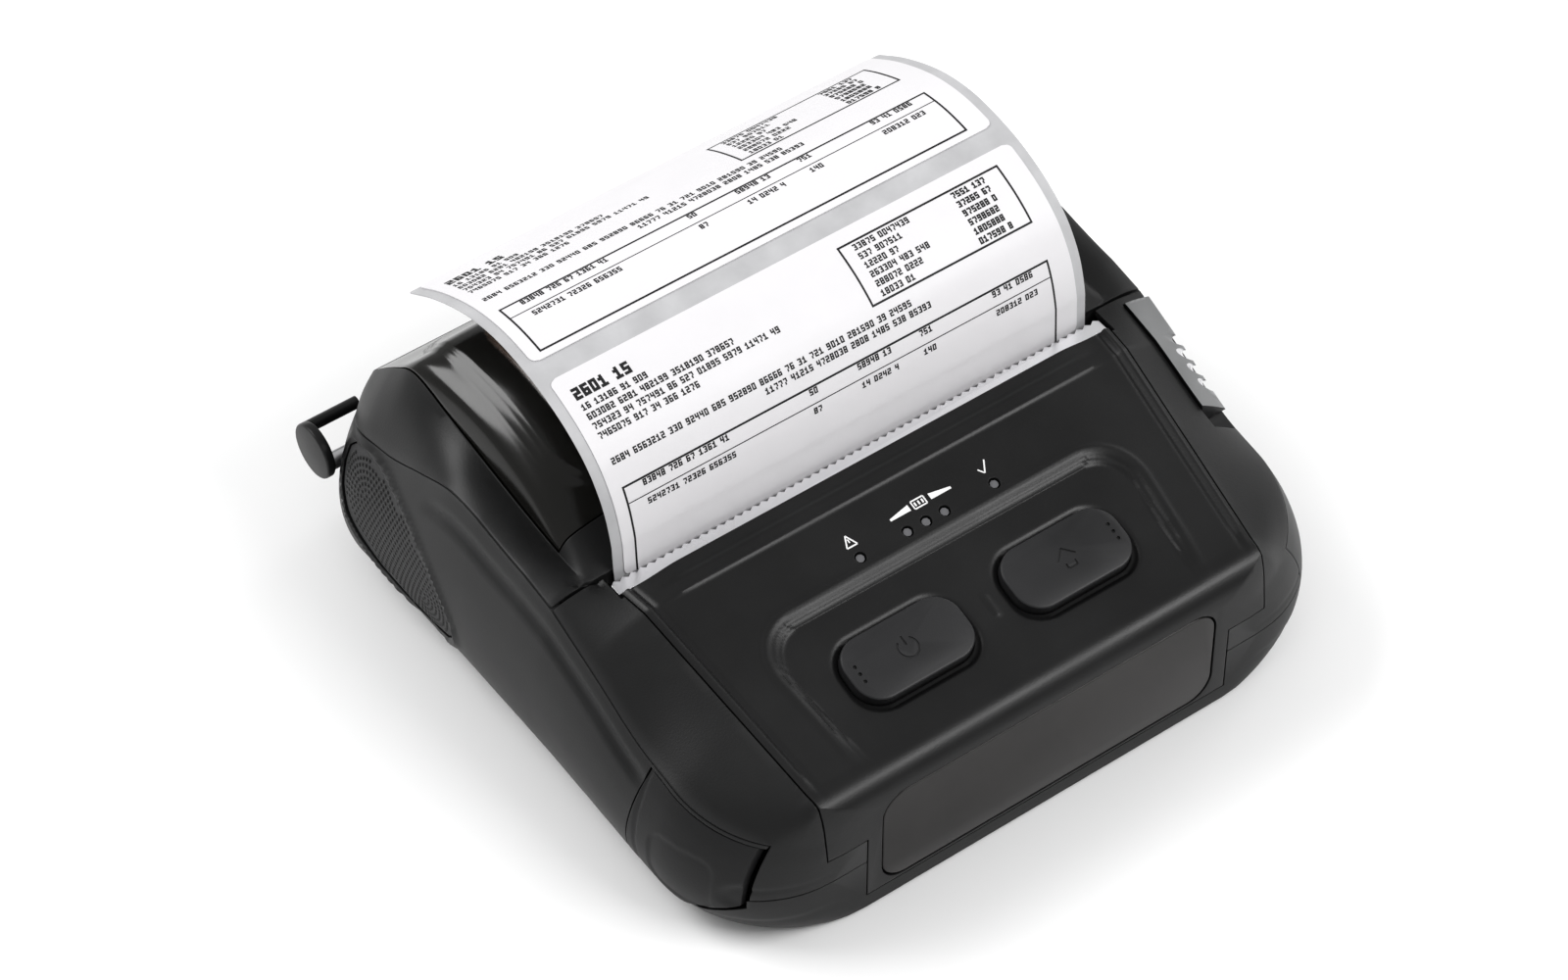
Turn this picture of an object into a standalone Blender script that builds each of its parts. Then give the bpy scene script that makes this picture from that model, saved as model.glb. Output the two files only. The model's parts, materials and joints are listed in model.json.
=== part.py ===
"""Portable label printer: a tub with a sloping front cover, and a lid over the paper roll.

Metres, X to the right, Y to the back, Z up. The ground is z 0 and the paper slot is just in front of y 0.
"""

import math

import bmesh
import bpy
from mathutils import Matrix, Vector

# Clearances and walls
GAP = 0.0003
RUNNING_GAP = 0.0004
WALL = 0.0022
OVERRUN = 0.004
WELD = 0.001

# Half widths, from the media outwards
ROLL_HALF = 0.056
CRADLE_SPARE = 0.0008
CRADLE_HALF = ROLL_HALF + CRADLE_SPARE
PLATEN_HALF = ROLL_HALF - GAP
HEAD_SPARE = 0.0005
HEAD_HALF = ROLL_HALF + HEAD_SPARE
FRAME_SPARE = 0.0012
FRAME_THICK = 0.0012
FRAME_INNER = ROLL_HALF + FRAME_SPARE
TEAR_BAR_MARGIN = 0.002
TEAR_BAR_HALF = ROLL_HALF + TEAR_BAR_MARGIN
RAIL_SPARE = 0.006
RAIL_INNER_HALF = ROLL_HALF + RAIL_SPARE
SIDE_ROOM = 0.014
SILL_HALF = ROLL_HALF + SIDE_ROOM
SIDE_BULGE = 0.005
COVER_REAR_HALF = TEAR_BAR_HALF + GAP
COVER_TAPER = 0.0063
COVER_FRONT_HALF = COVER_REAR_HALF - COVER_TAPER
SKIRT_STEP = 0.009
COVER_SKIRT_HALF = COVER_FRONT_HALF - SKIRT_STEP
INSET_MARGIN = 0.0035
INSET_HALF = COVER_SKIRT_HALF - INSET_MARGIN

# Drive of the platen, from the floor up
BASE_CLEAR = 0.0008
GEAR_MODULE = 0.0008
PLATEN_TEETH = 12
IDLER_TEETH = 25
PINION_TEETH = 10
IDLER_BEARING = math.radians(285.0)
MOTOR_BEARING = math.radians(225.0)
MOTOR_RADIUS = 0.0085
MOTOR_LOW = 0.007805
IDLER_RISE = -math.sin(MOTOR_BEARING) * (IDLER_TEETH + PINION_TEETH) * GEAR_MODULE / 2
PLATEN_RISE = -math.sin(IDLER_BEARING) * (PLATEN_TEETH + IDLER_TEETH) * GEAR_MODULE / 2
PLATEN_Y = -0.0008
PLATEN_Z = MOTOR_LOW + MOTOR_RADIUS + IDLER_RISE + PLATEN_RISE

# Roll in its cradle
ROLL_RADIUS = 0.0245
ROLL_APART = 0.0048
ROLL_Y = PLATEN_Y + ROLL_RADIUS + ROLL_APART
CRADLE_WALL = 0.0014
ROLL_Z = BASE_CLEAR + WALL + GAP + CRADLE_WALL + GAP + ROLL_RADIUS

# Outer body
FRONT_LENGTH = 0.0622
SEAM_APART = 0.005
SEAM_Y = PLATEN_Y - SEAM_APART
FRONT_Y = SEAM_Y - FRONT_LENGTH
REAR_ROOM = 0.023
REAR_Y = ROLL_Y + ROLL_RADIUS + REAR_ROOM
HINGE_SETBACK = 0.004
HINGE_Y = REAR_Y - HINGE_SETBACK
HINGE_Z = 0.020
FRONT_CORNER = 0.024
REAR_CORNER = 0.020
NOSE_RADIUS = 0.006
STATION_STEP = 0.0008
SIDE_SHARES = ((0.0, -0.45), (0.06, 0.05), (0.2, 0.7), (0.4, 1.0), (0.62, 0.9), (0.83, 0.5), (1.0, 0.0))

# Heights along the body, from the front face to the seam by the slot, and from there to the rear
SEAM_RISE = 0.007
SEAM_HEIGHT = PLATEN_Z + SEAM_RISE
CREASE_DROP = 0.0001
CREASE_HEIGHT = SEAM_HEIGHT - CREASE_DROP
CREASE_APART = 0.0118
CREASE_Y = SEAM_Y - CREASE_APART
NOSE_DROP = 0.0127
NOSE_HEIGHT = SEAM_HEIGHT - NOSE_DROP
CREST_ROOM = 0.011
CREST_HEIGHT = ROLL_Z + ROLL_RADIUS + CREST_ROOM
REAR_EDGE_RISE = 0.011
REAR_EDGE_HEIGHT = HINGE_Z + REAR_EDGE_RISE
SILL_FRONT_DROP = 0.0098
SILL_FRONT_HEIGHT = NOSE_HEIGHT - SILL_FRONT_DROP
SILL_SEAM_DROP = 0.0013
SILL_SEAM_HEIGHT = SEAM_HEIGHT - SILL_SEAM_DROP
SILL_CREST_RISE = 0.002
SILL_CREST_HEIGHT = SEAM_HEIGHT + SILL_CREST_RISE
RAIL_CREST_DROP = 0.0088
RAIL_CREST_HEIGHT = CREST_HEIGHT - RAIL_CREST_DROP
CROWN_LID_SHARES = ((0.0, 0.0), (0.12, 0.4), (0.25, 0.78), (0.4, 1.0), (0.56, 0.97), (0.69, 0.79))
RAIL_LID_SHARES = ((0.0, 0.0), (0.18, 0.12), (0.37, 0.4), (0.56, 0.76), (0.7, 0.98))
SILL_LID_SHARES = ((0.0, 0.0), (0.2, 0.8), (0.4, 1.0))
REAR_FALL_SHARES = ((0.78, 0.84), (0.855, 0.62), (0.91, 0.43), (0.96, 0.22), (1.0, 0.0))
SILL_FALL_SHARES = ((0.53, 0.78), (0.66, 0.52), (0.78, 0.38), (0.86, 0.21), (0.93, 0.06), (1.0, 0.0))
SILL_FRONT_SHARES = ((0.0, 0.0), (0.12, 0.12), (0.36, 0.3), (0.56, 0.42), (0.78, 0.72), (1.0, 1.0))

# Rails beside the cover and the window
RAIL_LEAST = 0.005
SHOULDER_SHARES = ((0.016, 0.26), (0.04, 0.46), (0.1, 0.62), (0.2, 0.76), (0.5, 0.93))

# Room inside the tub's sides that the lid's inner edge drops into
ROOM_DROP = 0.0043
ROOM_LOW = SEAM_HEIGHT - ROOM_DROP

# Front cover and its features
SLOT_ROOM = 0.0054
COVER_REAR_Y = SEAM_Y - SLOT_ROOM
COVER_CORNER_DROP = 0.014
COVER_CORNER_HEIGHT = NOSE_HEIGHT - COVER_CORNER_DROP
COVER_SKIRT_HEIGHT = 0.0045
RAIL_TOE_HEIGHT = 0.0145
RAIL_TOE_REACH = 0.0055
RAIL_TOE_Y = FRONT_Y + RAIL_TOE_REACH
INSET_LOW = 0.0052
INSET_DROP = 0.0056
INSET_TOP = NOSE_HEIGHT - INSET_DROP
INSET_CORNER = 0.0055
INSET_THICK = 0.0011
BUTTON_LONG = 0.0268
BUTTON_APART = 0.0054
BUTTON_CENTRE_X = BUTTON_LONG / 2 + BUTTON_APART
BUTTON_PLACE_SHARE = 0.328
BUTTON_CENTRE_Y = FRONT_Y + FRONT_LENGTH * BUTTON_PLACE_SHARE
BUTTON_WIDE = 0.014
BUTTON_CORNER = 0.0055
BUTTON_PROUD = 0.0006
BUTTON_TRAVEL = 0.0008
BUTTON_FLANGE = 0.0012
BUTTON_FLANGE_THICK = 0.0006
LAMP_PLACE_SHARE = 0.64
LAMP_Y = FRONT_Y + FRONT_LENGTH * LAMP_PLACE_SHARE
LAMP_XS = (-0.0152, -0.0041, 0.0003, 0.0047, 0.0166)
LAMP_RADIUS = 0.0009
LAMP_SUNK = 0.0004
COMB_WIDE = 0.004
COMB_THICK = 0.0012

# Tear bar and slot
TEAR_BAR_APART = 0.0015
TEAR_BAR_REAR_Y = SEAM_Y - TEAR_BAR_APART
TEAR_BAR_WIDE = 0.0033
TEAR_BAR_THICK = 0.0022
TEAR_BAR_SUNK = 0.0031
TEAR_BAR_LOW = SEAM_HEIGHT - TEAR_BAR_SUNK
TOOTH_PITCH = 0.002
TOOTH_DEEP = 0.0007

# Platen and print head
PLATEN_RADIUS = 0.005
PLATEN_SHAFT_RADIUS = 0.002
PAPER_THICK = 0.00025
BUSH_RADIUS = 0.0035
BUSH_LAP = 0.0002
BUSH_INNER = FRAME_INNER - BUSH_LAP
BUSH_LENGTH = 0.0036
FRAME_FRONT_REACH = 0.0207
FRAME_FRONT_Y = PLATEN_Y - FRAME_FRONT_REACH
FRAME_REAR_REACH = 0.0044
FRAME_REAR_Y = PLATEN_Y + FRAME_REAR_REACH
FRAME_TOP_RISE = 0.0025
FRAME_TOP = PLATEN_Z + FRAME_TOP_RISE
HEAD_THICK = 0.0008
HEAD_LOW_DROP = 0.006
HEAD_LOW = PLATEN_Z - HEAD_LOW_DROP
HEAD_TOP_RISE = 0.0023
HEAD_TOP = PLATEN_Z + HEAD_TOP_RISE
SINK_THICK = 0.0025
SINK_LOW_DROP = 0.0075
SINK_LOW = PLATEN_Z - SINK_LOW_DROP
BRACKET_REACH = 0.0154
BRACKET_FRONT_Y = PLATEN_Y - BRACKET_REACH
BRACKET_SHEET = 0.0012
BRACKET_LOW_DROP = 0.0095
BRACKET_LOW = PLATEN_Z - BRACKET_LOW_DROP
SPRING_X = 0.030
SPRING_DROP = 0.0025
SPRING_Z = PLATEN_Z - SPRING_DROP
SPRING_RADIUS = 0.002
SPRING_WIRE = 0.0003
SPRING_TURNS = 4

# Gears: all of one module, with shallow teeth
GEAR_ADDENDUM_SHARE = 0.55
GEAR_DEDENDUM_SHARE = 0.9
GEAR_TIP_SHARE = 0.16
GEAR_ROOT_SHARE = 0.3
GEAR_SPARE = 0.0038
GEAR_INNER = FRAME_INNER + GEAR_SPARE
GEAR_WIDE = 0.0034
IDLER_PIN_RADIUS = 0.0015
MOTOR_LENGTH = 0.0165
MOTOR_SHAFT_RADIUS = 0.001

# Roll and paper
CORE_OUTER = 0.0095
CORE_INNER = 0.008
CRADLE_START = math.radians(216.0)
CRADLE_END = math.radians(328.0)
STRIP_LOW_RISE = 0.0028
STRIP_LOW = PLATEN_Z + STRIP_LOW_RISE
STRIP_LOW_SHARES = ((0.0, 0.0), (0.01, 0.31), (0.065, 0.6), (0.16, 0.795), (0.3, 0.93), (0.44, 0.99))
STRIP_TOP_SHARES = ((0.57, 1.0), (0.71, 0.945), (0.87, 0.81), (1.0, 0.655))
STRIP_REACH = 0.067
STRIP_RISE = 0.0358
LABEL_THICK = 0.00018
LABEL_MARGIN = 0.0022
LABEL_GAP_START_SHARE = 0.49
LABEL_GAP_END_SHARE = 0.54

# Lid
WINDOW_HALF = RAIL_INNER_HALF - RUNNING_GAP
WINDOW_FRONT_Y = FRAME_REAR_Y
WINDOW_REAR_MARGIN = 0.010
WINDOW_REAR_Y = REAR_Y - WINDOW_REAR_MARGIN
WINDOW_LEDGE = 0.003
LEDGE_THICK = 0.0013
HINGE_ARM_WIDE = 0.010
HINGE_ARM_INNER = ROLL_HALF - HINGE_ARM_WIDE
HINGE_ARM_OUTER = ROLL_HALF
HINGE_ARM_RADIUS = 0.0036
HINGE_ARM_RISE = 0.0155
HINGE_PIN_RADIUS = 0.0015
HINGE_BOSS_LENGTH = 0.004
HINGE_BOSS_RADIUS = 0.0034
HINGE_NOTCH_DROP = 0.0055
CASE_REAR_DROP = 0.001
HOLDER_INNER = FRAME_INNER + FRAME_THICK + RUNNING_GAP
HOLDER_THICK = 0.0015
HOLDER_RADIUS = 0.0052
TOE_REACH = 0.0059
TOE_TOP_DROP = 0.0029
TOE_THICK = 0.0019

# Latch and lever
LATCH_APART = 0.0047
LATCH_Y = PLATEN_Y - LATCH_APART
LATCH_DROP = 0.013
LATCH_Z = PLATEN_Z - LATCH_DROP
LATCH_ROD_RADIUS = 0.0015
LATCH_ARM = 0.0026
LATCH_OVERLAP = 0.0007
LATCH_NOSE_THICK = 0.0014
LATCH_SPRING_X = 0.014
LATCH_SPRING_RADIUS = 0.0026
LATCH_SPRING_WIRE = 0.0004
LATCH_SPRING_LENGTH = 0.009
LATCH_SPRING_TURNS = 6
LEVER_WIDE = 0.0055
LEVER_INNER = SILL_HALF - LEVER_WIDE
LEVER_LENGTH = 0.0245
LEVER_TRAVEL = 0.004
LEVER_PROUD = 0.001
RIB_COUNT = 4
RIB_PITCH = 0.0032
RIB_RADIUS = 0.0011
RIB_START_SHARE = 0.4

# Boards, sockets and battery
KEY_BOARD_THICK = 0.0012
KEY_BOARD_HALF = COVER_SKIRT_HALF
BOARD_FRONT_MARGIN = 0.008
KEY_BOARD_FRONT_Y = FRONT_Y + BOARD_FRONT_MARGIN
KEY_BOARD_REAR_Y = -0.024
KEY_POST_RADIUS = 0.0018
KEY_POST_MARGIN = 0.0035
MAT_THICK = 0.001
MAT_MARGIN = 0.002
MAIN_BOARD_FRONT_Y = FRONT_Y + BOARD_FRONT_MARGIN
MAIN_BOARD_REAR_MARGIN = 0.007
MAIN_BOARD_REAR_Y = FRAME_FRONT_Y - MAIN_BOARD_REAR_MARGIN
MAIN_BOARD_DROP = 0.0108
MAIN_BOARD_Z = NOSE_HEIGHT - MAIN_BOARD_DROP
MAIN_BOARD_THICK = 0.0016
MAIN_BOARD_HALF = FRAME_INNER - BUSH_LAP
MOTOR_ROOM = 0.026
BATTERY_LEFT_X = MOTOR_ROOM - ROLL_HALF
BATTERY_MARGIN = 0.010
BATTERY_RIGHT_X = ROLL_HALF - BATTERY_MARGIN
BATTERY_FRONT_MARGIN = 0.0055
BATTERY_FRONT_Y = FRONT_Y + BATTERY_FRONT_MARGIN
BATTERY_REAR_Y = -0.0245
BATTERY_TOP_DROP = 0.0026
BATTERY_TOP = MAIN_BOARD_Z - BATTERY_TOP_DROP
BATTERY_FLANGE = 0.0017
BATTERY_FLANGE_LOW = 0.0034
BATTERY_FLANGE_THICK = 0.0012
BATTERY_CORNER = 0.002
BATTERY_RECESS = 0.0001
CONTACT_THICK = 0.004
CONTACT_WIDE = 0.012
CONTACT_TALL = 0.009
CATCH_CENTRE_X = (BATTERY_LEFT_X + BATTERY_RIGHT_X) / 2
CATCH_WIDE = 0.012
CATCH_LENGTH = 0.012
CATCH_NOSE = 0.0012
CATCH_LOW = 0.0017
CATCH_THICK = 0.0012
CATCH_TRAVEL = 0.003
CATCH_ROOF = 0.0016
PORT_WALL_DEEP = 0.006
PORT_WALL_X = SILL_HALF - PORT_WALL_DEEP
PORT_WALL_THICK = 0.0014
PORT_WALL_DROP = 0.0005
PORT_WALL_TOP = MAIN_BOARD_Z - PORT_WALL_DROP
JACK_APART = 0.018
JACK_Y = MAIN_BOARD_FRONT_Y + JACK_APART
JACK_WIDE = 0.009
JACK_TALL = 0.0095
JACK_LOW = MAIN_BOARD_Z - JACK_TALL
JACK_DEEP = 0.011
JACK_BORE = 0.0031
USB_APART = 0.0065
USB_Y = MAIN_BOARD_FRONT_Y + USB_APART
USB_WIDE = 0.0085
USB_TALL = 0.0045
USB_LOW = MAIN_BOARD_Z - USB_TALL
USB_DEEP = 0.008
USB_WALL = 0.0006
SOCKET_HOLLOW = 0.006

# Flap over the sockets
FLAP_REAR_APART = 0.0075
FLAP_REAR_Y = JACK_Y + FLAP_REAR_APART
FLAP_FRONT_MARGIN = 0.0068
FLAP_FRONT_Y = FRONT_Y + FLAP_FRONT_MARGIN
FLAP_LOW = 0.0052
FLAP_STRAIGHT_APART = 0.005
FLAP_STRAIGHT_Y = JACK_Y - FLAP_STRAIGHT_APART
FLAP_FRONT_LOW = 0.0125
FLAP_SLANT = 0.0035
FLAP_THICK = 0.0012
FLAP_FRONT_GAP = 0.001

# Grips and strap bars
GRIP_SETBACK = 0.0325
GRIP_Y = REAR_Y - GRIP_SETBACK
GRIP_Z = 0.0225
GRIP_LONG = 0.0215
GRIP_WIDE = 0.0112
GRIP_TILT = math.radians(24.0)
GRIP_SUNK = 0.0003
GRIP_THICK = 0.001
STRAP_SETBACK = 0.0048
STRAP_Y = REAR_Y - STRAP_SETBACK
STRAP_Z = 0.0252
STRAP_CHEEK_RADIUS = 0.006
STRAP_CHEEK_THICK = 0.002
STRAP_CHEEK_SUNK = 0.0002
STRAP_CHEEK_OUTER = SILL_HALF + SIDE_BULGE - STRAP_CHEEK_SUNK
STRAP_ROD_RADIUS = 0.0013
STRAP_ROD_REACH = 0.0085
STRAP_ROD_INNER = SILL_HALF - STRAP_ROD_REACH
STRAP_ROD_BEARING = math.radians(38.0)
STRAP_SPIGOT_SETBACK = 0.0086
STRAP_SPIGOT_Y = REAR_Y - STRAP_SPIGOT_SETBACK
STRAP_SPIGOT_Z = 0.0245
STRAP_SPIGOT_RADIUS = 0.0018
STRAP_BOSS_RADIUS = 0.0034
STRAP_BOSS_DEEP = 0.0035
STRAP_BOSS_OUTER = SILL_HALF - STRAP_BOSS_DEEP

# Feet, posts and screws
FOOT_RADIUS = 0.0045
FOOT_THICK = 0.0018
FOOT_FRONT_MARGIN = 0.012
FOOT_FRONT_X = SILL_HALF - FOOT_FRONT_MARGIN
FOOT_REAR_MARGIN = 0.016
FOOT_REAR_X = SILL_HALF - FOOT_REAR_MARGIN
FOOT_REAR_SETBACK = 0.018
FOOT_REAR_Y = REAR_Y - FOOT_REAR_SETBACK
POST_LEFT_APART = 0.014
POST_LEFT_X = BATTERY_LEFT_X - POST_LEFT_APART
POST_RIGHT_APART = 0.0075
POST_RIGHT_X = BATTERY_RIGHT_X + POST_RIGHT_APART
POST_FRONT_MARGIN = 0.003
POST_FRONT_Y = MAIN_BOARD_FRONT_Y + POST_FRONT_MARGIN
POST_REAR_MARGIN = 0.005
POST_REAR_Y = MAIN_BOARD_REAR_Y - POST_REAR_MARGIN
FOOT_PLACE_SHARE = 0.553
FOOT_FRONT_Y = POST_FRONT_Y + (POST_REAR_Y - POST_FRONT_Y) * FOOT_PLACE_SHARE
POST_RADIUS = 0.0038
SCREW_RADIUS = 0.0011
SCREW_HEAD_RADIUS = 0.0024
SCREW_HEAD_THICK = 0.0016
SCREW_SUNK = 0.0006

# Sides of the round shapes
FINE = 44
ROUND = 20
COARSE = 12
SMALL = 8
WIRE_SIDES = 5

MATERIALS = {
    "case_plastic": ((0.018, 0.018, 0.019), 0.55, 0.0),
    "cover_plastic": ((0.022, 0.022, 0.023), 0.4, 0.0),
    "inset_plastic": ((0.030, 0.027, 0.026), 0.3, 0.0),
    "smoked_window": ((0.030, 0.022, 0.018), 0.08, 0.0),
    "lever_plastic": ((0.20, 0.20, 0.20), 0.5, 0.0),
    "black_rubber": ((0.012, 0.012, 0.012), 0.8, 0.0),
    "clear_plastic": ((0.85, 0.87, 0.88), 0.2, 0.0),
    "steel": ((0.62, 0.62, 0.63), 0.3, 1.0),
    "aluminium": ((0.70, 0.70, 0.71), 0.4, 1.0),
    "ceramic": ((0.75, 0.74, 0.70), 0.3, 0.0),
    "nylon": ((0.78, 0.76, 0.70), 0.5, 0.0),
    "board_green": ((0.02, 0.12, 0.06), 0.45, 0.0),
    "cardboard": ((0.45, 0.32, 0.20), 0.8, 0.0),
    "paper": ((0.86, 0.86, 0.86), 0.6, 0.0),
    "brass": ((0.60, 0.42, 0.24), 0.35, 1.0),
}


def material_of(key):
    """The material of this key, made on first use."""
    material = bpy.data.materials.get(key)
    if material is None:
        colour, roughness, metallic = MATERIALS[key]
        material = bpy.data.materials.new(key)
        material.use_nodes = True
        shader = material.node_tree.nodes["Principled BSDF"]
        shader.inputs["Base Color"].default_value = (*colour, 1.0)
        shader.inputs["Roughness"].default_value = roughness
        shader.inputs["Metallic"].default_value = metallic
    return material


def add_object(name, mesh, key):
    mesh.materials.append(material_of(key))
    obj = bpy.data.objects.new(name, mesh)
    bpy.context.scene.collection.objects.link(obj)
    return obj


def mesh_object(name, bm, key):
    """An object from the bmesh, with its faces turned outwards."""
    bmesh.ops.recalc_face_normals(bm, faces=bm.faces)
    mesh = bpy.data.meshes.new(name)
    bm.to_mesh(mesh)
    bm.free()
    return add_object(name, mesh, key)


def as_cutter(obj):
    obj.hide_render = True
    obj.display_type = "WIRE"
    return obj


def combine(obj, other, operation):
    """A Boolean of this kind on the object, with the other one hidden."""
    modifier = obj.modifiers.new(f"{operation.lower()}_{other.name}", "BOOLEAN")
    modifier.operation = operation
    modifier.solver = "EXACT"
    modifier.object = as_cutter(other)
    return obj


def cut(obj, *others):
    for other in others:
        combine(obj, other, "DIFFERENCE")
    return obj


def join(obj, *others):
    for other in others:
        combine(obj, other, "UNION")
    return obj


def keep(obj, *others):
    for other in others:
        combine(obj, other, "INTERSECT")
    return obj


def use_manifold(obj):
    """The other solver, for an object whose thin ledges the exact one breaks up."""
    for modifier in obj.modifiers:
        modifier.solver = "MANIFOLD"


def set_origin(obj, place):
    """Moves the object's origin to the place, and leaves its shape where it is."""
    obj.data.transform(Matrix.Translation(-Vector(place)))
    obj.location = place
    return obj


def loft(name, rings, key):
    """A closed solid through rings of equal length, capped at both ends."""
    bm = bmesh.new()
    rows = [[bm.verts.new(point) for point in ring] for ring in rings]
    for row, following in zip(rows, rows[1:]):
        for i in range(len(row)):
            j = (i + 1) % len(row)
            bm.faces.new((row[i], row[j], following[j], following[i]))
    bm.faces.new(rows[0])
    bm.faces.new(reversed(rows[-1]))
    return mesh_object(name, bm, key)


def on_axis(axis, along, a, b):
    """The point with this place along the axis, and a and b on the two others in their order."""
    return {"X": (along, a, b), "Y": (a, along, b), "Z": (a, b, along)}[axis]


def prism(name, outline, axis, low, high, key="case_plastic"):
    """The outline, in the two axes left over, drawn out along the axis."""
    return loft(name, [[on_axis(axis, along, a, b) for a, b in outline] for along in (low, high)], key)


def box(name, low, high, key="case_plastic"):
    outline = ((low[0], low[1]), (high[0], low[1]), (high[0], high[1]), (low[0], high[1]))
    return prism(name, outline, "Z", low[2], high[2], key)


def circle(centre, radius, count, start=0.0):
    return [
        (centre[0] + radius * math.cos(start + math.tau * i / count),
         centre[1] + radius * math.sin(start + math.tau * i / count))
        for i in range(count)
    ]


def rod(name, axis, centre, radius, low, high, key="steel", count=ROUND):
    return prism(name, circle(centre, radius, count), axis, low, high, key)


def tube(name, axis, centre, outer, inner, low, high, key, count=ROUND):
    """A round tube: four rings joined into one closed band."""
    bm = bmesh.new()
    rows = []
    for radius, along in ((outer, low), (outer, high), (inner, high), (inner, low)):
        ring = circle(centre, radius, count)
        rows.append([bm.verts.new(on_axis(axis, along, a, b)) for a, b in ring])
    for row, following in zip(rows, rows[1:] + rows[:1]):
        for i in range(count):
            j = (i + 1) % count
            bm.faces.new((row[i], row[j], following[j], following[i]))
    return mesh_object(name, bm, key)


def rounded(centre, long, wide, corner, steps=4):
    """A rectangle with round corners, long along the first axis."""
    outline = []
    for k, (sx, sy) in enumerate(((1, 1), (-1, 1), (-1, -1), (1, -1))):
        cx = centre[0] + sx * (long / 2 - corner)
        cy = centre[1] + sy * (wide / 2 - corner)
        for i in range(steps + 1):
            angle = math.pi / 2 * (k + i / steps)
            outline.append((cx + corner * math.cos(angle), cy + corner * math.sin(angle)))
    return outline


def smooth(pairs, x):
    """A reading of a table of pairs by a curve through them, with a flat start to no overshoot."""
    x = min(max(x, pairs[0][0]), pairs[-1][0])
    index = 0
    while index < len(pairs) - 2 and x > pairs[index + 1][0]:
        index += 1

    def slope(i):
        low, high = max(i - 1, 0), min(i + 1, len(pairs) - 1)
        return (pairs[high][1] - pairs[low][1]) / (pairs[high][0] - pairs[low][0])

    (x0, y0), (x1, y1) = pairs[index], pairs[index + 1]
    width = x1 - x0
    t = (x - x0) / width
    return (
        (2 * t**3 - 3 * t**2 + 1) * y0
        + (t**3 - 2 * t**2 + t) * width * slope(index)
        + (3 * t**2 - 2 * t**3) * y1
        + (t**3 - t**2) * width * slope(index + 1)
    )


def lid_place(share):
    return SEAM_Y + share * (REAR_Y - SEAM_Y)


def lid_table(rise_shares, fall_shares, crest):
    """Heights over the lid: up from the seam to the crest, then down to the rear edge."""
    start = SILL_SEAM_HEIGHT if crest == SILL_CREST_HEIGHT else SEAM_HEIGHT
    rise = [(lid_place(a), start + b * (crest - start)) for a, b in rise_shares]
    fall = [(lid_place(a), REAR_EDGE_HEIGHT + b * (crest - REAR_EDGE_HEIGHT)) for a, b in fall_shares]
    return rise + fall


def rear_fall(crest):
    """The common rear slope, as shares of this crest's height over the rear edge."""
    share = (RAIL_CREST_HEIGHT - REAR_EDGE_HEIGHT) / (crest - REAR_EDGE_HEIGHT)
    return [(a, b * share) for a, b in REAR_FALL_SHARES]


def crown_height(y):
    """Height of the top at the middle."""
    if y < SEAM_Y:
        return front_height(y)
    return smooth(lid_table(CROWN_LID_SHARES, rear_fall(CREST_HEIGHT), CREST_HEIGHT), y)


def rail_height(y):
    """Height of the rail's inner edge."""
    if y < SEAM_Y:
        return front_height(y)
    return smooth(lid_table(RAIL_LID_SHARES, REAR_FALL_SHARES, RAIL_CREST_HEIGHT), y)


def panel_height(y):
    """Height of the flat sloping panel, also past its ends."""
    nose_y = FRONT_Y + NOSE_RADIUS
    return NOSE_HEIGHT + (CREASE_HEIGHT - NOSE_HEIGHT) * (y - nose_y) / (CREASE_Y - nose_y)


def front_height(y, inset=0.0):
    """Height of the front half: round nose, sloping panel, then level from the crease to the slot."""
    nose_y = FRONT_Y + NOSE_RADIUS
    if y < nose_y:
        radius = NOSE_RADIUS - inset
        back = min(nose_y - y, radius)
        return NOSE_HEIGHT - NOSE_RADIUS + math.sqrt(radius**2 - back**2)
    if y < CREASE_Y:
        return panel_height(y) - inset
    return CREASE_HEIGHT + (SEAM_HEIGHT - CREASE_HEIGHT) * (y - CREASE_Y) / (SEAM_Y - CREASE_Y) - inset


def sill_height(y):
    """Height of the line where the rails meet the tub."""
    if y < SEAM_Y:
        pairs = [
            (FRONT_Y + a * (SEAM_Y - FRONT_Y),
             SILL_FRONT_HEIGHT + b * (SILL_SEAM_HEIGHT - SILL_FRONT_HEIGHT))
            for a, b in SILL_FRONT_SHARES
        ]
    else:
        pairs = lid_table(SILL_LID_SHARES, SILL_FALL_SHARES, SILL_CREST_HEIGHT)
    return min(smooth(pairs, y), rail_height(y) - GAP)


def corner_inset(y, inset=0.0):
    """How far the plan's round corners draw the sides in at this place."""
    drawn = 0.0
    front = (y - FRONT_Y - inset, FRONT_CORNER - inset)
    rear = (REAR_Y - inset - y, REAR_CORNER - inset)
    for distance, radius in (front, rear):
        if distance < radius:
            drawn += radius - math.sqrt(max(radius**2 - (radius - max(distance, 0.0)) ** 2, 0.0))
    return drawn


def cover_half(y):
    """Half width of the front cover at this place."""
    share = (y - FRONT_Y) / (SEAM_Y - FRONT_Y)
    return COVER_FRONT_HALF + (COVER_REAR_HALF - COVER_FRONT_HALF) * share


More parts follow.
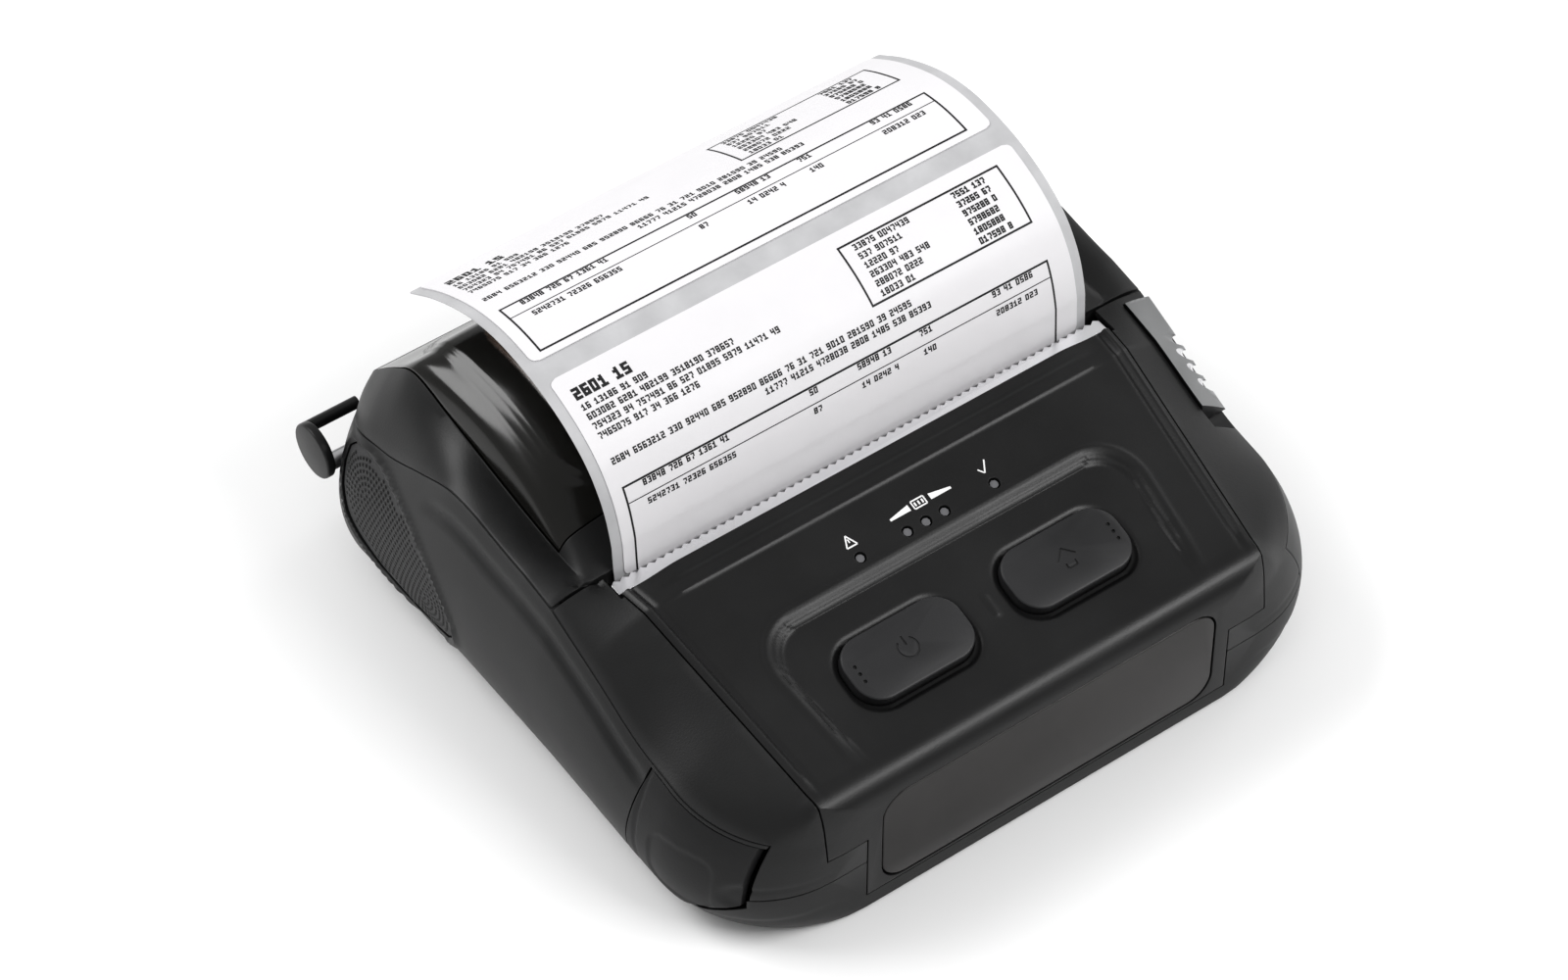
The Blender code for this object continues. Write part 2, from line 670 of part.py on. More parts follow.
def section(y, inset=0.0):
    """The body's outline across the width, at this place and this far inside its skin."""
    if y < SEAM_Y:
        rail = crown = front_height(y, inset)
        sill = min(sill_height(y) - inset, rail)
    else:
        beyond = min(y + inset, REAR_Y) if y > ROLL_Y else y - inset
        rail = min(rail_height(y), rail_height(beyond)) - inset
        crown = min(crown_height(y), crown_height(beyond)) - inset
        sill = min(min(sill_height(y), sill_height(beyond)) - inset, rail)
    floor = BASE_CLEAR + inset
    drawn = corner_inset(y, inset) + inset
    half = [(0.0, floor)]
    for share, bulge in SIDE_SHARES:
        half.append((SILL_HALF + SIDE_BULGE * bulge - drawn, floor + share * (sill - floor)))
    inner = cover_half(y) if y < SEAM_Y else RAIL_INNER_HALF
    inner = min(inner, SILL_HALF - RAIL_LEAST - corner_inset(y, inset)) - inset
    half.append((inner, rail))
    for share, rise in SHOULDER_SHARES:
        half.append((inner * (1 - share), rail + rise * (crown - rail)))
    half.append((0.0, crown))
    mirrored = [(-x, z) for x, z in reversed(half[1:-1])]
    return [(x, y, z) for x, z in half + mirrored]


def stations(inset=0.0):
    """Places of the sections: close together round the nose and corners, wider apart elsewhere."""
    steps = 4
    places = []
    for i in range(steps + 1):
        turn = 1 - math.cos(math.pi / 2 * i / steps)
        places.append(FRONT_Y + inset + (NOSE_RADIUS - inset) * turn)
        places.append(FRONT_Y + inset + (FRONT_CORNER - inset) * turn)
        places.append(REAR_Y - inset - (REAR_CORNER - inset) * turn)
    places += [(FRONT_Y + FRONT_CORNER + CREASE_Y) / 2, CREASE_Y, SEAM_Y - STATION_STEP / 2, SEAM_Y]
    places += [lid_place(share) for share, _ in CROWN_LID_SHARES[1:]]
    ends = (FRONT_Y + inset, REAR_Y - inset)
    chosen = [ends[0]]
    for place in sorted(places):
        if ends[0] < place < ends[1] - STATION_STEP and place - chosen[-1] >= STATION_STEP / 2:
            chosen.append(place)
    return chosen + [ends[1]]


def body_solid(name, inset=0.0, key="case_plastic"):
    """The whole body as one solid, this far inside its skin, with the same split faces left and right."""
    bm = bmesh.new()
    rows = [[bm.verts.new(point) for point in section(y, inset)] for y in stations(inset)]
    count = len(rows[0])
    for row, following in zip(rows, rows[1:]):
        for i in range(count):
            j = (i + 1) % count
            if i < count // 2:
                bm.faces.new((row[i], row[j], following[j]))
                bm.faces.new((row[i], following[j], following[i]))
            else:
                bm.faces.new((row[i], row[j], following[i]))
                bm.faces.new((row[j], following[j], following[i]))
    bm.faces.new(rows[0])
    bm.faces.new(reversed(rows[-1]))
    return mesh_object(name, bm, key)


def shell(name, outer, inner, key):
    """The body between two depths under its skin."""
    obj = body_solid(name, outer, key)
    return cut(obj, body_solid(f"{name}_hollow", inner))


WIDE = SILL_HALF + SIDE_BULGE + OVERRUN
HIGH = CREST_HEIGHT + OVERRUN
LOW = -OVERRUN


def upper_outline(shift, back_drop=0.0):
    """Outline in Y and Z of all that lies over the sill line, moved up by the shift."""
    toe_y = RAIL_TOE_Y - shift
    places = [toe_y] + [y for y in stations() if y > toe_y + STATION_STEP]
    line = [(y, sill_height(y) + shift - (back_drop if y > HINGE_Y else 0.0)) for y in places]
    front = FRONT_Y - OVERRUN
    back = REAR_Y + OVERRUN
    start = [(front, HIGH), (front, RAIL_TOE_HEIGHT + shift), (toe_y, RAIL_TOE_HEIGHT + shift)]
    return start + line + [(back, line[-1][1]), (back, HIGH)]


def inner_room(name, spare):
    """The room between the tub's sides, under the seam of the lid, smaller all round by the spare."""
    half = SILL_HALF - WALL - spare
    rear = REAR_Y - REAR_CORNER - spare
    return box(name, (-half, COVER_REAR_Y - WELD, ROOM_LOW + spare), (half, rear, HIGH + WELD))


def cover_plan(spare):
    """Plan of the front cover, grown by the spare."""
    front = FRONT_Y - OVERRUN
    rear = COVER_REAR_Y + spare
    return [
        (-cover_half(front) - spare, front),
        (cover_half(front) + spare, front),
        (cover_half(rear) + spare, rear),
        (-cover_half(rear) - spare, rear),
    ]


def cover_region(name, spare):
    """All the space that the front cover's skin takes, grown by the spare."""
    region = prism(name, cover_plan(spare), "Z", COVER_CORNER_HEIGHT - spare, HIGH)
    skirt_rear = FRONT_Y + NOSE_RADIUS
    skirt = box(
        f"{name}_skirt",
        (-COVER_SKIRT_HALF - spare, FRONT_Y - OVERRUN - WELD, COVER_SKIRT_HEIGHT - spare),
        (COVER_SKIRT_HALF + spare, skirt_rear, COVER_CORNER_HEIGHT + WELD),
    )
    return join(region, skirt)


def slot_region(name):
    """The space over the tear bar and the slot, between the rails."""
    return box(
        name,
        (-COVER_REAR_HALF - GAP, COVER_REAR_Y - WELD, BRACKET_LOW),
        (COVER_REAR_HALF + GAP, SEAM_Y + GAP, HIGH),
    )


def panel_frame(x, y):
    """The frame that lies on the sloping panel, with its third axis straight out of it."""
    tilt = math.atan2(panel_height(SEAM_Y) - panel_height(FRONT_Y), SEAM_Y - FRONT_Y)
    return Matrix.Translation((x, y, panel_height(y))) @ Matrix.Rotation(tilt, 4, "X")


def panel_prism(name, x, y, outline, low, high, key="case_plastic"):
    """The outline drawn out square to the sloping panel, with its origin on the panel."""
    obj = prism(name, outline, "Z", low, high, key)
    obj.matrix_world = panel_frame(x, y)
    return obj


def sides():
    return (("left", -1), ("right", 1))


def x_span(side, inner, outer):
    """The two ends along X of what lies between these half widths, on this side."""
    return (inner, outer) if side > 0 else (-outer, -inner)


def grip_outline(spare):
    """The teardrop of a grip in Y and Z: a round end high at the rear, a slimmer one low in front."""
    outline = []
    for i in range(ROUND):
        angle = math.tau * i / ROUND
        slimming = 1 + math.cos(angle) / COARSE
        along = (GRIP_LONG + spare) * math.cos(angle)
        across = (GRIP_WIDE + spare) * slimming * math.sin(angle)
        outline.append((
            GRIP_Y + along * math.cos(GRIP_TILT) - across * math.sin(GRIP_TILT),
            GRIP_Z + along * math.sin(GRIP_TILT) + across * math.cos(GRIP_TILT),
        ))
    return outline


def flap_outline(spare, front_spare):
    """The flap in Y and Z, grown by the spares: under the sill line, with a raised front corner."""
    top_rear = FLAP_REAR_Y - FLAP_SLANT + spare
    front = FLAP_FRONT_Y - front_spare
    steps = 5
    top = []
    for i in range(steps + 1):
        y = top_rear + (front - top_rear) * i / steps
        top.append((y, sill_height(y) - WALL / 2 + spare))
    return top + [
        (front, FLAP_FRONT_LOW - spare),
        (FLAP_STRAIGHT_Y - spare, FLAP_LOW - spare),
        (FLAP_REAR_Y + spare, FLAP_LOW - spare),
    ]


def make_lower_case():
    """The tub: floor, sides and rear, with its posts, bosses and openings."""
    case = shell("lower_case", 0.0, WALL, "case_plastic")
    floor_top = BASE_CLEAR + WALL
    cut(case, prism("over_sill", upper_outline(-GAP, CASE_REAR_DROP), "X", -WIDE, WIDE))
    cut(case, cover_region("cover_room", GAP), slot_region("slot_room"), inner_room("lid_room", 0.0))
    for name, side in sides():
        for inner in (HINGE_ARM_INNER - GAP - HINGE_BOSS_LENGTH, HINGE_ARM_OUTER + GAP):
            low, high = x_span(side, inner, inner + HINGE_BOSS_LENGTH)
            outline = [
                (REAR_Y - WELD, HINGE_Z + HINGE_BOSS_RADIUS),
                (HINGE_Y - HINGE_BOSS_RADIUS, HINGE_Z + HINGE_BOSS_RADIUS),
                (HINGE_Y - HINGE_BOSS_RADIUS, HINGE_Z - HINGE_BOSS_RADIUS),
                (REAR_Y - WELD, HINGE_Z - HINGE_BOSS_RADIUS * 2),
            ]
            piece = prism(
                f"hinge_boss_{name}_{'in' if inner < HINGE_ARM_INNER else 'out'}", outline, "X", low, high
            )
            join(case, piece)
        low, high = x_span(side, FRAME_INNER, STRAP_BOSS_OUTER)
        piece = rod(
            f"strap_boss_{name}", "X", (STRAP_SPIGOT_Y, STRAP_SPIGOT_Z), STRAP_BOSS_RADIUS, low, high
        )
        join(case, piece)
    for label, x, y in posts():
        piece = rod(
            f"post_{label}", "Z", (x, y), POST_RADIUS, floor_top - WELD, MAIN_BOARD_Z - GAP, count=COARSE
        )
        join(case, piece)
    room = flap_outline(GAP, FLAP_FRONT_GAP)
    cut(case, prism("flap_room", room, "X", -WIDE, -PORT_WALL_X + PORT_WALL_THICK + OVERRUN))
    low, high = x_span(-1, PORT_WALL_X - PORT_WALL_THICK, PORT_WALL_X)
    front = USB_Y - USB_WIDE / 2 - WELD
    join(case, box("port_wall", (low, front, floor_top - WELD), (high, FLAP_REAR_Y, PORT_WALL_TOP)))
    roof_low = CATCH_LOW + CATCH_THICK + GAP
    roof_half = CATCH_WIDE / 2 + WALL
    roof_rear = BATTERY_REAR_Y + CATCH_LENGTH + CATCH_TRAVEL
    near = (CATCH_CENTRE_X - roof_half, BATTERY_REAR_Y + GAP, floor_top - WELD)
    far = (CATCH_CENTRE_X + roof_half, roof_rear, roof_low + CATCH_ROOF)
    join(case, box("catch_roof", near, far))
    cut_case_openings(case)
    return case


def cut_case_openings(case):
    """Every hole of the tub: hinge, strap, sockets, battery, catch, feet and screws."""
    floor_top = BASE_CLEAR + WALL
    for name, side in sides():
        low, high = x_span(side, HINGE_ARM_INNER - GAP, HINGE_ARM_OUTER + GAP)
        cut(case, box(
            f"hinge_notch_{name}",
            (low, HINGE_Y - HINGE_ARM_RADIUS - WELD, HINGE_Z - HINGE_NOTCH_DROP),
            (high, REAR_Y + OVERRUN, REAR_EDGE_HEIGHT + WELD),
        ))
        low, high = x_span(side, HINGE_ARM_INNER - OVERRUN * 2, HINGE_ARM_OUTER + OVERRUN * 2)
        cutter = rod(
            f"hinge_bore_{name}", "X", (HINGE_Y, HINGE_Z), HINGE_PIN_RADIUS + GAP, low, high, count=COARSE
        )
        cut(case, cutter)
        rod_y, rod_z = strap_rod_place()
        low, high = x_span(side, STRAP_ROD_INNER - GAP, WIDE)
        cutter = rod(
            f"strap_rod_room_{name}", "X", (rod_y, rod_z), STRAP_ROD_RADIUS + GAP, low, high, count=COARSE
        )
        cut(case, cutter)
        spigot = (STRAP_SPIGOT_Y, STRAP_SPIGOT_Z)
        cut(case, rod(f"spigot_bore_{name}", "X", spigot, STRAP_SPIGOT_RADIUS + GAP, low, high, count=COARSE))
        low, high = x_span(side, SILL_HALF / 2, WIDE)
        pocket = prism(f"grip_pocket_{name}", grip_outline(GAP), "X", low, high)
        cut(pocket, body_solid(f"grip_floor_{name}", GRIP_SUNK + GRIP_THICK + GAP))
        cut(case, pocket)
    cut_battery_bay(case)
    for label, x, y in feet():
        top = FOOT_THICK + GAP
        cut(case, rod(f"foot_seat_{label}", "Z", (x, y), FOOT_RADIUS + GAP, LOW, top, count=ROUND))
    for label, x, y in posts():
        head_top = BASE_CLEAR + SCREW_SUNK + SCREW_HEAD_THICK + GAP
        cutter = rod(
            f"counterbore_{label}", "Z", (x, y), SCREW_HEAD_RADIUS + GAP, LOW, head_top, count=COARSE
        )
        cut(case, cutter)
        cutter = rod(
            f"screw_bore_{label}",
            "Z",
            (x, y),
            SCREW_RADIUS + GAP,
            floor_top,
            MAIN_BOARD_Z + WELD,
            count=COARSE,
        )
        cut(case, cutter)
    for label, y, wide, low_z in (("jack", JACK_Y, JACK_WIDE, JACK_LOW), ("usb", USB_Y, USB_WIDE, USB_LOW)):
        cut(case, box(
            f"{label}_room",
            (-PORT_WALL_X - WELD, y - wide / 2 - GAP, low_z - GAP),
            (-PORT_WALL_X + PORT_WALL_THICK + WELD, y + wide / 2 + GAP, MAIN_BOARD_Z),
        ))


def cut_battery_bay(case):
    """The battery's way in through the floor, and the slot of its catch."""
    centre = ((BATTERY_LEFT_X + BATTERY_RIGHT_X) / 2, (BATTERY_FRONT_Y + BATTERY_REAR_Y) / 2)
    long = BATTERY_RIGHT_X - BATTERY_LEFT_X + GAP * 2
    wide = BATTERY_REAR_Y - BATTERY_FRONT_Y + GAP * 2
    cut(case, prism("battery_room", rounded(centre, long, wide, BATTERY_CORNER), "Z", LOW, BATTERY_TOP))
    cut(case, box(
        "catch_slot",
        (CATCH_CENTRE_X - CATCH_WIDE / 2 - GAP, BATTERY_REAR_Y - BATTERY_FLANGE, LOW),
        (CATCH_CENTRE_X + CATCH_WIDE / 2 + GAP, BATTERY_REAR_Y + CATCH_LENGTH + CATCH_TRAVEL - WALL,
         CATCH_LOW + CATCH_THICK + GAP),
    ))


def posts():
    """Label and place of each screw post."""
    return (
        ("front_left", POST_LEFT_X, POST_FRONT_Y),
        ("rear_left", POST_LEFT_X, POST_REAR_Y),
        ("front_right", POST_RIGHT_X, POST_FRONT_Y),
        ("rear_right", POST_RIGHT_X, POST_REAR_Y),
    )


def feet():
    """Label and place of each foot."""
    return (
        ("front_left", -FOOT_FRONT_X, FOOT_FRONT_Y),
        ("front_right", FOOT_FRONT_X, FOOT_FRONT_Y),
        ("rear_left", -FOOT_REAR_X, FOOT_REAR_Y),
        ("rear_right", FOOT_REAR_X, FOOT_REAR_Y),
    )


def strap_rod_place():
    reach = STRAP_CHEEK_RADIUS - STRAP_ROD_RADIUS
    return (STRAP_Y + reach * math.cos(STRAP_ROD_BEARING), STRAP_Z + reach * math.sin(STRAP_ROD_BEARING))


def make_feet_and_screws():
    for label, x, y in feet():
        rod(f"foot_{label}", "Z", (x, y), FOOT_RADIUS, 0.0, FOOT_THICK, "black_rubber")
    for label, x, y in posts():
        low = BASE_CLEAR + SCREW_SUNK
        screw = rod(
            f"case_screw_{label}", "Z", (x, y), SCREW_HEAD_RADIUS, low, low + SCREW_HEAD_THICK, count=COARSE
        )
        piece = rod(
            f"shank_{label}", "Z", (x, y), SCREW_RADIUS, low + WELD, MAIN_BOARD_Z - WALL, count=SMALL
        )
        join(screw, piece)


def make_front_cover():
    """The sloping top panel with its rolled front edge, down to the base in the middle."""
    cover = shell("front_cover", 0.0, WALL, "cover_plastic")
    keep(cover, cover_region("cover_space", 0.0))
    face = rounded(
        (0.0, (INSET_LOW + INSET_TOP) / 2),
        (INSET_HALF + GAP) * 2,
        INSET_TOP - INSET_LOW + GAP * 2,
        INSET_CORNER,
    )
    cut(cover, prism("inset_pocket", face, "Y", FRONT_Y - OVERRUN, FRONT_Y + INSET_THICK + GAP))
    for name, side in sides():
        hole = rounded((0.0, 0.0), BUTTON_LONG + GAP * 2, BUTTON_WIDE + GAP * 2, BUTTON_CORNER + GAP)
        cutter = panel_prism(
            f"button_hole_{name}", side * BUTTON_CENTRE_X, BUTTON_CENTRE_Y, hole, -OVERRUN, OVERRUN
        )
        cut(cover, cutter)
    for i, x in enumerate(LAMP_XS):
        hole = circle((0.0, 0.0), LAMP_RADIUS + GAP, SMALL)
        cut(cover, panel_prism(f"lamp_hole_{i}", x, LAMP_Y, hole, -OVERRUN, OVERRUN))
    for name, side in sides():
        front_y = KEY_BOARD_FRONT_Y + KEY_POST_MARGIN
        rear_y = KEY_BOARD_REAR_Y - KEY_POST_MARGIN
        for end, y in (("front", front_y), ("rear", rear_y)):
            x = side * (KEY_BOARD_HALF - KEY_POST_MARGIN)
            post = circle((0.0, 0.0), KEY_POST_RADIUS, SMALL)
            join(cover, panel_prism(f"key_post_{end}_{name}", x, y, post, key_board_top() + GAP, -WALL / 2))


def make_inset_panel():
    face = rounded((0.0, (INSET_LOW + INSET_TOP) / 2), INSET_HALF * 2, INSET_TOP - INSET_LOW, INSET_CORNER)
    prism("inset_panel", face, "Y", FRONT_Y, FRONT_Y + INSET_THICK, "inset_plastic")


def make_front_rails():
    """The bands beside the cover, from the seam to the base round each front corner."""
    for name, side in sides():
        rail = shell(f"front_rail_{name}", 0.0, WALL, "case_plastic")
        keep(rail, prism(f"rail_{name}_height", upper_outline(0.0), "X", -WIDE, WIDE))
        low, high = x_span(side, COVER_SKIRT_HALF + GAP, WIDE)
        keep(rail, box(f"rail_{name}_side", (low, FRONT_Y - OVERRUN, LOW), (high, SEAM_Y - GAP, HIGH)))
        cut(rail, cover_region(f"rail_{name}_cover_room", GAP), slot_region(f"rail_{name}_slot_room"))
        if side > 0:
            cut(rail, lever_space("lever_room", LEVER_TRAVEL + GAP, GAP, OVERRUN))


def lever_space(name, front_spare, spare, proud):
    """The space of the lever on the right rail, longer at its front by the spare."""
    rear = SEAM_Y - WALL + spare
    return box(
        name,
        (LEVER_INNER - spare, SEAM_Y - WALL - LEVER_LENGTH - front_spare, SILL_FRONT_HEIGHT),
        (WIDE + proud, rear, HIGH),
    )


def make_open_lever():
    """The grey lever: a band of the rail that stands a little proud, with ribs across it."""
    lever = shell("open_lever", -LEVER_PROUD, WALL - GAP, "lever_plastic")
    keep(lever, prism("lever_height", upper_outline(GAP), "X", -WIDE - OVERRUN, WIDE + OVERRUN))
    keep(lever, lever_space("lever_space", 0.0, 0.0, OVERRUN))
    rear = SEAM_Y - WALL
    for i in range(RIB_COUNT):
        y = rear - RIB_START_SHARE * LEVER_LENGTH - i * RIB_PITCH
        z = (rail_height(y) + sill_height(y)) / 2 + LEVER_PROUD
        low, high = LEVER_INNER, SILL_HALF - GAP
        join(lever, rod(f"lever_rib_{i}", "X", (y, z - LEVER_PROUD / 2), RIB_RADIUS, low, high, count=SMALL))
    set_origin(lever, (SILL_HALF - RAIL_LEAST, rear - LEVER_LENGTH / 2, SILL_SEAM_HEIGHT))


def lid_region(name):
    """The space of the whole lid."""
    region = join(prism(name, upper_outline(0.0), "X", -WIDE, WIDE), inner_room(f"{name}_inner", GAP))
    near = (-WIDE - WELD, SEAM_Y + GAP, LOW)
    far = (WIDE + WELD, REAR_Y + OVERRUN * 2, HIGH + WELD)
    return keep(region, box(f"{name}_back", near, far))


def window_space(name, half, front, rear):
    return box(name, (-half, front, SILL_CREST_HEIGHT / 2), (half, rear, HIGH))


def make_lid_frame():
    """The lid's rails, front bar and rear wall, with a ledge for the window, holders and hinge arms."""
    frame = shell("lid_frame", 0.0, WALL + GAP + LEDGE_THICK, "case_plastic")
    keep(frame, lid_region("lid_space"))
    pocket = window_space("window_pocket", WINDOW_HALF + GAP, WINDOW_FRONT_Y - GAP, WINDOW_REAR_Y + GAP)
    cut(pocket, body_solid("window_ledge", WALL + GAP))
    opening = window_space(
        "window_opening",
        WINDOW_HALF - WINDOW_LEDGE,
        WINDOW_FRONT_Y + WINDOW_LEDGE,
        WINDOW_REAR_Y - WINDOW_LEDGE,
    )
    cut(frame, pocket, opening)
    platen = (PLATEN_Y, PLATEN_Z)
    cut(frame, rod("platen_room", "X", platen, PLATEN_RADIUS + RUNNING_GAP, -FRAME_INNER, FRAME_INNER))
    tip = pitch_radius(PLATEN_TEETH) + GEAR_MODULE * GEAR_ADDENDUM_SHARE
    low, high = x_span(-1, GEAR_INNER - GAP, GEAR_INNER + GEAR_WIDE + GAP * 2)
    cut(frame, rod("gear_room", "X", platen, tip + RUNNING_GAP, low, high))
    for name, side in sides():
        low, high = x_span(side, HOLDER_INNER, HOLDER_INNER + HOLDER_THICK)
        join(frame, prism(f"holder_{name}", holder_outline(), "X", low, high))
        low, high = x_span(side, HOLDER_INNER - WELD, HOLDER_INNER + HOLDER_THICK + WELD)
        cutter = rod(
            f"holder_bore_{name}", "X", (PLATEN_Y, PLATEN_Z), BUSH_RADIUS + GAP, low, high, count=COARSE
        )
        cut(frame, cutter)
        low, high = x_span(side, HINGE_ARM_INNER, HINGE_ARM_OUTER)
        join(frame, prism(f"hinge_arm_{name}", hinge_arm_outline(), "X", low, high))
        low, high = x_span(side, HINGE_ARM_INNER - WELD, HINGE_ARM_OUTER + WELD)
        cutter = rod(
            f"arm_bore_{name}", "X", (HINGE_Y, HINGE_Z), HINGE_PIN_RADIUS + GAP, low, high, count=COARSE
        )
        cut(frame, cutter)
    use_manifold(frame)
    set_origin(frame, (0.0, HINGE_Y, HINGE_Z))


def holder_outline():
    """A plate under the front bar that goes round the platen's bush, with a toe for the hook."""
    toe_y = PLATEN_Y - TOE_REACH
    toe_top = PLATEN_Z - TOE_TOP_DROP
    arc = [away((PLATEN_Y, PLATEN_Z), math.radians(a), HOLDER_RADIUS) for a in range(240, 361, 15)]
    bar_low = crown_height(SEAM_Y) - WALL
    return [
        (PLATEN_Y + HOLDER_RADIUS, PLATEN_Z + HOLDER_RADIUS / 2),
        (WINDOW_FRONT_Y - GAP * 2, bar_low + WELD),
        (SEAM_Y + GAP * 2, bar_low + WELD / 2),
        (SEAM_Y + GAP * 2, toe_top),
        (toe_y, toe_top),
        (toe_y, toe_top - TOE_THICK),
    ] + arc


def hinge_arm_outline():
    """A bar from the lid's rear wall down to a round end about the hinge."""
    arc = [away((HINGE_Y, HINGE_Z), math.radians(a), HINGE_ARM_RADIUS) for a in range(180, 361, 20)]
    top = HINGE_Z + HINGE_ARM_RISE
    rear = (HINGE_Y + HINGE_ARM_RADIUS, REAR_EDGE_HEIGHT + WELD)
    return arc + [rear, (HINGE_Y, top), (HINGE_Y - HINGE_ARM_RADIUS, top)]


def make_lid_window():
    window = shell("lid_window", 0.0, WALL, "smoked_window")
    keep(window, window_space("window_space", WINDOW_HALF, WINDOW_FRONT_Y, WINDOW_REAR_Y))
    set_origin(window, (0.0, HINGE_Y, HINGE_Z))


def make_hinge_pins():
    for name, side in sides():
        low, high = x_span(side, HINGE_ARM_INNER - HINGE_BOSS_LENGTH, HINGE_ARM_OUTER + HINGE_BOSS_LENGTH)
        rod(f"hinge_pin_{name}", "X", (HINGE_Y, HINGE_Z), HINGE_PIN_RADIUS, low, high, count=COARSE)


def make_strap_bars():
    """A round cheek by each rear corner, with the strap's rod and a spigot into the tub."""
    for name, side in sides():
        inner = STRAP_CHEEK_OUTER - STRAP_CHEEK_THICK
        low, high = x_span(side, inner, STRAP_CHEEK_OUTER)
        bar = rod(
            f"strap_bar_{name}", "X", (STRAP_Y, STRAP_Z), STRAP_CHEEK_RADIUS, low, high, "cover_plastic"
        )
        low, high = x_span(side, STRAP_ROD_INNER, inner + WELD)
        join(bar, rod(f"strap_rod_{name}", "X", strap_rod_place(), STRAP_ROD_RADIUS, low, high, count=SMALL))
        spigot = (STRAP_SPIGOT_Y, STRAP_SPIGOT_Z)
        join(bar, rod(f"strap_spigot_{name}", "X", spigot, STRAP_SPIGOT_RADIUS, low, high, count=COARSE))


def make_grips():
    for name, side in sides():
        grip = shell(f"side_grip_{name}", GRIP_SUNK, GRIP_SUNK + GRIP_THICK, "black_rubber")
        low, high = x_span(side, SILL_HALF / 2, WIDE)
        keep(grip, prism(f"grip_space_{name}", grip_outline(0.0), "X", low, high))


def make_flap():
    flap = shell("interface_flap", 0.0, FLAP_THICK, "black_rubber")
    keep(flap, prism("flap_space", flap_outline(0.0, 0.0), "X", -WIDE, -SILL_HALF / 2))
    set_origin(flap, (-SILL_HALF - SIDE_BULGE, FLAP_REAR_Y, (FLAP_LOW + SILL_FRONT_HEIGHT) / 2))


def make_tear_bar():
    """The serrated strip in front of the slot: teeth along its rear edge."""
    count = round(TEAR_BAR_HALF * 2 / TOOTH_PITCH)
    pitch = TEAR_BAR_HALF * 2 / count
    front = TEAR_BAR_REAR_Y - TEAR_BAR_WIDE
    outline = [(-TEAR_BAR_HALF, front), (TEAR_BAR_HALF, front), (TEAR_BAR_HALF, TEAR_BAR_REAR_Y - TOOTH_DEEP)]
    for i in range(count):
        right = TEAR_BAR_HALF - i * pitch
        outline.append((right - pitch / 2, TEAR_BAR_REAR_Y))
        outline.append((right - pitch, TEAR_BAR_REAR_Y - TOOTH_DEEP))
    prism("tear_bar", outline, "Z", TEAR_BAR_LOW, TEAR_BAR_LOW + TEAR_BAR_THICK, "steel")


def make_platen():
    """The driven roller on the lid: shaft, rubber, bushes and gear."""
    centre = (PLATEN_Y, PLATEN_Z)
    bush_outer = BUSH_INNER + BUSH_LENGTH
    gear_outer = GEAR_INNER + GEAR_WIDE
    shaft = rod(
        "platen_shaft", "X", centre, PLATEN_SHAFT_RADIUS, -gear_outer - GAP, bush_outer + GAP, count=COARSE
    )
    set_origin(shaft, (0.0, PLATEN_Y, PLATEN_Z))
    rubber = tube(
        "platen_rubber",
        "X",
        centre,
        PLATEN_RADIUS,
        PLATEN_SHAFT_RADIUS + GAP,
        -PLATEN_HALF,
        PLATEN_HALF,
        "black_rubber",
    )
    set_origin(rubber, (0.0, PLATEN_Y, PLATEN_Z))
    for name, side in sides():
        low, high = x_span(side, BUSH_INNER, bush_outer)
        tube(f"platen_bush_{name}", "X", centre, BUSH_RADIUS, PLATEN_SHAFT_RADIUS + GAP, low, high, "brass")
    gear = gear_wheel("platen_gear", centre, PLATEN_TEETH, PLATEN_SHAFT_RADIUS + GAP, IDLER_BEARING)
    set_origin(gear, (0.0, PLATEN_Y, PLATEN_Z))


def pitch_radius(teeth):
    return GEAR_MODULE * teeth / 2


def gear_wheel(name, centre, teeth, bore, tooth_bearing):
    """A spur wheel on the left side, with the middle of one tooth at this bearing from its centre."""
    pitch = math.tau / teeth
    tip = pitch_radius(teeth) + GEAR_MODULE * GEAR_ADDENDUM_SHARE
    root = pitch_radius(teeth) - GEAR_MODULE * GEAR_DEDENDUM_SHARE
    outline = []
    for i in range(teeth):
        middle = tooth_bearing + i * pitch
        for radius, share in (
            (root, -GEAR_ROOT_SHARE), (tip, -GEAR_TIP_SHARE), (tip, GEAR_TIP_SHARE), (root, GEAR_ROOT_SHARE)
        ):
            angle = middle + share * pitch
            outline.append((centre[0] + radius * math.cos(angle), centre[1] + radius * math.sin(angle)))
    low, high = x_span(-1, GEAR_INNER, GEAR_INNER + GEAR_WIDE)
    wheel = prism(name, outline, "X", low, high, "nylon")
    return cut(wheel, rod(f"{name}_bore", "X", centre, bore, low - WELD, high + WELD, count=COARSE))


def away(place, bearing, distance):
    return (place[0] + distance * math.cos(bearing), place[1] + distance * math.sin(bearing))


def idler_place():
    return away((PLATEN_Y, PLATEN_Z), IDLER_BEARING, pitch_radius(PLATEN_TEETH) + pitch_radius(IDLER_TEETH))


def motor_place():
    return away(idler_place(), MOTOR_BEARING, pitch_radius(IDLER_TEETH) + pitch_radius(PINION_TEETH))


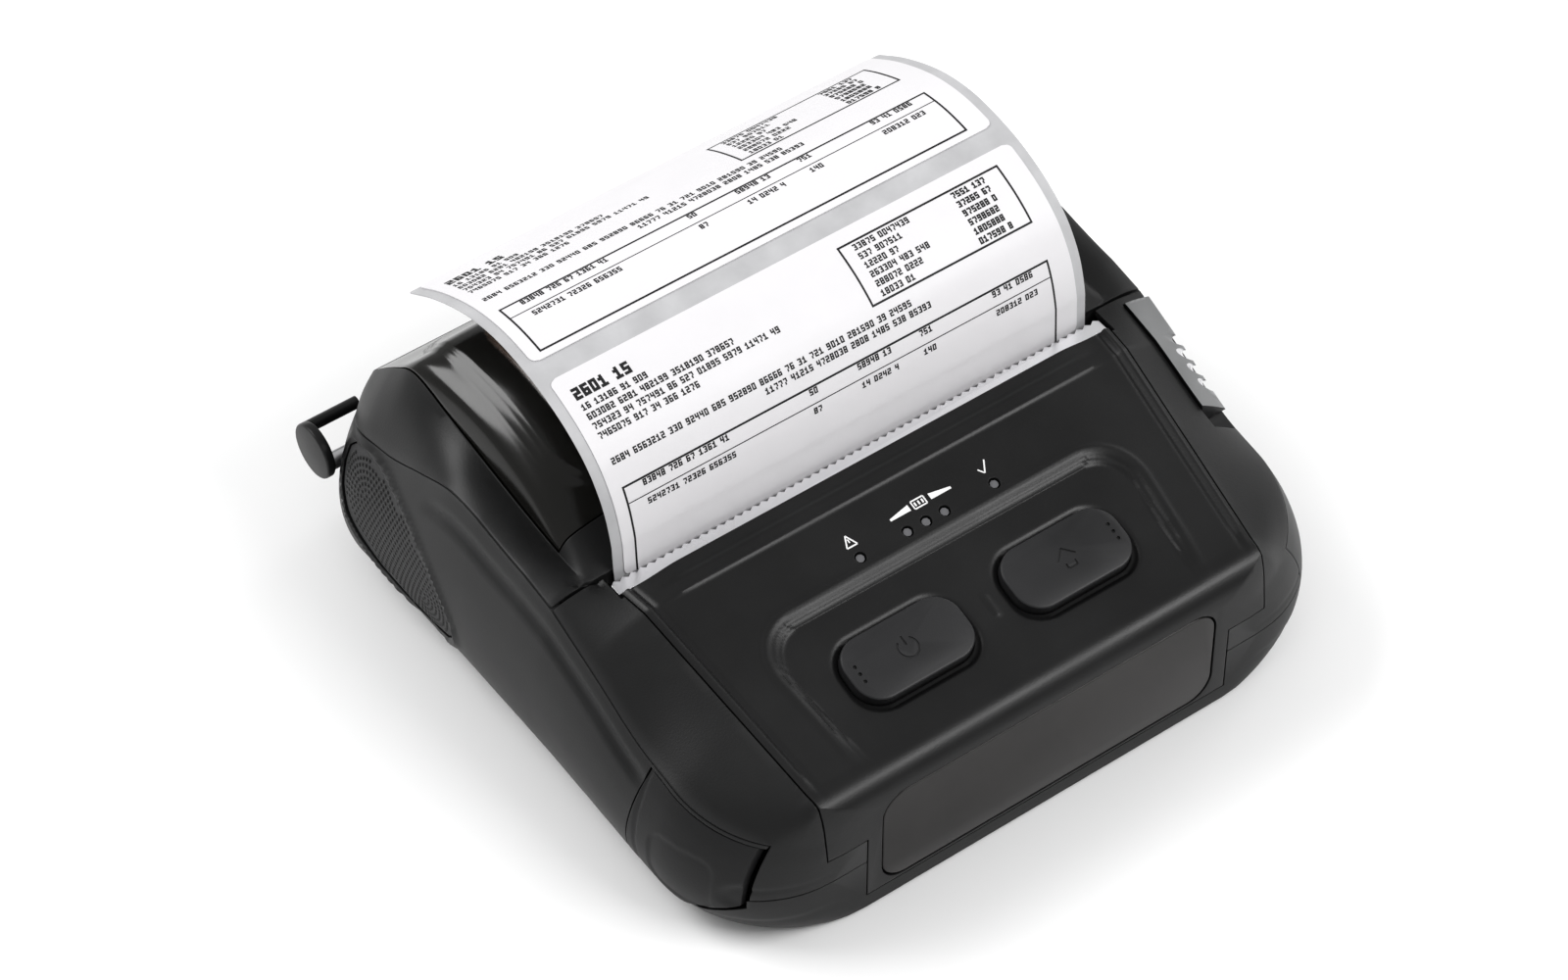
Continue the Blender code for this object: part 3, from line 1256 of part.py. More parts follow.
def make_drive():
    """Motor, pinion, idler and its pin, on the left side frame."""
    idler = idler_place()
    half_tooth = math.pi / IDLER_TEETH
    wheel = gear_wheel(
        "idler_gear", idler, IDLER_TEETH, IDLER_PIN_RADIUS + GAP, IDLER_BEARING + math.pi + half_tooth
    )
    set_origin(wheel, (0.0, *idler))
    outer = GEAR_INNER + GEAR_WIDE
    pin = rod(
        "idler_pin",
        "X",
        idler,
        IDLER_PIN_RADIUS,
        -outer - GAP,
        -FRAME_INNER - FRAME_THICK - GAP,
        count=COARSE,
    )
    low, high = x_span(-1, FRAME_INNER + FRAME_THICK + GAP, GEAR_INNER - GAP)
    join(pin, rod("idler_collar", "X", idler, IDLER_PIN_RADIUS * 2, low, high, count=COARSE))
    place = motor_place()
    face = FRAME_INNER - GAP
    motor = rod("motor", "X", place, MOTOR_RADIUS, -face, -face + MOTOR_LENGTH, "aluminium")
    join(motor, rod("motor_shaft", "X", place, MOTOR_SHAFT_RADIUS, -outer, -face + WELD, count=SMALL))
    turned = (MOTOR_BEARING - (IDLER_BEARING + math.pi + half_tooth)) * IDLER_TEETH / PINION_TEETH
    pinion = gear_wheel(
        "motor_pinion", place, PINION_TEETH, MOTOR_SHAFT_RADIUS + GAP,
        MOTOR_BEARING + math.pi + turned + math.pi / PINION_TEETH,
    )
    set_origin(pinion, (0.0, *place))


def make_side_frames():
    """The two steel plates of the print mechanism, open at the top for the platen's bushes."""
    floor = BASE_CLEAR + WALL + GAP
    for name, side in sides():
        low, high = x_span(side, FRAME_INNER, FRAME_INNER + FRAME_THICK)
        outline = [
            (FRAME_FRONT_Y, floor),
            (FRAME_REAR_Y, floor),
            (FRAME_REAR_Y + BUSH_RADIUS, PLATEN_Z - BUSH_RADIUS),
            (FRAME_REAR_Y + BUSH_RADIUS, FRAME_TOP),
            (BRACKET_FRONT_Y, FRAME_TOP),
            (FRAME_FRONT_Y, LATCH_Z + BUSH_RADIUS),
        ]
        plate = prism(f"side_frame_{name}", outline, "X", low, high, "steel")
        low, high = x_span(side, FRAME_INNER - WELD, FRAME_INNER + FRAME_THICK + WELD)
        cutter = rod(
            f"bush_seat_{name}", "X", (PLATEN_Y, PLATEN_Z), BUSH_RADIUS + GAP, low, high, count=ROUND
        )
        cut(plate, cutter)
        cut(plate, box(
            f"bush_mouth_{name}",
            (low, PLATEN_Y - BUSH_RADIUS - GAP, PLATEN_Z),
            (high, FRAME_REAR_Y + BUSH_RADIUS + WELD, FRAME_TOP + WELD),
        ))
        cutter = rod(
            f"latch_bore_{name}", "X", (LATCH_Y, LATCH_Z), LATCH_ROD_RADIUS + GAP, low, high, count=COARSE
        )
        cut(plate, cutter)
        if side < 0:
            cutter = rod(
                "motor_bore", "X", motor_place(), MOTOR_SHAFT_RADIUS + GAP, low, high, count=SMALL
            )
            cut(plate, cutter)


def head_face_y():
    """Front face of the paper's path is the print head's rear face."""
    return PLATEN_Y - PLATEN_RADIUS - GAP * 2 - PAPER_THICK


def make_print_head():
    """Head, heat sink, bracket and pressure springs, in front of the paper."""
    face = head_face_y()
    box("printhead", (-HEAD_HALF, face - HEAD_THICK, HEAD_LOW), (HEAD_HALF, face, HEAD_TOP), "ceramic")
    sink_rear = face - HEAD_THICK - GAP
    sink_front = sink_rear - SINK_THICK
    box("heat_sink", (-HEAD_HALF, sink_front, SINK_LOW), (HEAD_HALF, sink_rear, HEAD_TOP), "aluminium")
    top = TEAR_BAR_LOW - GAP
    sheet = BRACKET_SHEET
    outline = [
        (BRACKET_FRONT_Y, BRACKET_LOW),
        (BRACKET_FRONT_Y + sheet, BRACKET_LOW),
        (BRACKET_FRONT_Y + sheet, top - sheet),
        (TEAR_BAR_REAR_Y - TOOTH_DEEP, top - sheet),
        (TEAR_BAR_REAR_Y - TOOTH_DEEP, top),
        (BRACKET_FRONT_Y, top),
    ]
    prism("head_bracket", outline, "X", -FRAME_INNER + GAP, FRAME_INNER - GAP, "steel")
    low = BRACKET_FRONT_Y + sheet + GAP
    for name, side in sides():
        start = Vector((side * SPRING_X, low, SPRING_Z))
        length = sink_front - GAP - low
        axis = Vector((0, 1, 0))
        coil(f"head_spring_{name}", start, axis, length, SPRING_RADIUS, SPRING_WIRE, SPRING_TURNS)


def coil(name, start, direction, length, radius, wire, turns):
    """A helical spring as one unbroken wire, its ends drawn in by the wire's radius."""
    points_a_turn = 8
    across = direction.orthogonal().normalized()
    other = direction.cross(across)
    rings = []
    total = turns * points_a_turn
    travel = length - wire * 2
    for i in range(total + 1):
        angle = math.tau * i / points_a_turn
        outward = across * math.cos(angle) + other * math.sin(angle)
        centre = start + direction * (wire + travel * i / total) + outward * radius
        rings.append([
            tuple(centre + (outward * math.cos(a) + direction * math.sin(a)) * wire)
            for a in (math.tau * k / WIRE_SIDES for k in range(WIRE_SIDES))
        ])
    return loft(name, rings, "steel")


def make_latch():
    """The rod with a hook at each end, and the spring round it."""
    inner, thick = HOLDER_INNER, HOLDER_THICK
    toe_y = PLATEN_Y - TOE_REACH
    toe_top = PLATEN_Z - TOE_TOP_DROP
    nose_low = toe_top + GAP
    front = toe_y - GAP
    outline = [
        (LATCH_Y + LATCH_ARM / 2, LATCH_Z - LATCH_ARM / 2),
        (LATCH_Y + LATCH_ARM, LATCH_Z),
        (LATCH_Y + LATCH_ARM / 2, LATCH_Z + LATCH_ARM),
        (front, toe_top - TOE_THICK - GAP * 2),
        (front, nose_low),
        (toe_y + LATCH_OVERLAP, nose_low),
        (toe_y + LATCH_OVERLAP / 2, nose_low + LATCH_NOSE_THICK),
        (front - LATCH_ARM / 2, nose_low + LATCH_NOSE_THICK),
        (front - LATCH_ARM, nose_low),
        (front - LATCH_ARM, toe_top - TOE_THICK * 2),
        (LATCH_Y - LATCH_ARM, LATCH_Z - LATCH_ARM / 2),
    ]
    bar = rod(
        "latch_bar", "X", (LATCH_Y, LATCH_Z), LATCH_ROD_RADIUS, -inner - thick, inner + thick, count=COARSE
    )
    for name, side in sides():
        low, high = x_span(side, inner, inner + thick)
        join(bar, prism(f"hook_{name}", outline, "X", low, high))
    set_origin(bar, (0.0, LATCH_Y, LATCH_Z))
    start = Vector((LATCH_SPRING_X, LATCH_Y, LATCH_Z))
    coil(
        "latch_spring", start, Vector((1, 0, 0)), LATCH_SPRING_LENGTH, LATCH_SPRING_RADIUS, LATCH_SPRING_WIRE,
        LATCH_SPRING_TURNS,
    )


def make_buttons():
    """The two round-cornered buttons, held under the cover by a flange."""
    top = BUTTON_PROUD
    flange_top = -WALL - GAP
    flange_low = flange_top - BUTTON_FLANGE_THICK
    face = rounded((0.0, 0.0), BUTTON_LONG, BUTTON_WIDE, BUTTON_CORNER)
    wide = rounded(
        (0.0, 0.0),
        BUTTON_LONG + BUTTON_FLANGE * 2,
        BUTTON_WIDE + BUTTON_FLANGE * 2,
        BUTTON_CORNER + BUTTON_FLANGE,
    )
    for name, side in (("power_button", -1), ("feed_button", 1)):
        x = side * BUTTON_CENTRE_X
        button = panel_prism(
            name, x, BUTTON_CENTRE_Y, face, flange_low + BUTTON_FLANGE_THICK / 2, top, "cover_plastic"
        )
        join(button, panel_prism(f"{name}_flange", x, BUTTON_CENTRE_Y, wide, flange_low, flange_top))


def mat_top():
    """How far the mat lies from the panel's skin: under the button's flange by its travel."""
    return -WALL - GAP * 2 - BUTTON_FLANGE_THICK - BUTTON_TRAVEL


def key_board_top():
    return mat_top() - MAT_THICK - GAP


def make_light_guide():
    """Five clear pins on one comb, under the cover's lamp holes."""
    middle = (LAMP_XS[0] + LAMP_XS[-1]) / 2
    long = LAMP_XS[-1] - LAMP_XS[0] + COMB_WIDE
    top = -WALL - GAP
    bar = rounded((0.0, 0.0), long, COMB_WIDE, COMB_WIDE / 4, 1)
    guide = panel_prism("light_guide", middle, LAMP_Y, bar, top - COMB_THICK, top, "clear_plastic")
    for i, x in enumerate(LAMP_XS):
        pin = circle((0.0, 0.0), LAMP_RADIUS, SMALL)
        join(guide, panel_prism(f"lamp_pin_{i}", x, LAMP_Y, pin, top - COMB_THICK / 2, -LAMP_SUNK))


def make_boards():
    """The key board under the panel with its mat, and the main board with its sockets."""
    middle_y = (KEY_BOARD_FRONT_Y + KEY_BOARD_REAR_Y) / 2
    wide = KEY_BOARD_REAR_Y - KEY_BOARD_FRONT_Y
    long = (BUTTON_CENTRE_X + BUTTON_LONG / 2 + MAT_MARGIN) * 2
    mat = rounded((0.0, 0.0), long, BUTTON_WIDE + MAT_MARGIN * 2, BUTTON_CORNER)
    panel_prism("button_mat", 0.0, BUTTON_CENTRE_Y, mat, mat_top() - MAT_THICK, mat_top(), "black_rubber")
    board_top = key_board_top()
    plate = rounded((0.0, 0.0), KEY_BOARD_HALF * 2, wide, MAT_MARGIN, 1)
    panel_prism("key_board", 0.0, middle_y, plate, board_top - KEY_BOARD_THICK, board_top, "board_green")
    main = box(
        "main_board",
        (-MAIN_BOARD_HALF, MAIN_BOARD_FRONT_Y, MAIN_BOARD_Z),
        (MAIN_BOARD_HALF, MAIN_BOARD_REAR_Y, MAIN_BOARD_Z + MAIN_BOARD_THICK),
        "board_green",
    )
    for label, x, y in posts():
        cutter = rod(
            f"board_hole_{label}",
            "Z",
            (x, y),
            SCREW_RADIUS + GAP,
            MAIN_BOARD_Z - WELD,
            MAIN_BOARD_Z + WALL,
            count=SMALL,
        )
        cut(main, cutter)
    socket_top = MAIN_BOARD_Z - GAP
    face = -PORT_WALL_X
    jack = box(
        "dc_jack",
        (face, JACK_Y - JACK_WIDE / 2, JACK_LOW),
        (face + JACK_DEEP, JACK_Y + JACK_WIDE / 2, socket_top),
        "case_plastic",
    )
    centre = (JACK_Y, (JACK_LOW + socket_top) / 2)
    cutter = tube(
        "jack_hollow",
        "X",
        centre,
        JACK_BORE,
        JACK_BORE / 3,
        face - WELD,
        face + SOCKET_HOLLOW,
        "steel",
        COARSE,
    )
    cut(jack, cutter)
    usb = box(
        "usb_port",
        (face, USB_Y - USB_WIDE / 2, USB_LOW),
        (face + USB_DEEP, USB_Y + USB_WIDE / 2, socket_top),
        "steel",
    )
    hollow = box(
        "usb_hollow",
        (face - WELD, USB_Y - USB_WIDE / 2 + USB_WALL, USB_LOW + USB_WALL),
        (face + SOCKET_HOLLOW, USB_Y + USB_WIDE / 2 - USB_WALL, socket_top - USB_WALL),
    )
    cut(usb, hollow)


def make_battery():
    """The pack that goes in from below, its contacts, and the sliding catch that holds it."""
    low = BASE_CLEAR + BATTERY_RECESS
    body_rear = BATTERY_REAR_Y - BATTERY_FLANGE
    centre = ((BATTERY_LEFT_X + BATTERY_RIGHT_X) / 2, (BATTERY_FRONT_Y + body_rear) / 2)
    long = BATTERY_RIGHT_X - BATTERY_LEFT_X
    outline = rounded(centre, long, body_rear - BATTERY_FRONT_Y, BATTERY_CORNER, 3)
    pack = prism("battery_pack", outline, "Z", low, BATTERY_TOP - GAP, "case_plastic")
    join(pack, box(
        "battery_flange",
        (CATCH_CENTRE_X - CATCH_WIDE, body_rear - WELD, BATTERY_FLANGE_LOW),
        (CATCH_CENTRE_X + CATCH_WIDE, BATTERY_REAR_Y, BATTERY_FLANGE_LOW + BATTERY_FLANGE_THICK),
    ))
    floor = BASE_CLEAR + WALL + GAP
    middle = (BATTERY_FRONT_Y + BATTERY_REAR_Y) / 2
    box(
        "battery_contacts",
        (BATTERY_LEFT_X - GAP - CONTACT_THICK, middle - CONTACT_WIDE / 2, floor),
        (BATTERY_LEFT_X - GAP, middle + CONTACT_WIDE / 2, floor + CONTACT_TALL),
        "brass",
    )
    nose = BATTERY_REAR_Y - CATCH_NOSE
    box(
        "battery_latch",
        (CATCH_CENTRE_X - CATCH_WIDE / 2, nose, CATCH_LOW),
        (CATCH_CENTRE_X + CATCH_WIDE / 2, nose + CATCH_LENGTH - WALL, CATCH_LOW + CATCH_THICK),
        "cover_plastic",
    )


def make_roll():
    centre = (ROLL_Y, ROLL_Z)
    roll = tube(
        "media_roll", "X", centre, ROLL_RADIUS, CORE_OUTER + GAP, -ROLL_HALF, ROLL_HALF, "paper", FINE
    )
    core = tube("roll_core", "X", centre, CORE_OUTER, CORE_INNER, -ROLL_HALF, ROLL_HALF, "cardboard")
    for obj in (roll, core):
        set_origin(obj, (0.0, *centre))
    inner = ROLL_RADIUS + GAP
    steps = 16
    angles = [CRADLE_START + (CRADLE_END - CRADLE_START) * i / steps for i in range(steps + 1)]
    outline = [away(centre, a, inner) for a in angles]
    outline += [away(centre, a, inner + CRADLE_WALL) for a in reversed(angles)]
    prism("roll_cradle", outline, "X", -CRADLE_HALF, CRADLE_HALF, "case_plastic")


def thick_line(points, thick):
    """A line in Y and Z given a thickness, as a closed outline."""
    left, right = [], []
    for i, (y, z) in enumerate(points):
        before, after = points[max(i - 1, 0)], points[min(i + 1, len(points) - 1)]
        run = Vector((after[0] - before[0], after[1] - before[1])).normalized()
        left.append((y - run[1] * thick / 2, z + run[0] * thick / 2))
        right.append((y + run[1] * thick / 2, z - run[0] * thick / 2))
    return left + right[::-1]


def make_paper_web():
    """The web: off the roll's lower front, round the platen, and straight up in the nip."""
    roll = Vector((ROLL_Y, ROLL_Z))
    platen = Vector((PLATEN_Y, PLATEN_Z))
    on_platen = PLATEN_RADIUS + GAP + PAPER_THICK / 2
    on_roll = ROLL_RADIUS + GAP + PAPER_THICK / 2
    line = roll - platen
    turn = math.atan2(line[1], line[0]) - math.acos((on_platen - on_roll) / line.length)
    points = [away(roll, turn, on_roll)]
    steps = 4
    bearing = turn % math.tau
    for i in range(steps + 1):
        points.append(away(platen, bearing + (math.pi - bearing) * i / steps, on_platen))
    points.append((platen[0] - on_platen, STRIP_LOW - GAP))
    prism("paper_web", thick_line(points, PAPER_THICK), "X", -ROLL_HALF, ROLL_HALF, "paper")


def strip_points():
    """The free strip in Y and Z: straight up out of the slot, then back over the lid."""
    y = PLATEN_Y - PLATEN_RADIUS - GAP - PAPER_THICK / 2
    shares = STRIP_LOW_SHARES + STRIP_TOP_SHARES
    steps = 3
    points = []
    for (a0, b0), (a1, b1) in zip(shares, shares[1:]):
        for i in range(steps):
            a = a0 + (a1 - a0) * i / steps
            points.append((y + a * STRIP_REACH, STRIP_LOW + smooth(shares, a) * STRIP_RISE))
    return points + [(y + STRIP_REACH, STRIP_LOW + shares[-1][1] * STRIP_RISE)]


def offset_line(points, distance):
    """The line moved square to itself, to its left."""
    moved = []
    for i, (y, z) in enumerate(points):
        before, after = points[max(i - 1, 0)], points[min(i + 1, len(points) - 1)]
        run = Vector((after[0] - before[0], after[1] - before[1])).normalized()
        moved.append((y - run[1] * distance, z + run[0] * distance))
    return moved


def make_strip():
    """The liner strip with its two labels, on the side that faces the front and up."""
    line = strip_points()
    liner = prism("liner_strip", thick_line(line, PAPER_THICK), "X", -ROLL_HALF, ROLL_HALF, "paper")
    face = offset_line(line, (PAPER_THICK + LABEL_THICK) / 2 + GAP)
    last = len(line) - 1
    stop = round(last * LABEL_GAP_START_SHARE)
    start = round(last * LABEL_GAP_END_SHARE)
    half = ROLL_HALF - LABEL_MARGIN
    parts = [liner]
    for name, points in (("lower_label", face[1 : stop + 1]), ("upper_label", face[start:])):
        parts.append(prism(name, thick_line(points, LABEL_THICK), "X", -half, half, "paper"))
    for obj in parts:
        set_origin(obj, (0.0, HINGE_Y, HINGE_Z))


def clear_scene():
    for obj in list(bpy.data.objects):
        bpy.data.objects.remove(obj, do_unlink=True)


def main():
    clear_scene()
    make_lower_case()
    make_feet_and_screws()
    make_front_cover()
    make_inset_panel()
    make_front_rails()
    make_open_lever()
    make_lid_frame()
    make_lid_window()
    make_hinge_pins()
    make_strap_bars()
    make_grips()
    make_flap()
    make_tear_bar()
    make_platen()
    make_drive()
    make_side_frames()
    make_print_head()
    make_latch()
    make_buttons()
    make_light_guide()
    make_boards()
    make_battery()
    make_roll()
    make_paper_web()
    make_strip()


main()
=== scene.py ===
"""Looks of the portable label printer: finer skins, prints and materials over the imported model."""

import json
import math
import random

import bmesh
import bpy
from mathutils import Matrix, Vector


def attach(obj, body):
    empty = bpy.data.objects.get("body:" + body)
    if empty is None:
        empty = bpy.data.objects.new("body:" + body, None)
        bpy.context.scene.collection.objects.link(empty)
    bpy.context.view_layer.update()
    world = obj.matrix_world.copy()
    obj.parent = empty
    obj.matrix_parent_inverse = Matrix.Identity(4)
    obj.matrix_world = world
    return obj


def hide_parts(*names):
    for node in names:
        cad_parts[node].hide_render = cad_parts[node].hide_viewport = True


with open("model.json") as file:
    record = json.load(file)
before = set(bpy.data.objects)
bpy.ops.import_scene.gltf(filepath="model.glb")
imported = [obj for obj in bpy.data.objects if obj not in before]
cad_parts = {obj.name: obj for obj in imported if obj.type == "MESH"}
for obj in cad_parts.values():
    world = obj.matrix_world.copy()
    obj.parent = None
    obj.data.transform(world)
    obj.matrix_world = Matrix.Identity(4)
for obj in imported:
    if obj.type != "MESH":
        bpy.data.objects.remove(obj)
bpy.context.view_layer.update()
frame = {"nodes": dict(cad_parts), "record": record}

# Clearances and walls
GAP = 0.0003
RUNNING_GAP = 0.0004
WALL = 0.0022
OVERRUN = 0.004
WELD = 0.001

# Half widths, from the media outwards
ROLL_HALF = 0.056
FRAME_SPARE = 0.0012
FRAME_THICK = 0.0012
FRAME_INNER = ROLL_HALF + FRAME_SPARE
TEAR_BAR_MARGIN = 0.002
TEAR_BAR_HALF = ROLL_HALF + TEAR_BAR_MARGIN
RAIL_SPARE = 0.006
RAIL_INNER_HALF = ROLL_HALF + RAIL_SPARE
SIDE_ROOM = 0.014
SILL_HALF = ROLL_HALF + SIDE_ROOM
SIDE_BULGE = 0.005
COVER_REAR_HALF = TEAR_BAR_HALF + GAP
COVER_TAPER = 0.0063
COVER_FRONT_HALF = COVER_REAR_HALF - COVER_TAPER
SKIRT_STEP = 0.009
COVER_SKIRT_HALF = COVER_FRONT_HALF - SKIRT_STEP
INSET_MARGIN = 0.0035
INSET_HALF = COVER_SKIRT_HALF - INSET_MARGIN

# Drive of the platen, from the floor up
BASE_CLEAR = 0.0008
GEAR_MODULE = 0.0008
PLATEN_TEETH = 12
IDLER_TEETH = 25
PINION_TEETH = 10
IDLER_BEARING = math.radians(285.0)
MOTOR_BEARING = math.radians(225.0)
MOTOR_RADIUS = 0.0085
MOTOR_LOW = 0.007805
IDLER_RISE = -math.sin(MOTOR_BEARING) * (IDLER_TEETH + PINION_TEETH) * GEAR_MODULE / 2
PLATEN_RISE = -math.sin(IDLER_BEARING) * (PLATEN_TEETH + IDLER_TEETH) * GEAR_MODULE / 2
PLATEN_Y = -0.0008
PLATEN_Z = MOTOR_LOW + MOTOR_RADIUS + IDLER_RISE + PLATEN_RISE

# Roll in its cradle
ROLL_RADIUS = 0.0245
ROLL_APART = 0.0048
ROLL_Y = PLATEN_Y + ROLL_RADIUS + ROLL_APART
CRADLE_WALL = 0.0014
ROLL_Z = BASE_CLEAR + WALL + GAP + CRADLE_WALL + GAP + ROLL_RADIUS

# Outer body
FRONT_LENGTH = 0.0622
SEAM_APART = 0.005
SEAM_Y = PLATEN_Y - SEAM_APART
FRONT_Y = SEAM_Y - FRONT_LENGTH
REAR_ROOM = 0.023
REAR_Y = ROLL_Y + ROLL_RADIUS + REAR_ROOM
HINGE_SETBACK = 0.004
HINGE_Y = REAR_Y - HINGE_SETBACK
HINGE_Z = 0.020
FRONT_CORNER = 0.024
REAR_CORNER = 0.020
NOSE_RADIUS = 0.006
STATION_STEP = 0.0008
SIDE_SHARES = ((0.0, -0.45), (0.06, 0.05), (0.2, 0.7), (0.4, 1.0), (0.62, 0.9), (0.83, 0.5), (1.0, 0.0))

# Heights along the body, from the front face to the seam by the slot, and from there to the rear
SEAM_RISE = 0.007
SEAM_HEIGHT = PLATEN_Z + SEAM_RISE
CREASE_DROP = 0.0001
CREASE_HEIGHT = SEAM_HEIGHT - CREASE_DROP
CREASE_APART = 0.0118
CREASE_Y = SEAM_Y - CREASE_APART
NOSE_DROP = 0.0127
NOSE_HEIGHT = SEAM_HEIGHT - NOSE_DROP
CREST_ROOM = 0.011
CREST_HEIGHT = ROLL_Z + ROLL_RADIUS + CREST_ROOM
REAR_EDGE_RISE = 0.011
REAR_EDGE_HEIGHT = HINGE_Z + REAR_EDGE_RISE
SILL_FRONT_DROP = 0.0098
SILL_FRONT_HEIGHT = NOSE_HEIGHT - SILL_FRONT_DROP
SILL_SEAM_DROP = 0.0013
SILL_SEAM_HEIGHT = SEAM_HEIGHT - SILL_SEAM_DROP
SILL_CREST_RISE = 0.002
SILL_CREST_HEIGHT = SEAM_HEIGHT + SILL_CREST_RISE
RAIL_CREST_DROP = 0.0088
RAIL_CREST_HEIGHT = CREST_HEIGHT - RAIL_CREST_DROP
CROWN_LID_SHARES = ((0.0, 0.0), (0.12, 0.4), (0.25, 0.78), (0.4, 1.0), (0.56, 0.97), (0.69, 0.79))
RAIL_LID_SHARES = ((0.0, 0.0), (0.18, 0.12), (0.37, 0.4), (0.56, 0.76), (0.7, 0.98))
SILL_LID_SHARES = ((0.0, 0.0), (0.2, 0.8), (0.4, 1.0))
REAR_FALL_SHARES = ((0.78, 0.84), (0.855, 0.62), (0.91, 0.43), (0.96, 0.22), (1.0, 0.0))
SILL_FALL_SHARES = ((0.53, 0.78), (0.66, 0.52), (0.78, 0.38), (0.86, 0.21), (0.93, 0.06), (1.0, 0.0))
SILL_FRONT_SHARES = ((0.0, 0.0), (0.12, 0.12), (0.36, 0.3), (0.56, 0.42), (0.78, 0.72), (1.0, 1.0))

# Rails beside the cover and the window
RAIL_LEAST = 0.005
SHOULDER_SHARES = ((0.016, 0.26), (0.04, 0.46), (0.1, 0.62), (0.2, 0.76), (0.5, 0.93))

# Room inside the tub's sides that the lid's inner edge drops into
ROOM_DROP = 0.0043
ROOM_LOW = SEAM_HEIGHT - ROOM_DROP

# Front cover and its features
SLOT_ROOM = 0.0054
COVER_REAR_Y = SEAM_Y - SLOT_ROOM
COVER_CORNER_DROP = 0.014
COVER_CORNER_HEIGHT = NOSE_HEIGHT - COVER_CORNER_DROP
COVER_SKIRT_HEIGHT = 0.0045
RAIL_TOE_HEIGHT = 0.0145
RAIL_TOE_REACH = 0.0055
RAIL_TOE_Y = FRONT_Y + RAIL_TOE_REACH
INSET_LOW = 0.0052
INSET_DROP = 0.0056
INSET_TOP = NOSE_HEIGHT - INSET_DROP
INSET_CORNER = 0.0055
INSET_THICK = 0.0011
BUTTON_LONG = 0.0268
BUTTON_APART = 0.0054
BUTTON_CENTRE_X = BUTTON_LONG / 2 + BUTTON_APART
BUTTON_PLACE_SHARE = 0.328
BUTTON_CENTRE_Y = FRONT_Y + FRONT_LENGTH * BUTTON_PLACE_SHARE
BUTTON_WIDE = 0.014
BUTTON_CORNER = 0.0055
BUTTON_PROUD = 0.0006
BUTTON_TRAVEL = 0.0008
BUTTON_FLANGE = 0.0012
BUTTON_FLANGE_THICK = 0.0006
LAMP_PLACE_SHARE = 0.64
LAMP_Y = FRONT_Y + FRONT_LENGTH * LAMP_PLACE_SHARE
LAMP_XS = (-0.0152, -0.0041, 0.0003, 0.0047, 0.0166)
LAMP_RADIUS = 0.0009

# Platen and print head
PLATEN_RADIUS = 0.005
PAPER_THICK = 0.00025
BUSH_RADIUS = 0.0035
FRAME_FRONT_REACH = 0.0207
FRAME_FRONT_Y = PLATEN_Y - FRAME_FRONT_REACH
FRAME_REAR_REACH = 0.0044
FRAME_REAR_Y = PLATEN_Y + FRAME_REAR_REACH
BRACKET_LOW_DROP = 0.0095
BRACKET_LOW = PLATEN_Z - BRACKET_LOW_DROP

# Gears: all of one module, with shallow teeth
GEAR_ADDENDUM_SHARE = 0.55
GEAR_SPARE = 0.0038
GEAR_INNER = FRAME_INNER + GEAR_SPARE
GEAR_WIDE = 0.0034

# Roll and paper
STRIP_LOW_RISE = 0.0028
STRIP_LOW = PLATEN_Z + STRIP_LOW_RISE
STRIP_LOW_SHARES = ((0.0, 0.0), (0.01, 0.31), (0.065, 0.6), (0.16, 0.795), (0.3, 0.93), (0.44, 0.99))
STRIP_TOP_SHARES = ((0.57, 1.0), (0.71, 0.945), (0.87, 0.81), (1.0, 0.655))
STRIP_REACH = 0.067
STRIP_RISE = 0.0358
LABEL_THICK = 0.00018
LABEL_MARGIN = 0.0022
LABEL_GAP_START_SHARE = 0.49
LABEL_GAP_END_SHARE = 0.54

# Lid
WINDOW_HALF = RAIL_INNER_HALF - RUNNING_GAP
WINDOW_FRONT_Y = FRAME_REAR_Y
WINDOW_REAR_MARGIN = 0.010
WINDOW_REAR_Y = REAR_Y - WINDOW_REAR_MARGIN
WINDOW_LEDGE = 0.003
LEDGE_THICK = 0.0013
HINGE_ARM_WIDE = 0.010
HINGE_ARM_INNER = ROLL_HALF - HINGE_ARM_WIDE
HINGE_ARM_OUTER = ROLL_HALF
HINGE_ARM_RADIUS = 0.0036
HINGE_ARM_RISE = 0.0155
HINGE_PIN_RADIUS = 0.0015
HINGE_BOSS_LENGTH = 0.004
HINGE_BOSS_RADIUS = 0.0034
HINGE_NOTCH_DROP = 0.0055
CASE_REAR_DROP = 0.001
HOLDER_INNER = FRAME_INNER + FRAME_THICK + RUNNING_GAP
HOLDER_THICK = 0.0015
HOLDER_RADIUS = 0.0052
TOE_REACH = 0.0059
TOE_TOP_DROP = 0.0029
TOE_THICK = 0.0019

# Latch and lever
LEVER_WIDE = 0.0055
LEVER_INNER = SILL_HALF - LEVER_WIDE
LEVER_LENGTH = 0.0245
LEVER_TRAVEL = 0.004
LEVER_PROUD = 0.001
RIB_COUNT = 4
RIB_PITCH = 0.0032
RIB_START_SHARE = 0.4

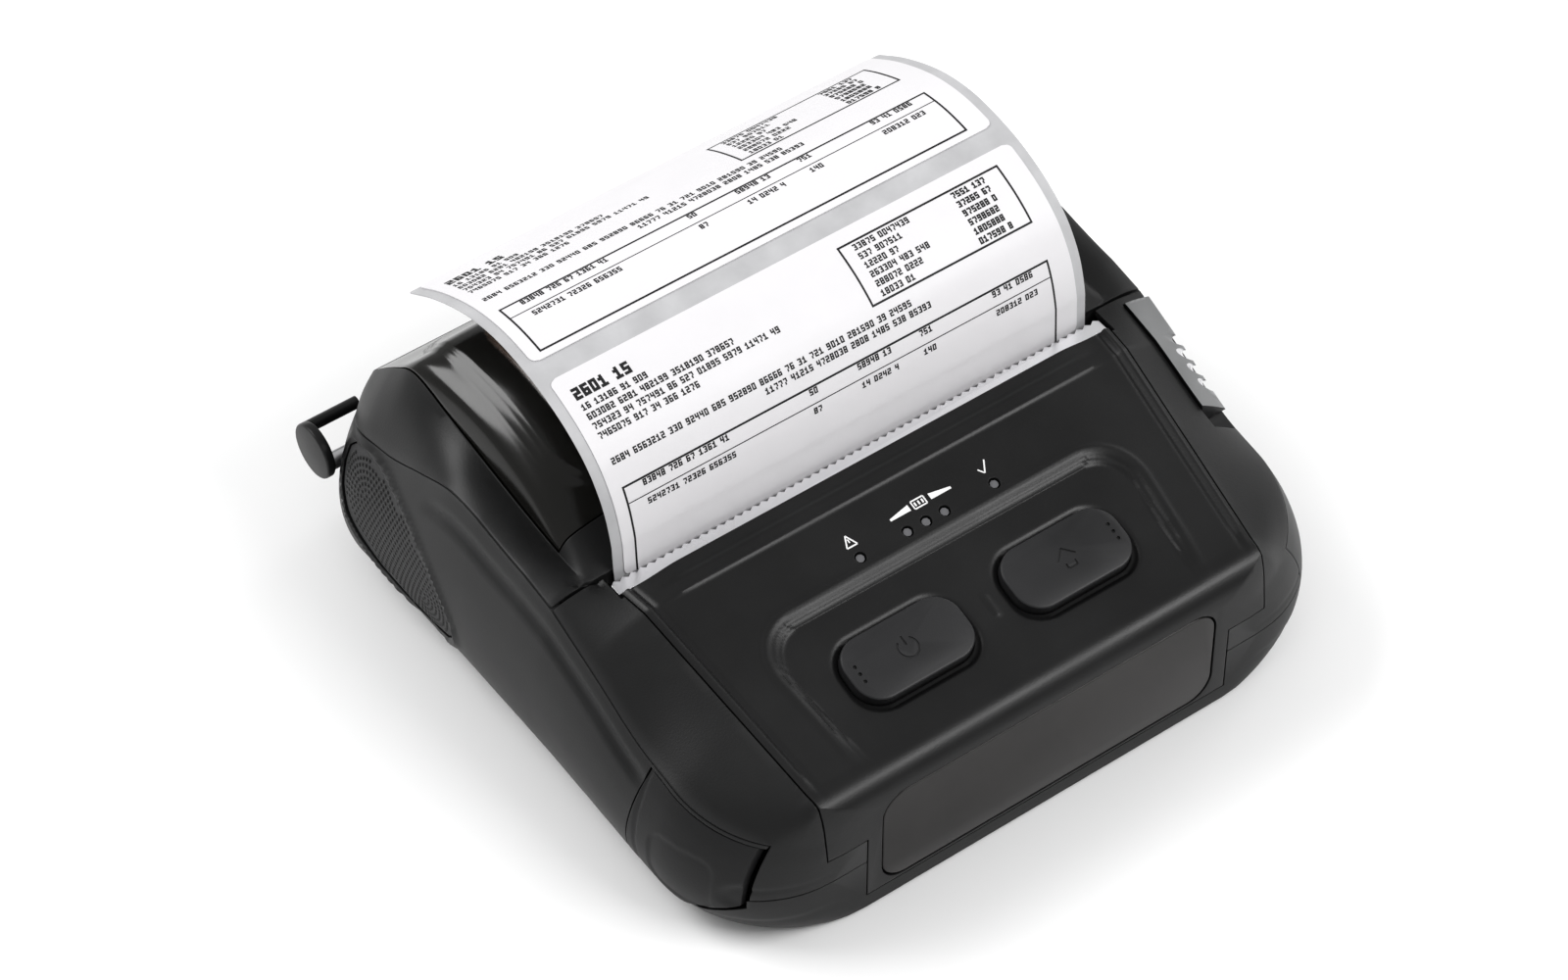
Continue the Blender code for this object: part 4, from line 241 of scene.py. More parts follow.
# Boards, sockets and battery
KEY_BOARD_HALF = COVER_SKIRT_HALF
BOARD_FRONT_MARGIN = 0.008
KEY_BOARD_FRONT_Y = FRONT_Y + BOARD_FRONT_MARGIN
KEY_BOARD_REAR_Y = -0.024
KEY_POST_RADIUS = 0.0018
KEY_POST_MARGIN = 0.0035
MAT_THICK = 0.001
MAIN_BOARD_FRONT_Y = FRONT_Y + BOARD_FRONT_MARGIN
MAIN_BOARD_REAR_MARGIN = 0.007
MAIN_BOARD_REAR_Y = FRAME_FRONT_Y - MAIN_BOARD_REAR_MARGIN
MAIN_BOARD_DROP = 0.0108
MAIN_BOARD_Z = NOSE_HEIGHT - MAIN_BOARD_DROP
MOTOR_ROOM = 0.026
BATTERY_LEFT_X = MOTOR_ROOM - ROLL_HALF
BATTERY_MARGIN = 0.010
BATTERY_RIGHT_X = ROLL_HALF - BATTERY_MARGIN
BATTERY_FRONT_MARGIN = 0.0055
BATTERY_FRONT_Y = FRONT_Y + BATTERY_FRONT_MARGIN
BATTERY_REAR_Y = -0.0245
BATTERY_TOP_DROP = 0.0026
BATTERY_TOP = MAIN_BOARD_Z - BATTERY_TOP_DROP
BATTERY_FLANGE = 0.0017
BATTERY_CORNER = 0.002
CATCH_CENTRE_X = (BATTERY_LEFT_X + BATTERY_RIGHT_X) / 2
CATCH_WIDE = 0.012
CATCH_LENGTH = 0.012
CATCH_LOW = 0.0017
CATCH_THICK = 0.0012
CATCH_TRAVEL = 0.003
CATCH_ROOF = 0.0016
PORT_WALL_DEEP = 0.006
PORT_WALL_X = SILL_HALF - PORT_WALL_DEEP
PORT_WALL_THICK = 0.0014
PORT_WALL_DROP = 0.0005
PORT_WALL_TOP = MAIN_BOARD_Z - PORT_WALL_DROP
JACK_APART = 0.018
JACK_Y = MAIN_BOARD_FRONT_Y + JACK_APART
JACK_WIDE = 0.009
JACK_TALL = 0.0095
JACK_LOW = MAIN_BOARD_Z - JACK_TALL
USB_APART = 0.0065
USB_Y = MAIN_BOARD_FRONT_Y + USB_APART
USB_WIDE = 0.0085
USB_TALL = 0.0045
USB_LOW = MAIN_BOARD_Z - USB_TALL

# Flap over the sockets
FLAP_REAR_APART = 0.0075
FLAP_REAR_Y = JACK_Y + FLAP_REAR_APART
FLAP_FRONT_MARGIN = 0.0068
FLAP_FRONT_Y = FRONT_Y + FLAP_FRONT_MARGIN
FLAP_LOW = 0.0052
FLAP_STRAIGHT_APART = 0.005
FLAP_STRAIGHT_Y = JACK_Y - FLAP_STRAIGHT_APART
FLAP_FRONT_LOW = 0.0125
FLAP_SLANT = 0.0035
FLAP_THICK = 0.0012
FLAP_FRONT_GAP = 0.001

# Grips and strap bars
GRIP_SETBACK = 0.0325
GRIP_Y = REAR_Y - GRIP_SETBACK
GRIP_Z = 0.0225
GRIP_LONG = 0.0215
GRIP_WIDE = 0.0112
GRIP_TILT = math.radians(24.0)
GRIP_SUNK = 0.0003
GRIP_THICK = 0.001
STRAP_SETBACK = 0.0048
STRAP_Y = REAR_Y - STRAP_SETBACK
STRAP_Z = 0.0252
STRAP_CHEEK_RADIUS = 0.006
STRAP_CHEEK_THICK = 0.002
STRAP_CHEEK_SUNK = 0.0002
STRAP_CHEEK_OUTER = SILL_HALF + SIDE_BULGE - STRAP_CHEEK_SUNK
STRAP_ROD_RADIUS = 0.0013
STRAP_ROD_REACH = 0.0085
STRAP_ROD_INNER = SILL_HALF - STRAP_ROD_REACH
STRAP_ROD_BEARING = math.radians(38.0)
STRAP_SPIGOT_SETBACK = 0.0086
STRAP_SPIGOT_Y = REAR_Y - STRAP_SPIGOT_SETBACK
STRAP_SPIGOT_Z = 0.0245
STRAP_SPIGOT_RADIUS = 0.0018
STRAP_BOSS_RADIUS = 0.0034
STRAP_BOSS_DEEP = 0.0035
STRAP_BOSS_OUTER = SILL_HALF - STRAP_BOSS_DEEP

# Feet, posts and screws
FOOT_RADIUS = 0.0045
FOOT_THICK = 0.0018
FOOT_FRONT_MARGIN = 0.012
FOOT_FRONT_X = SILL_HALF - FOOT_FRONT_MARGIN
FOOT_REAR_MARGIN = 0.016
FOOT_REAR_X = SILL_HALF - FOOT_REAR_MARGIN
FOOT_REAR_SETBACK = 0.018
FOOT_REAR_Y = REAR_Y - FOOT_REAR_SETBACK
POST_LEFT_APART = 0.014
POST_LEFT_X = BATTERY_LEFT_X - POST_LEFT_APART
POST_RIGHT_APART = 0.0075
POST_RIGHT_X = BATTERY_RIGHT_X + POST_RIGHT_APART
POST_FRONT_MARGIN = 0.003
POST_FRONT_Y = MAIN_BOARD_FRONT_Y + POST_FRONT_MARGIN
POST_REAR_MARGIN = 0.005
POST_REAR_Y = MAIN_BOARD_REAR_Y - POST_REAR_MARGIN
FOOT_PLACE_SHARE = 0.553
FOOT_FRONT_Y = POST_FRONT_Y + (POST_REAR_Y - POST_FRONT_Y) * FOOT_PLACE_SHARE
POST_RADIUS = 0.0038
SCREW_RADIUS = 0.0011
SCREW_HEAD_RADIUS = 0.0024
SCREW_HEAD_THICK = 0.0016
SCREW_SUNK = 0.0006

# Sides of the round shapes
FINE = 44
ROUND = 20
COARSE = 12

WIDE = SILL_HALF + SIDE_BULGE + OVERRUN
HIGH = CREST_HEIGHT + OVERRUN
LOW = -OVERRUN

# Fineness of the skins
TOP_STEPS = 120
RAIL_STEPS = 8
SIDE_STEPS = 46
FINE_STEP = 0.0009
TURN_STEPS = 10

# The sunk field round the buttons
FIELD_TOP_Y = -0.0315
FIELD_REAR_HALF = 0.0436
FIELD_FRONT_HALF = 0.0394
FIELD_CORNER = 0.010
FIELD_STEP = 0.0006
FIELD_STEP_WIDE = 0.0007
FIELD_LEDGE = 0.0012
FIELD_LIP = 0.0003
FIELD_LIP_WIDE = 0.0022
FIELD_FADE_Y = -0.050
MOAT_DEEP = 0.0007
MOAT_WIDE = 0.0016

# The raised band by the slot, and the bead along the edges of the cover
BAND_YS = (-0.0181, -0.0148)
BAND_RISE = 0.0004
BAND_STEP_WIDE = 0.0007
BAND_HALF = 0.045
BAND_FADE = 0.009
BEAD_PLACE = 0.0011
BEAD_HALF = 0.0009
BEAD_RISE = 0.00045
VALLEY_PLACE = 0.0024
VALLEY_DEEP = 0.0004

# Raised panes of the window
LENS_HALF = 0.0490
LENS_CENTRE_Y = 0.0335
LENS_LONG_HALF = 0.0215
LENS_CORNER = 0.012
LENS_RISE = 0.0005
FRAME_PANE_HALF = 0.0565
FRAME_PANE_CENTRE_Y = 0.0355
FRAME_PANE_LONG_HALF = 0.0285
PANE_CORNER = 0.011
PANE_RISE = 0.0005
PANE_STEP = 0.0007
PANE_SECOND = 0.0014

# Marks on the panel, dots of the grips, and the print
MARK_RISE = 0.00004
DOT_RADIUS = 0.0004
DOT_PITCH = 0.00118
ROW_PITCH = 0.00122
DOT_MARGIN = 0.0014
DOT_RISE = 0.00016
INK_RISE = 0.00003

# Angles that stay sharp, and steps of the edges and curves
SHARP_ANGLE = math.radians(28.0)
PANE_SHARP_ANGLE = math.radians(60.0)
STUD_SHARP_ANGLE = math.radians(80.0)
SHEET_SHARP_ANGLE = math.radians(50.0)
CORNER_ANGLE = math.radians(40.0)
MERGE_DISTANCE = GAP / 100
EDGE_SEGMENTS = 3
CORNER_STEPS = 4
FLAP_STEPS = 5
ARC_STEPS = 24
HOLDER_BEARINGS = range(240, 361, 15)
HINGE_ARM_BEARINGS = range(180, 361, 20)

# Raised tick between the buttons
TICK_X = 0.0009
TICK_HALF = 0.0005
TICK_LONG_HALF = 0.0024
TICK_RISE = 0.0003

# Points of a section over the shoulder and down the side, as shares
SHOULDER = ((0.0, 0.0),) + SHOULDER_SHARES + ((1.0, 1.0),)
SIDE_FINE = [(i / SIDE_STEPS) for i in range(SIDE_STEPS + 1)]

# Swell of the rails between their edges
RAIL_SWELL = 0.0005

# Channel along the tub's sides, the step at their foot and the lip round the grips
CHANNEL_DEEP = 0.0007
CHANNEL_HALF = 0.0024
CHANNEL_FRONT_Y = -0.040
CHANNEL_REAR_Y = 0.030
CHANNEL_FADE = 0.006
CHANNEL_DROP_FRONT = 0.0045
CHANNEL_DROP_REAR = 0.0065
BASE_STEP = 0.0005
BASE_LINE = 0.0075
GRIP_LIP_RISE = 0.0006
GRIP_LIP_PLACE = 0.0016
GRIP_LIP_HALF = 0.0013
FACE_TURNS = 10

# Notch of the rails at the seam, and the line round their toes
NOTCH_DEEP = 0.0008
NOTCH_HALF = 0.0036
NOTCH_EDGE = 0.0012
TOE_LINE_DEEP = 0.0003
TOE_LINE_RISE = 0.0022
TOE_LINE_HALF = 0.0008
TOE_LINE_REAR_Y = -0.060

# Grooves of the lever
RIB_INNER_SHARE = 0.45
GROOVE_RADIUS = 0.0013
GROOVE_DEEP = 0.0001
PROUD_SHARE = 0.6

# Rows of dots on the grips
GRIP_SPINE_HALF = 0.0098
ROW_COUNT = 9
STUD_SIDES = 7

# Folds of the flap
FOLD_DEEP = 0.0003
FOLD_PLACE = 0.0036
FOLD_HALF = 0.0007
FIELD_FLAP_HALF = 0.0072
FIELD_FLAP_TALL = 0.0068

# Height and inset of a button's cap, and its marks
KEY_PROFILE = ((0.0, 0.0), (0.00028, 0.00003), (0.0005, 0.00022), (0.0006, 0.0005))
MARK_DEEP = 0.00018
DIMPLE_X = 0.0112
DIMPLE_PITCH = 0.0017
DIMPLE_RADIUS = 0.0004
MARK_RADIUS = 0.0021
MARK_STROKE = 0.00042
MARK_GAP_ANGLE = math.radians(38.0)
BAR_LOW_SHARE = 0.25
BAR_HIGH_SHARE = 1.25

# Pictograms over the lamps
PICTO_RISE = 0.0038
PICTO_SIZE = 0.0012
PICTO_STROKE = 0.0003
WEDGE_SHARES = ((2.0, -0.55), (2.0, 0.55), (6.0, -0.15), (6.0, -0.55))
CELL_SHARES = ((-1.3, -0.7), (1.1, -0.7), (1.1, 0.7), (-1.3, 0.7))
CHARGE_SHARES = (-0.8, -0.1, 0.6)
CHARGE_TALL_SHARE = 0.35
CHARGE_STROKE_SHARE = 1.3
CHECK_SHARES = ((-1.0, 0.0), (-0.25, -1.0), (1.0, 1.0))

# Sheets of the strip
SHEET_SHARES = (-1.0, -0.5, 0.0, 0.5, 1.0)
LABEL_LIFT = 0.00003
LABEL_CORNER = 0.0016
LINER_CORNER = 0.0004
INK_PIECE = 0.0015
STRIP_STEPS = 4
LABEL_FIRST = 2
GAP_TRIM = 0.0021

# Digits in five rows of three cells, each row read as a sum of 4, 2 and 1
DIGIT_ROWS = ("75557", "26227", "71747", "71317", "55711", "74717", "74757", "71122", "75757", "75717")
CELLS_TALL = 5
CELLS_APART = 4
GROUP_LENGTHS = (2, 8)

# The form, from the label's middle and its top
FORM_SEED = 7
FORM_LEFT = -0.0512
HEAD_RIGHT = -0.0365
HEAD_BASE = 0.0058
HEAD_TALL = 0.0024
HEAD_HEAVY = 1.3
TEXT_TALL = 0.0013
TEXT_HEAVY = 1.12
ROW_BASE = 0.0082
ROW_RIGHTS = (-0.034, -0.016, -0.0057, -0.027)
LINE_PITCH = 0.00205
LONG_BASE = 0.0196
LONG_ROWS = ((-0.0512, 0.0235), (-0.0170, 0.0242))
BOX_LEFT = 0.0103
BOX_RIGHT = 0.0488
BOX_TOP = 0.0031
BOX_LOW = 0.0164
BOX_ROWS = 6
BOX_BASE = 0.0052
BOX_MARGIN = 0.0030
BOX_MIDDLE = 0.0285
BOX_DIGITS_LEFT = 0.0368
TABLE_TOP = 0.0242
TABLE_HEAD = 0.0036
TABLE_COLUMNS = (
    (-0.0468, -0.0260), (-0.0085, -0.0060), (0.0028, 0.0124), (0.0175, 0.0208), (0.0350, 0.0455),
)
TABLE_TALL = 0.0139
TABLE_MARGIN = 0.0015
RULE = 0.00042

# Colours
BLACK_CASE = (0.0105, 0.0106, 0.0108)
BLACK_COVER = (0.0090, 0.0090, 0.0092)
DULL = 0.35

# Grain of the plastics, and their paler edges: partly rubbing wear, partly a painted highlight
BROAD_SCALE = 38.0
GRAIN_DEEP = 0.00006
WEAR_AND_HIGHLIGHT_SHARE = 2.0
WEAR_AND_HIGHLIGHT_ADDED = 0.022
EDGE_GLINT = 0.0003
TINT_SHARE = 0.25
POINTED_LOW = 0.52
POINTED_HIGH = 0.62
WEAR_AND_HIGHLIGHT_MOST = 0.55
FINE_DETAIL = 2.0
BROAD_DETAIL = 4.0
BEVEL_SAMPLES = 4
GLOSSY_SHARE = 0.9
DULL_SHARE = 1.1
NOISE_LOW = 0.3
NOISE_HIGH = 0.7
# Colour, roughness, grain scale and strength, and where they differ the glint, tint and metal
GRAINED = {
    "case_plastic": (BLACK_CASE, 0.42, 2600.0, 0.35),
    "cover_plastic": (BLACK_COVER, 0.36, 2600.0, 0.30),
    "key_plastic": ((0.020, 0.020, 0.021), 0.42, 3400.0, 0.2, 0.00015),
    "inset_plastic": ((0.022, 0.0205, 0.020), 0.30, 3000.0, 0.12),
    "lever_plastic": ((0.20, 0.203, 0.205), 0.45, 2600.0, 0.3),
    "black_rubber": ((0.011, 0.011, 0.0115), 0.65, 1800.0, 0.4),
    "grip_rubber": ((0.045, 0.045, 0.046), 0.6, 1800.0, 0.4),
    # Studs much darker than the pad: painted shade standing in for the shaded little holes of the grip.
    "stud_rubber_painted_shade": ((0.006, 0.006, 0.006), 0.35, 1800.0, 0.2, 0.0),
    "flap_rubber": ((0.0085, 0.0085, 0.009), 0.5, 1800.0, 0.35),
    "clear_plastic": ((0.10, 0.10, 0.105), 0.12, 1200.0, 0.05, 0.0001, 0.05),
    "steel": ((0.62, 0.62, 0.63), 0.28, 1500.0, 0.25, 0.0001, 0.08, 1.0),
    "aluminium": ((0.70, 0.70, 0.71), 0.38, 1500.0, 0.3, 0.0001, 0.08, 1.0),
    "ceramic": ((0.75, 0.74, 0.70), 0.25, 1500.0, 0.1, 0.0001, 0.05),
    "nylon": ((0.74, 0.72, 0.66), 0.45, 1800.0, 0.2, 0.0001, 0.06),
    "board_green": ((0.02, 0.12, 0.06), 0.35, 900.0, 0.2, 0.0001, 0.2),
    "cardboard": ((0.42, 0.30, 0.19), 0.8, 700.0, 0.6, 0.0, 0.2),
    "brass": ((0.58, 0.38, 0.20), 0.32, 1500.0, 0.2, 0.0001, 0.1, 1.0),
    "ink": ((0.012, 0.012, 0.013), 0.6, 900.0, 0.1, 0.0),
    "white_print": ((0.80, 0.80, 0.80), 0.5, 1500.0, 0.1, 0.0, 0.04),
}
# Colour and how much it clouds
PAPERS = {
    "paper": ((0.80, 0.80, 0.80), 0.03),
    "label_paper": ((0.73, 0.72, 0.735), 0.02),
    "liner_paper": ((0.50, 0.50, 0.51), 0.16),
}

# Fibres and clouds of the papers
FIBRE_SCALE = 900.0
CLOUD_SCALE = 130.0
PAPER_DETAIL = 3.0
PAPER_ROUGH = 0.5
FIBRE_STRENGTH = 0.15

# The smoked window, and its clearer middle with a painted glow of the lit roll behind it
GLOSS_RANGE = (0.16, 0.22)
SMOKE_COLOUR = (0.0045, 0.0042, 0.0030)
# Painted light: the middle pane's warm colour stands in for the lit roll seen through it.
LENS_PAINTED_GLOW = (0.20, 0.145, 0.115)
LENS_TINT = (0.90, 0.76, 0.68)
SMOKE_CLEAR = 0.02
LENS_CLEAR = 0.5

# The floor, the light and the camera
FLOOR_HALF = 6.0
FLOOR_COLOUR = (0.93, 0.93, 0.93)
FLOOR_ROUGH = 0.9
LIGHT_TARGET = (0.0, 0.0, 0.03)
# Name, place, size and power of each light
LIGHTS = (
    ("rear_left", (-0.58, 0.72, 0.91), (0.7, 0.7), 8.5),
    ("front_right", (0.48, -0.67, 0.87), (0.8, 0.25), 6.5),
    ("right", (1.0, 0.25, 0.55), (0.3, 0.7), 1.0),
)
WORLD_STRENGTH = 0.5
SENSOR = 36.0
LENS = 117.0
CAMERA_RIGHT = (0.8049, -0.5934, 0.0)
CAMERA_BACK = (-0.4001, -0.5427, 0.7385)
CAMERA_PLACE = (-0.4029, -0.5299, 0.7574)

# Finishes already made, by name
made = {}


def loft(name, rings, key):
    """A closed solid through rings of equal length, capped at both ends."""
    bm = bmesh.new()
    rows = [[bm.verts.new(point) for point in ring] for ring in rings]
    for row, following in zip(rows, rows[1:]):
        for i in range(len(row)):
            j = (i + 1) % len(row)
            bm.faces.new((row[i], row[j], following[j], following[i]))
    bm.faces.new(rows[0])
    bm.faces.new(reversed(rows[-1]))
    return mesh_object(name, bm, key)


def on_axis(axis, along, a, b):
    """The point with this place along the axis, and a and b on the two others in their order."""
    return {"X": (along, a, b), "Y": (a, along, b), "Z": (a, b, along)}[axis]


def prism(name, outline, axis, low, high, key="case_plastic"):
    """The outline, in the two axes left over, drawn out along the axis."""
    return loft(name, [[on_axis(axis, along, a, b) for a, b in outline] for along in (low, high)], key)


def box(name, low, high):
    """A solid block between two corners."""
    outline = ((low[0], low[1]), (high[0], low[1]), (high[0], high[1]), (low[0], high[1]))
    return prism(name, outline, "Z", low[2], high[2])


def circle(centre, radius, count):
    """Points round a circle."""
    angles = [math.tau * i / count for i in range(count)]
    return [(centre[0] + radius * math.cos(a), centre[1] + radius * math.sin(a)) for a in angles]


def rod(name, axis, centre, radius, low, high, key="steel", count=ROUND):
    """A round bar along an axis."""
    return prism(name, circle(centre, radius, count), axis, low, high, key)


def rounded(centre, long, wide, corner, steps=CORNER_STEPS):
    """A rectangle with round corners, long along the first axis."""
    outline = []
    for k, (sx, sy) in enumerate(((1, 1), (-1, 1), (-1, -1), (1, -1))):
        cx = centre[0] + sx * (long / 2 - corner)
        cy = centre[1] + sy * (wide / 2 - corner)
        for i in range(steps + 1):
            angle = math.pi / 2 * (k + i / steps)
            outline.append((cx + corner * math.cos(angle), cy + corner * math.sin(angle)))
    return outline


def smooth(pairs, x):
    """A reading of a table of pairs by a curve through them, with a flat start to no overshoot."""
    x = min(max(x, pairs[0][0]), pairs[-1][0])
    index = 0
    while index < len(pairs) - 2 and x > pairs[index + 1][0]:
        index += 1

    def slope(i):
        low, high = max(i - 1, 0), min(i + 1, len(pairs) - 1)
        return (pairs[high][1] - pairs[low][1]) / (pairs[high][0] - pairs[low][0])

    (x0, y0), (x1, y1) = pairs[index], pairs[index + 1]
    width = x1 - x0
    t = (x - x0) / width
    return (
        (2 * t**3 - 3 * t**2 + 1) * y0
        + (t**3 - 2 * t**2 + t) * width * slope(index)
        + (3 * t**2 - 2 * t**3) * y1
        + (t**3 - t**2) * width * slope(index + 1)
    )


def lid_place(share):
    """The place this far from the seam to the rear, in Y."""
    return SEAM_Y + share * (REAR_Y - SEAM_Y)


def lid_table(rise_shares, fall_shares, crest):
    """Heights over the lid: up from the seam to the crest, then down to the rear edge."""
    start = SILL_SEAM_HEIGHT if crest == SILL_CREST_HEIGHT else SEAM_HEIGHT
    rise = [(lid_place(a), start + b * (crest - start)) for a, b in rise_shares]
    fall = [(lid_place(a), REAR_EDGE_HEIGHT + b * (crest - REAR_EDGE_HEIGHT)) for a, b in fall_shares]
    return rise + fall


def rear_fall(crest):
    """The common rear slope, as shares of this crest's height over the rear edge."""
    share = (RAIL_CREST_HEIGHT - REAR_EDGE_HEIGHT) / (crest - REAR_EDGE_HEIGHT)
    return [(a, b * share) for a, b in REAR_FALL_SHARES]


def crown_height(y):
    """Height of the top at the middle."""
    if y < SEAM_Y:
        return front_height(y)
    return smooth(lid_table(CROWN_LID_SHARES, rear_fall(CREST_HEIGHT), CREST_HEIGHT), y)


def rail_height(y):
    """Height of the rail's inner edge."""
    if y < SEAM_Y:
        return front_height(y)
    return smooth(lid_table(RAIL_LID_SHARES, REAR_FALL_SHARES, RAIL_CREST_HEIGHT), y)


def panel_height(y):
    """Height of the flat sloping panel, also past its ends."""
    nose_y = FRONT_Y + NOSE_RADIUS
    return NOSE_HEIGHT + (CREASE_HEIGHT - NOSE_HEIGHT) * (y - nose_y) / (CREASE_Y - nose_y)


def front_height(y, inset=0.0):
    """Height of the front half: round nose, sloping panel, then level from the crease to the slot."""
    nose_y = FRONT_Y + NOSE_RADIUS
    if y < nose_y:
        radius = NOSE_RADIUS - inset
        back = min(nose_y - y, radius)
        return NOSE_HEIGHT - NOSE_RADIUS + math.sqrt(radius**2 - back**2)
    if y < CREASE_Y:
        return panel_height(y) - inset
    return CREASE_HEIGHT + (SEAM_HEIGHT - CREASE_HEIGHT) * (y - CREASE_Y) / (SEAM_Y - CREASE_Y) - inset


def sill_height(y):
    """Height of the line where the rails meet the tub."""
    if y < SEAM_Y:
        pairs = [
            (FRONT_Y + a * (SEAM_Y - FRONT_Y),
             SILL_FRONT_HEIGHT + b * (SILL_SEAM_HEIGHT - SILL_FRONT_HEIGHT))
            for a, b in SILL_FRONT_SHARES
        ]
    else:
        pairs = lid_table(SILL_LID_SHARES, SILL_FALL_SHARES, SILL_CREST_HEIGHT)
    return min(smooth(pairs, y), rail_height(y) - GAP)


def corner_inset(y, inset=0.0):
    """How far the plan's round corners draw the sides in at this place."""
    drawn = 0.0
    front = (y - FRONT_Y - inset, FRONT_CORNER - inset)
    rear = (REAR_Y - inset - y, REAR_CORNER - inset)
    for distance, radius in (front, rear):
        if distance < radius:
            drawn += radius - math.sqrt(max(radius**2 - (radius - max(distance, 0.0)) ** 2, 0.0))
    return drawn


def cover_half(y):
    """Half width of the front cover at this place."""
    share = (y - FRONT_Y) / (SEAM_Y - FRONT_Y)
    return COVER_FRONT_HALF + (COVER_REAR_HALF - COVER_FRONT_HALF) * share


def link(name, mesh, key):
    """Puts a mesh with its finish into the scene."""
    mesh.materials.append(finish_of(key))
    obj = bpy.data.objects.new(name, mesh)
    bpy.context.scene.collection.objects.link(obj)
    return obj


def mesh_object(name, bm, key):
    """An object from the bmesh, with its faces turned outwards."""
    bmesh.ops.recalc_face_normals(bm, faces=bm.faces)
    mesh = bpy.data.meshes.new(name)
    bm.to_mesh(mesh)
    bm.free()
    return link(name, mesh, key)


def settle(obj):
    """Makes the object's modifiers part of its mesh."""
    graph = bpy.context.evaluated_depsgraph_get()
    mesh = bpy.data.meshes.new_from_object(obj.evaluated_get(graph))
    obj.modifiers.clear()
    obj.data = mesh
    return obj


def combine(obj, other, operation):
    """The object after a Boolean of this kind with the other one, which goes."""
    modifier = obj.modifiers.new(operation, "BOOLEAN")
    modifier.operation = operation
    modifier.solver = "MANIFOLD"
    modifier.object = other
    modifier.material_mode = "INDEX"
    settle(obj)
    bpy.data.objects.remove(other, do_unlink=True)
    return obj


def cut(obj, *others):
    """Takes the others away from the object."""
    for other in others:
        combine(obj, other, "DIFFERENCE")
    return obj


def join(obj, *others):
    """Adds the others to the object."""
    for other in others:
        combine(obj, other, "UNION")
    return obj


def keep(obj, *others):
    """Keeps what the object shares with the others."""
    for other in others:
        combine(obj, other, "INTERSECT")
    return obj


def smooth_faces(obj, limit=SHARP_ANGLE):
    """Smooth shading, with the edges over this angle left sharp."""
    bm = bmesh.new()
    bm.from_mesh(obj.data)
    bmesh.ops.remove_doubles(bm, verts=bm.verts, dist=MERGE_DISTANCE)
    for face in bm.faces:
        face.smooth = True
    for edge in bm.edges:
        edge.smooth = len(edge.link_faces) == 2 and edge.calc_face_angle(0.0) < limit
    bm.to_mesh(obj.data)
    bm.free()
    return obj


def soften(obj, width):
    """A small round edge on the object's corners."""
    modifier = obj.modifiers.new("round_edges", "BEVEL")
    modifier.width = width
    modifier.segments = EDGE_SEGMENTS
    modifier.limit_method = "ANGLE"
    modifier.angle_limit = CORNER_ANGLE
    return settle(obj)


def place(obj, body, slot, *nodes):
    """The finished piece, riding on its body and standing for these nodes."""
    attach(obj, body)
    if nodes:
        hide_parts(*nodes)
    return obj


def ramp(value, low, high):
    """From 0 below the low value to 1 above the high one, with soft ends."""
    t = min(max((value - low) / (high - low), 0.0), 1.0)
    return t * t * (3 - 2 * t)


def bump_at(value, middle, half):
    """A round bump of height 1 about the middle."""
    t = (value - middle) / half
    return math.cos(math.pi / 2 * t) ** 2 if abs(t) < 1 else 0.0


def rounded_distance(x, y, half_x, half_y, corner):
    """Distance of the point outside a rectangle with round corners, negative inside."""
    across = abs(x) - half_x + corner
    along = abs(y) - half_y + corner
    outside = math.hypot(max(across, 0.0), max(along, 0.0))
    return outside + min(max(across, along), 0.0) - corner


def cover_relief(x, y):
    """Height of the cover's detail over the plain skin."""
    side = abs(x)
    edge = cover_half(y) - side
    height = BEAD_RISE * bump_at(edge, BEAD_PLACE, BEAD_HALF)
    height -= VALLEY_DEEP * bump_at(edge, VALLEY_PLACE, BEAD_HALF)
    height *= ramp(y, FRONT_Y + NOSE_RADIUS / 2, FRONT_Y + NOSE_RADIUS * 2)
    for band_y in BAND_YS:
        rise = BAND_RISE * ramp(y, band_y, band_y + BAND_STEP_WIDE)
        height += rise * (1 - ramp(side, BAND_HALF, BAND_HALF + BAND_FADE))
    share = (y - FRONT_Y) / (FIELD_TOP_Y - FRONT_Y)
    half = FIELD_FRONT_HALF + (FIELD_REAR_HALF - FIELD_FRONT_HALF) * min(share, 1.0)
    far = FRONT_Y * 2
    middle, long = (FIELD_TOP_Y + far) / 2, (FIELD_TOP_Y - far) / 2
    away_from = rounded_distance(x, y - middle, half, long, FIELD_CORNER)
    fade = ramp(y, FRONT_Y + NOSE_RADIUS / 2, FIELD_FADE_Y)
    height += fade * FIELD_LIP * bump_at(away_from, FIELD_LIP_WIDE / 2, FIELD_LIP_WIDE / 2)
    for start in (0.0, -FIELD_LEDGE):
        height -= fade * FIELD_STEP * ramp(-away_from, -start, -start + FIELD_STEP_WIDE)
    for side_sign in (-1, 1):
        across = x - side_sign * BUTTON_CENTRE_X
        along = y - BUTTON_CENTRE_Y
        gap = rounded_distance(across, along, BUTTON_LONG / 2, BUTTON_WIDE / 2, BUTTON_CORNER)
        if gap < MOAT_WIDE:
            height -= MOAT_DEEP * (1 - ramp(gap, GAP, MOAT_WIDE))
    tick = rounded_distance(x - TICK_X, y - BUTTON_CENTRE_Y, TICK_HALF, TICK_LONG_HALF, TICK_HALF)
    return height + TICK_RISE * (1 - ramp(tick, -GAP, GAP))


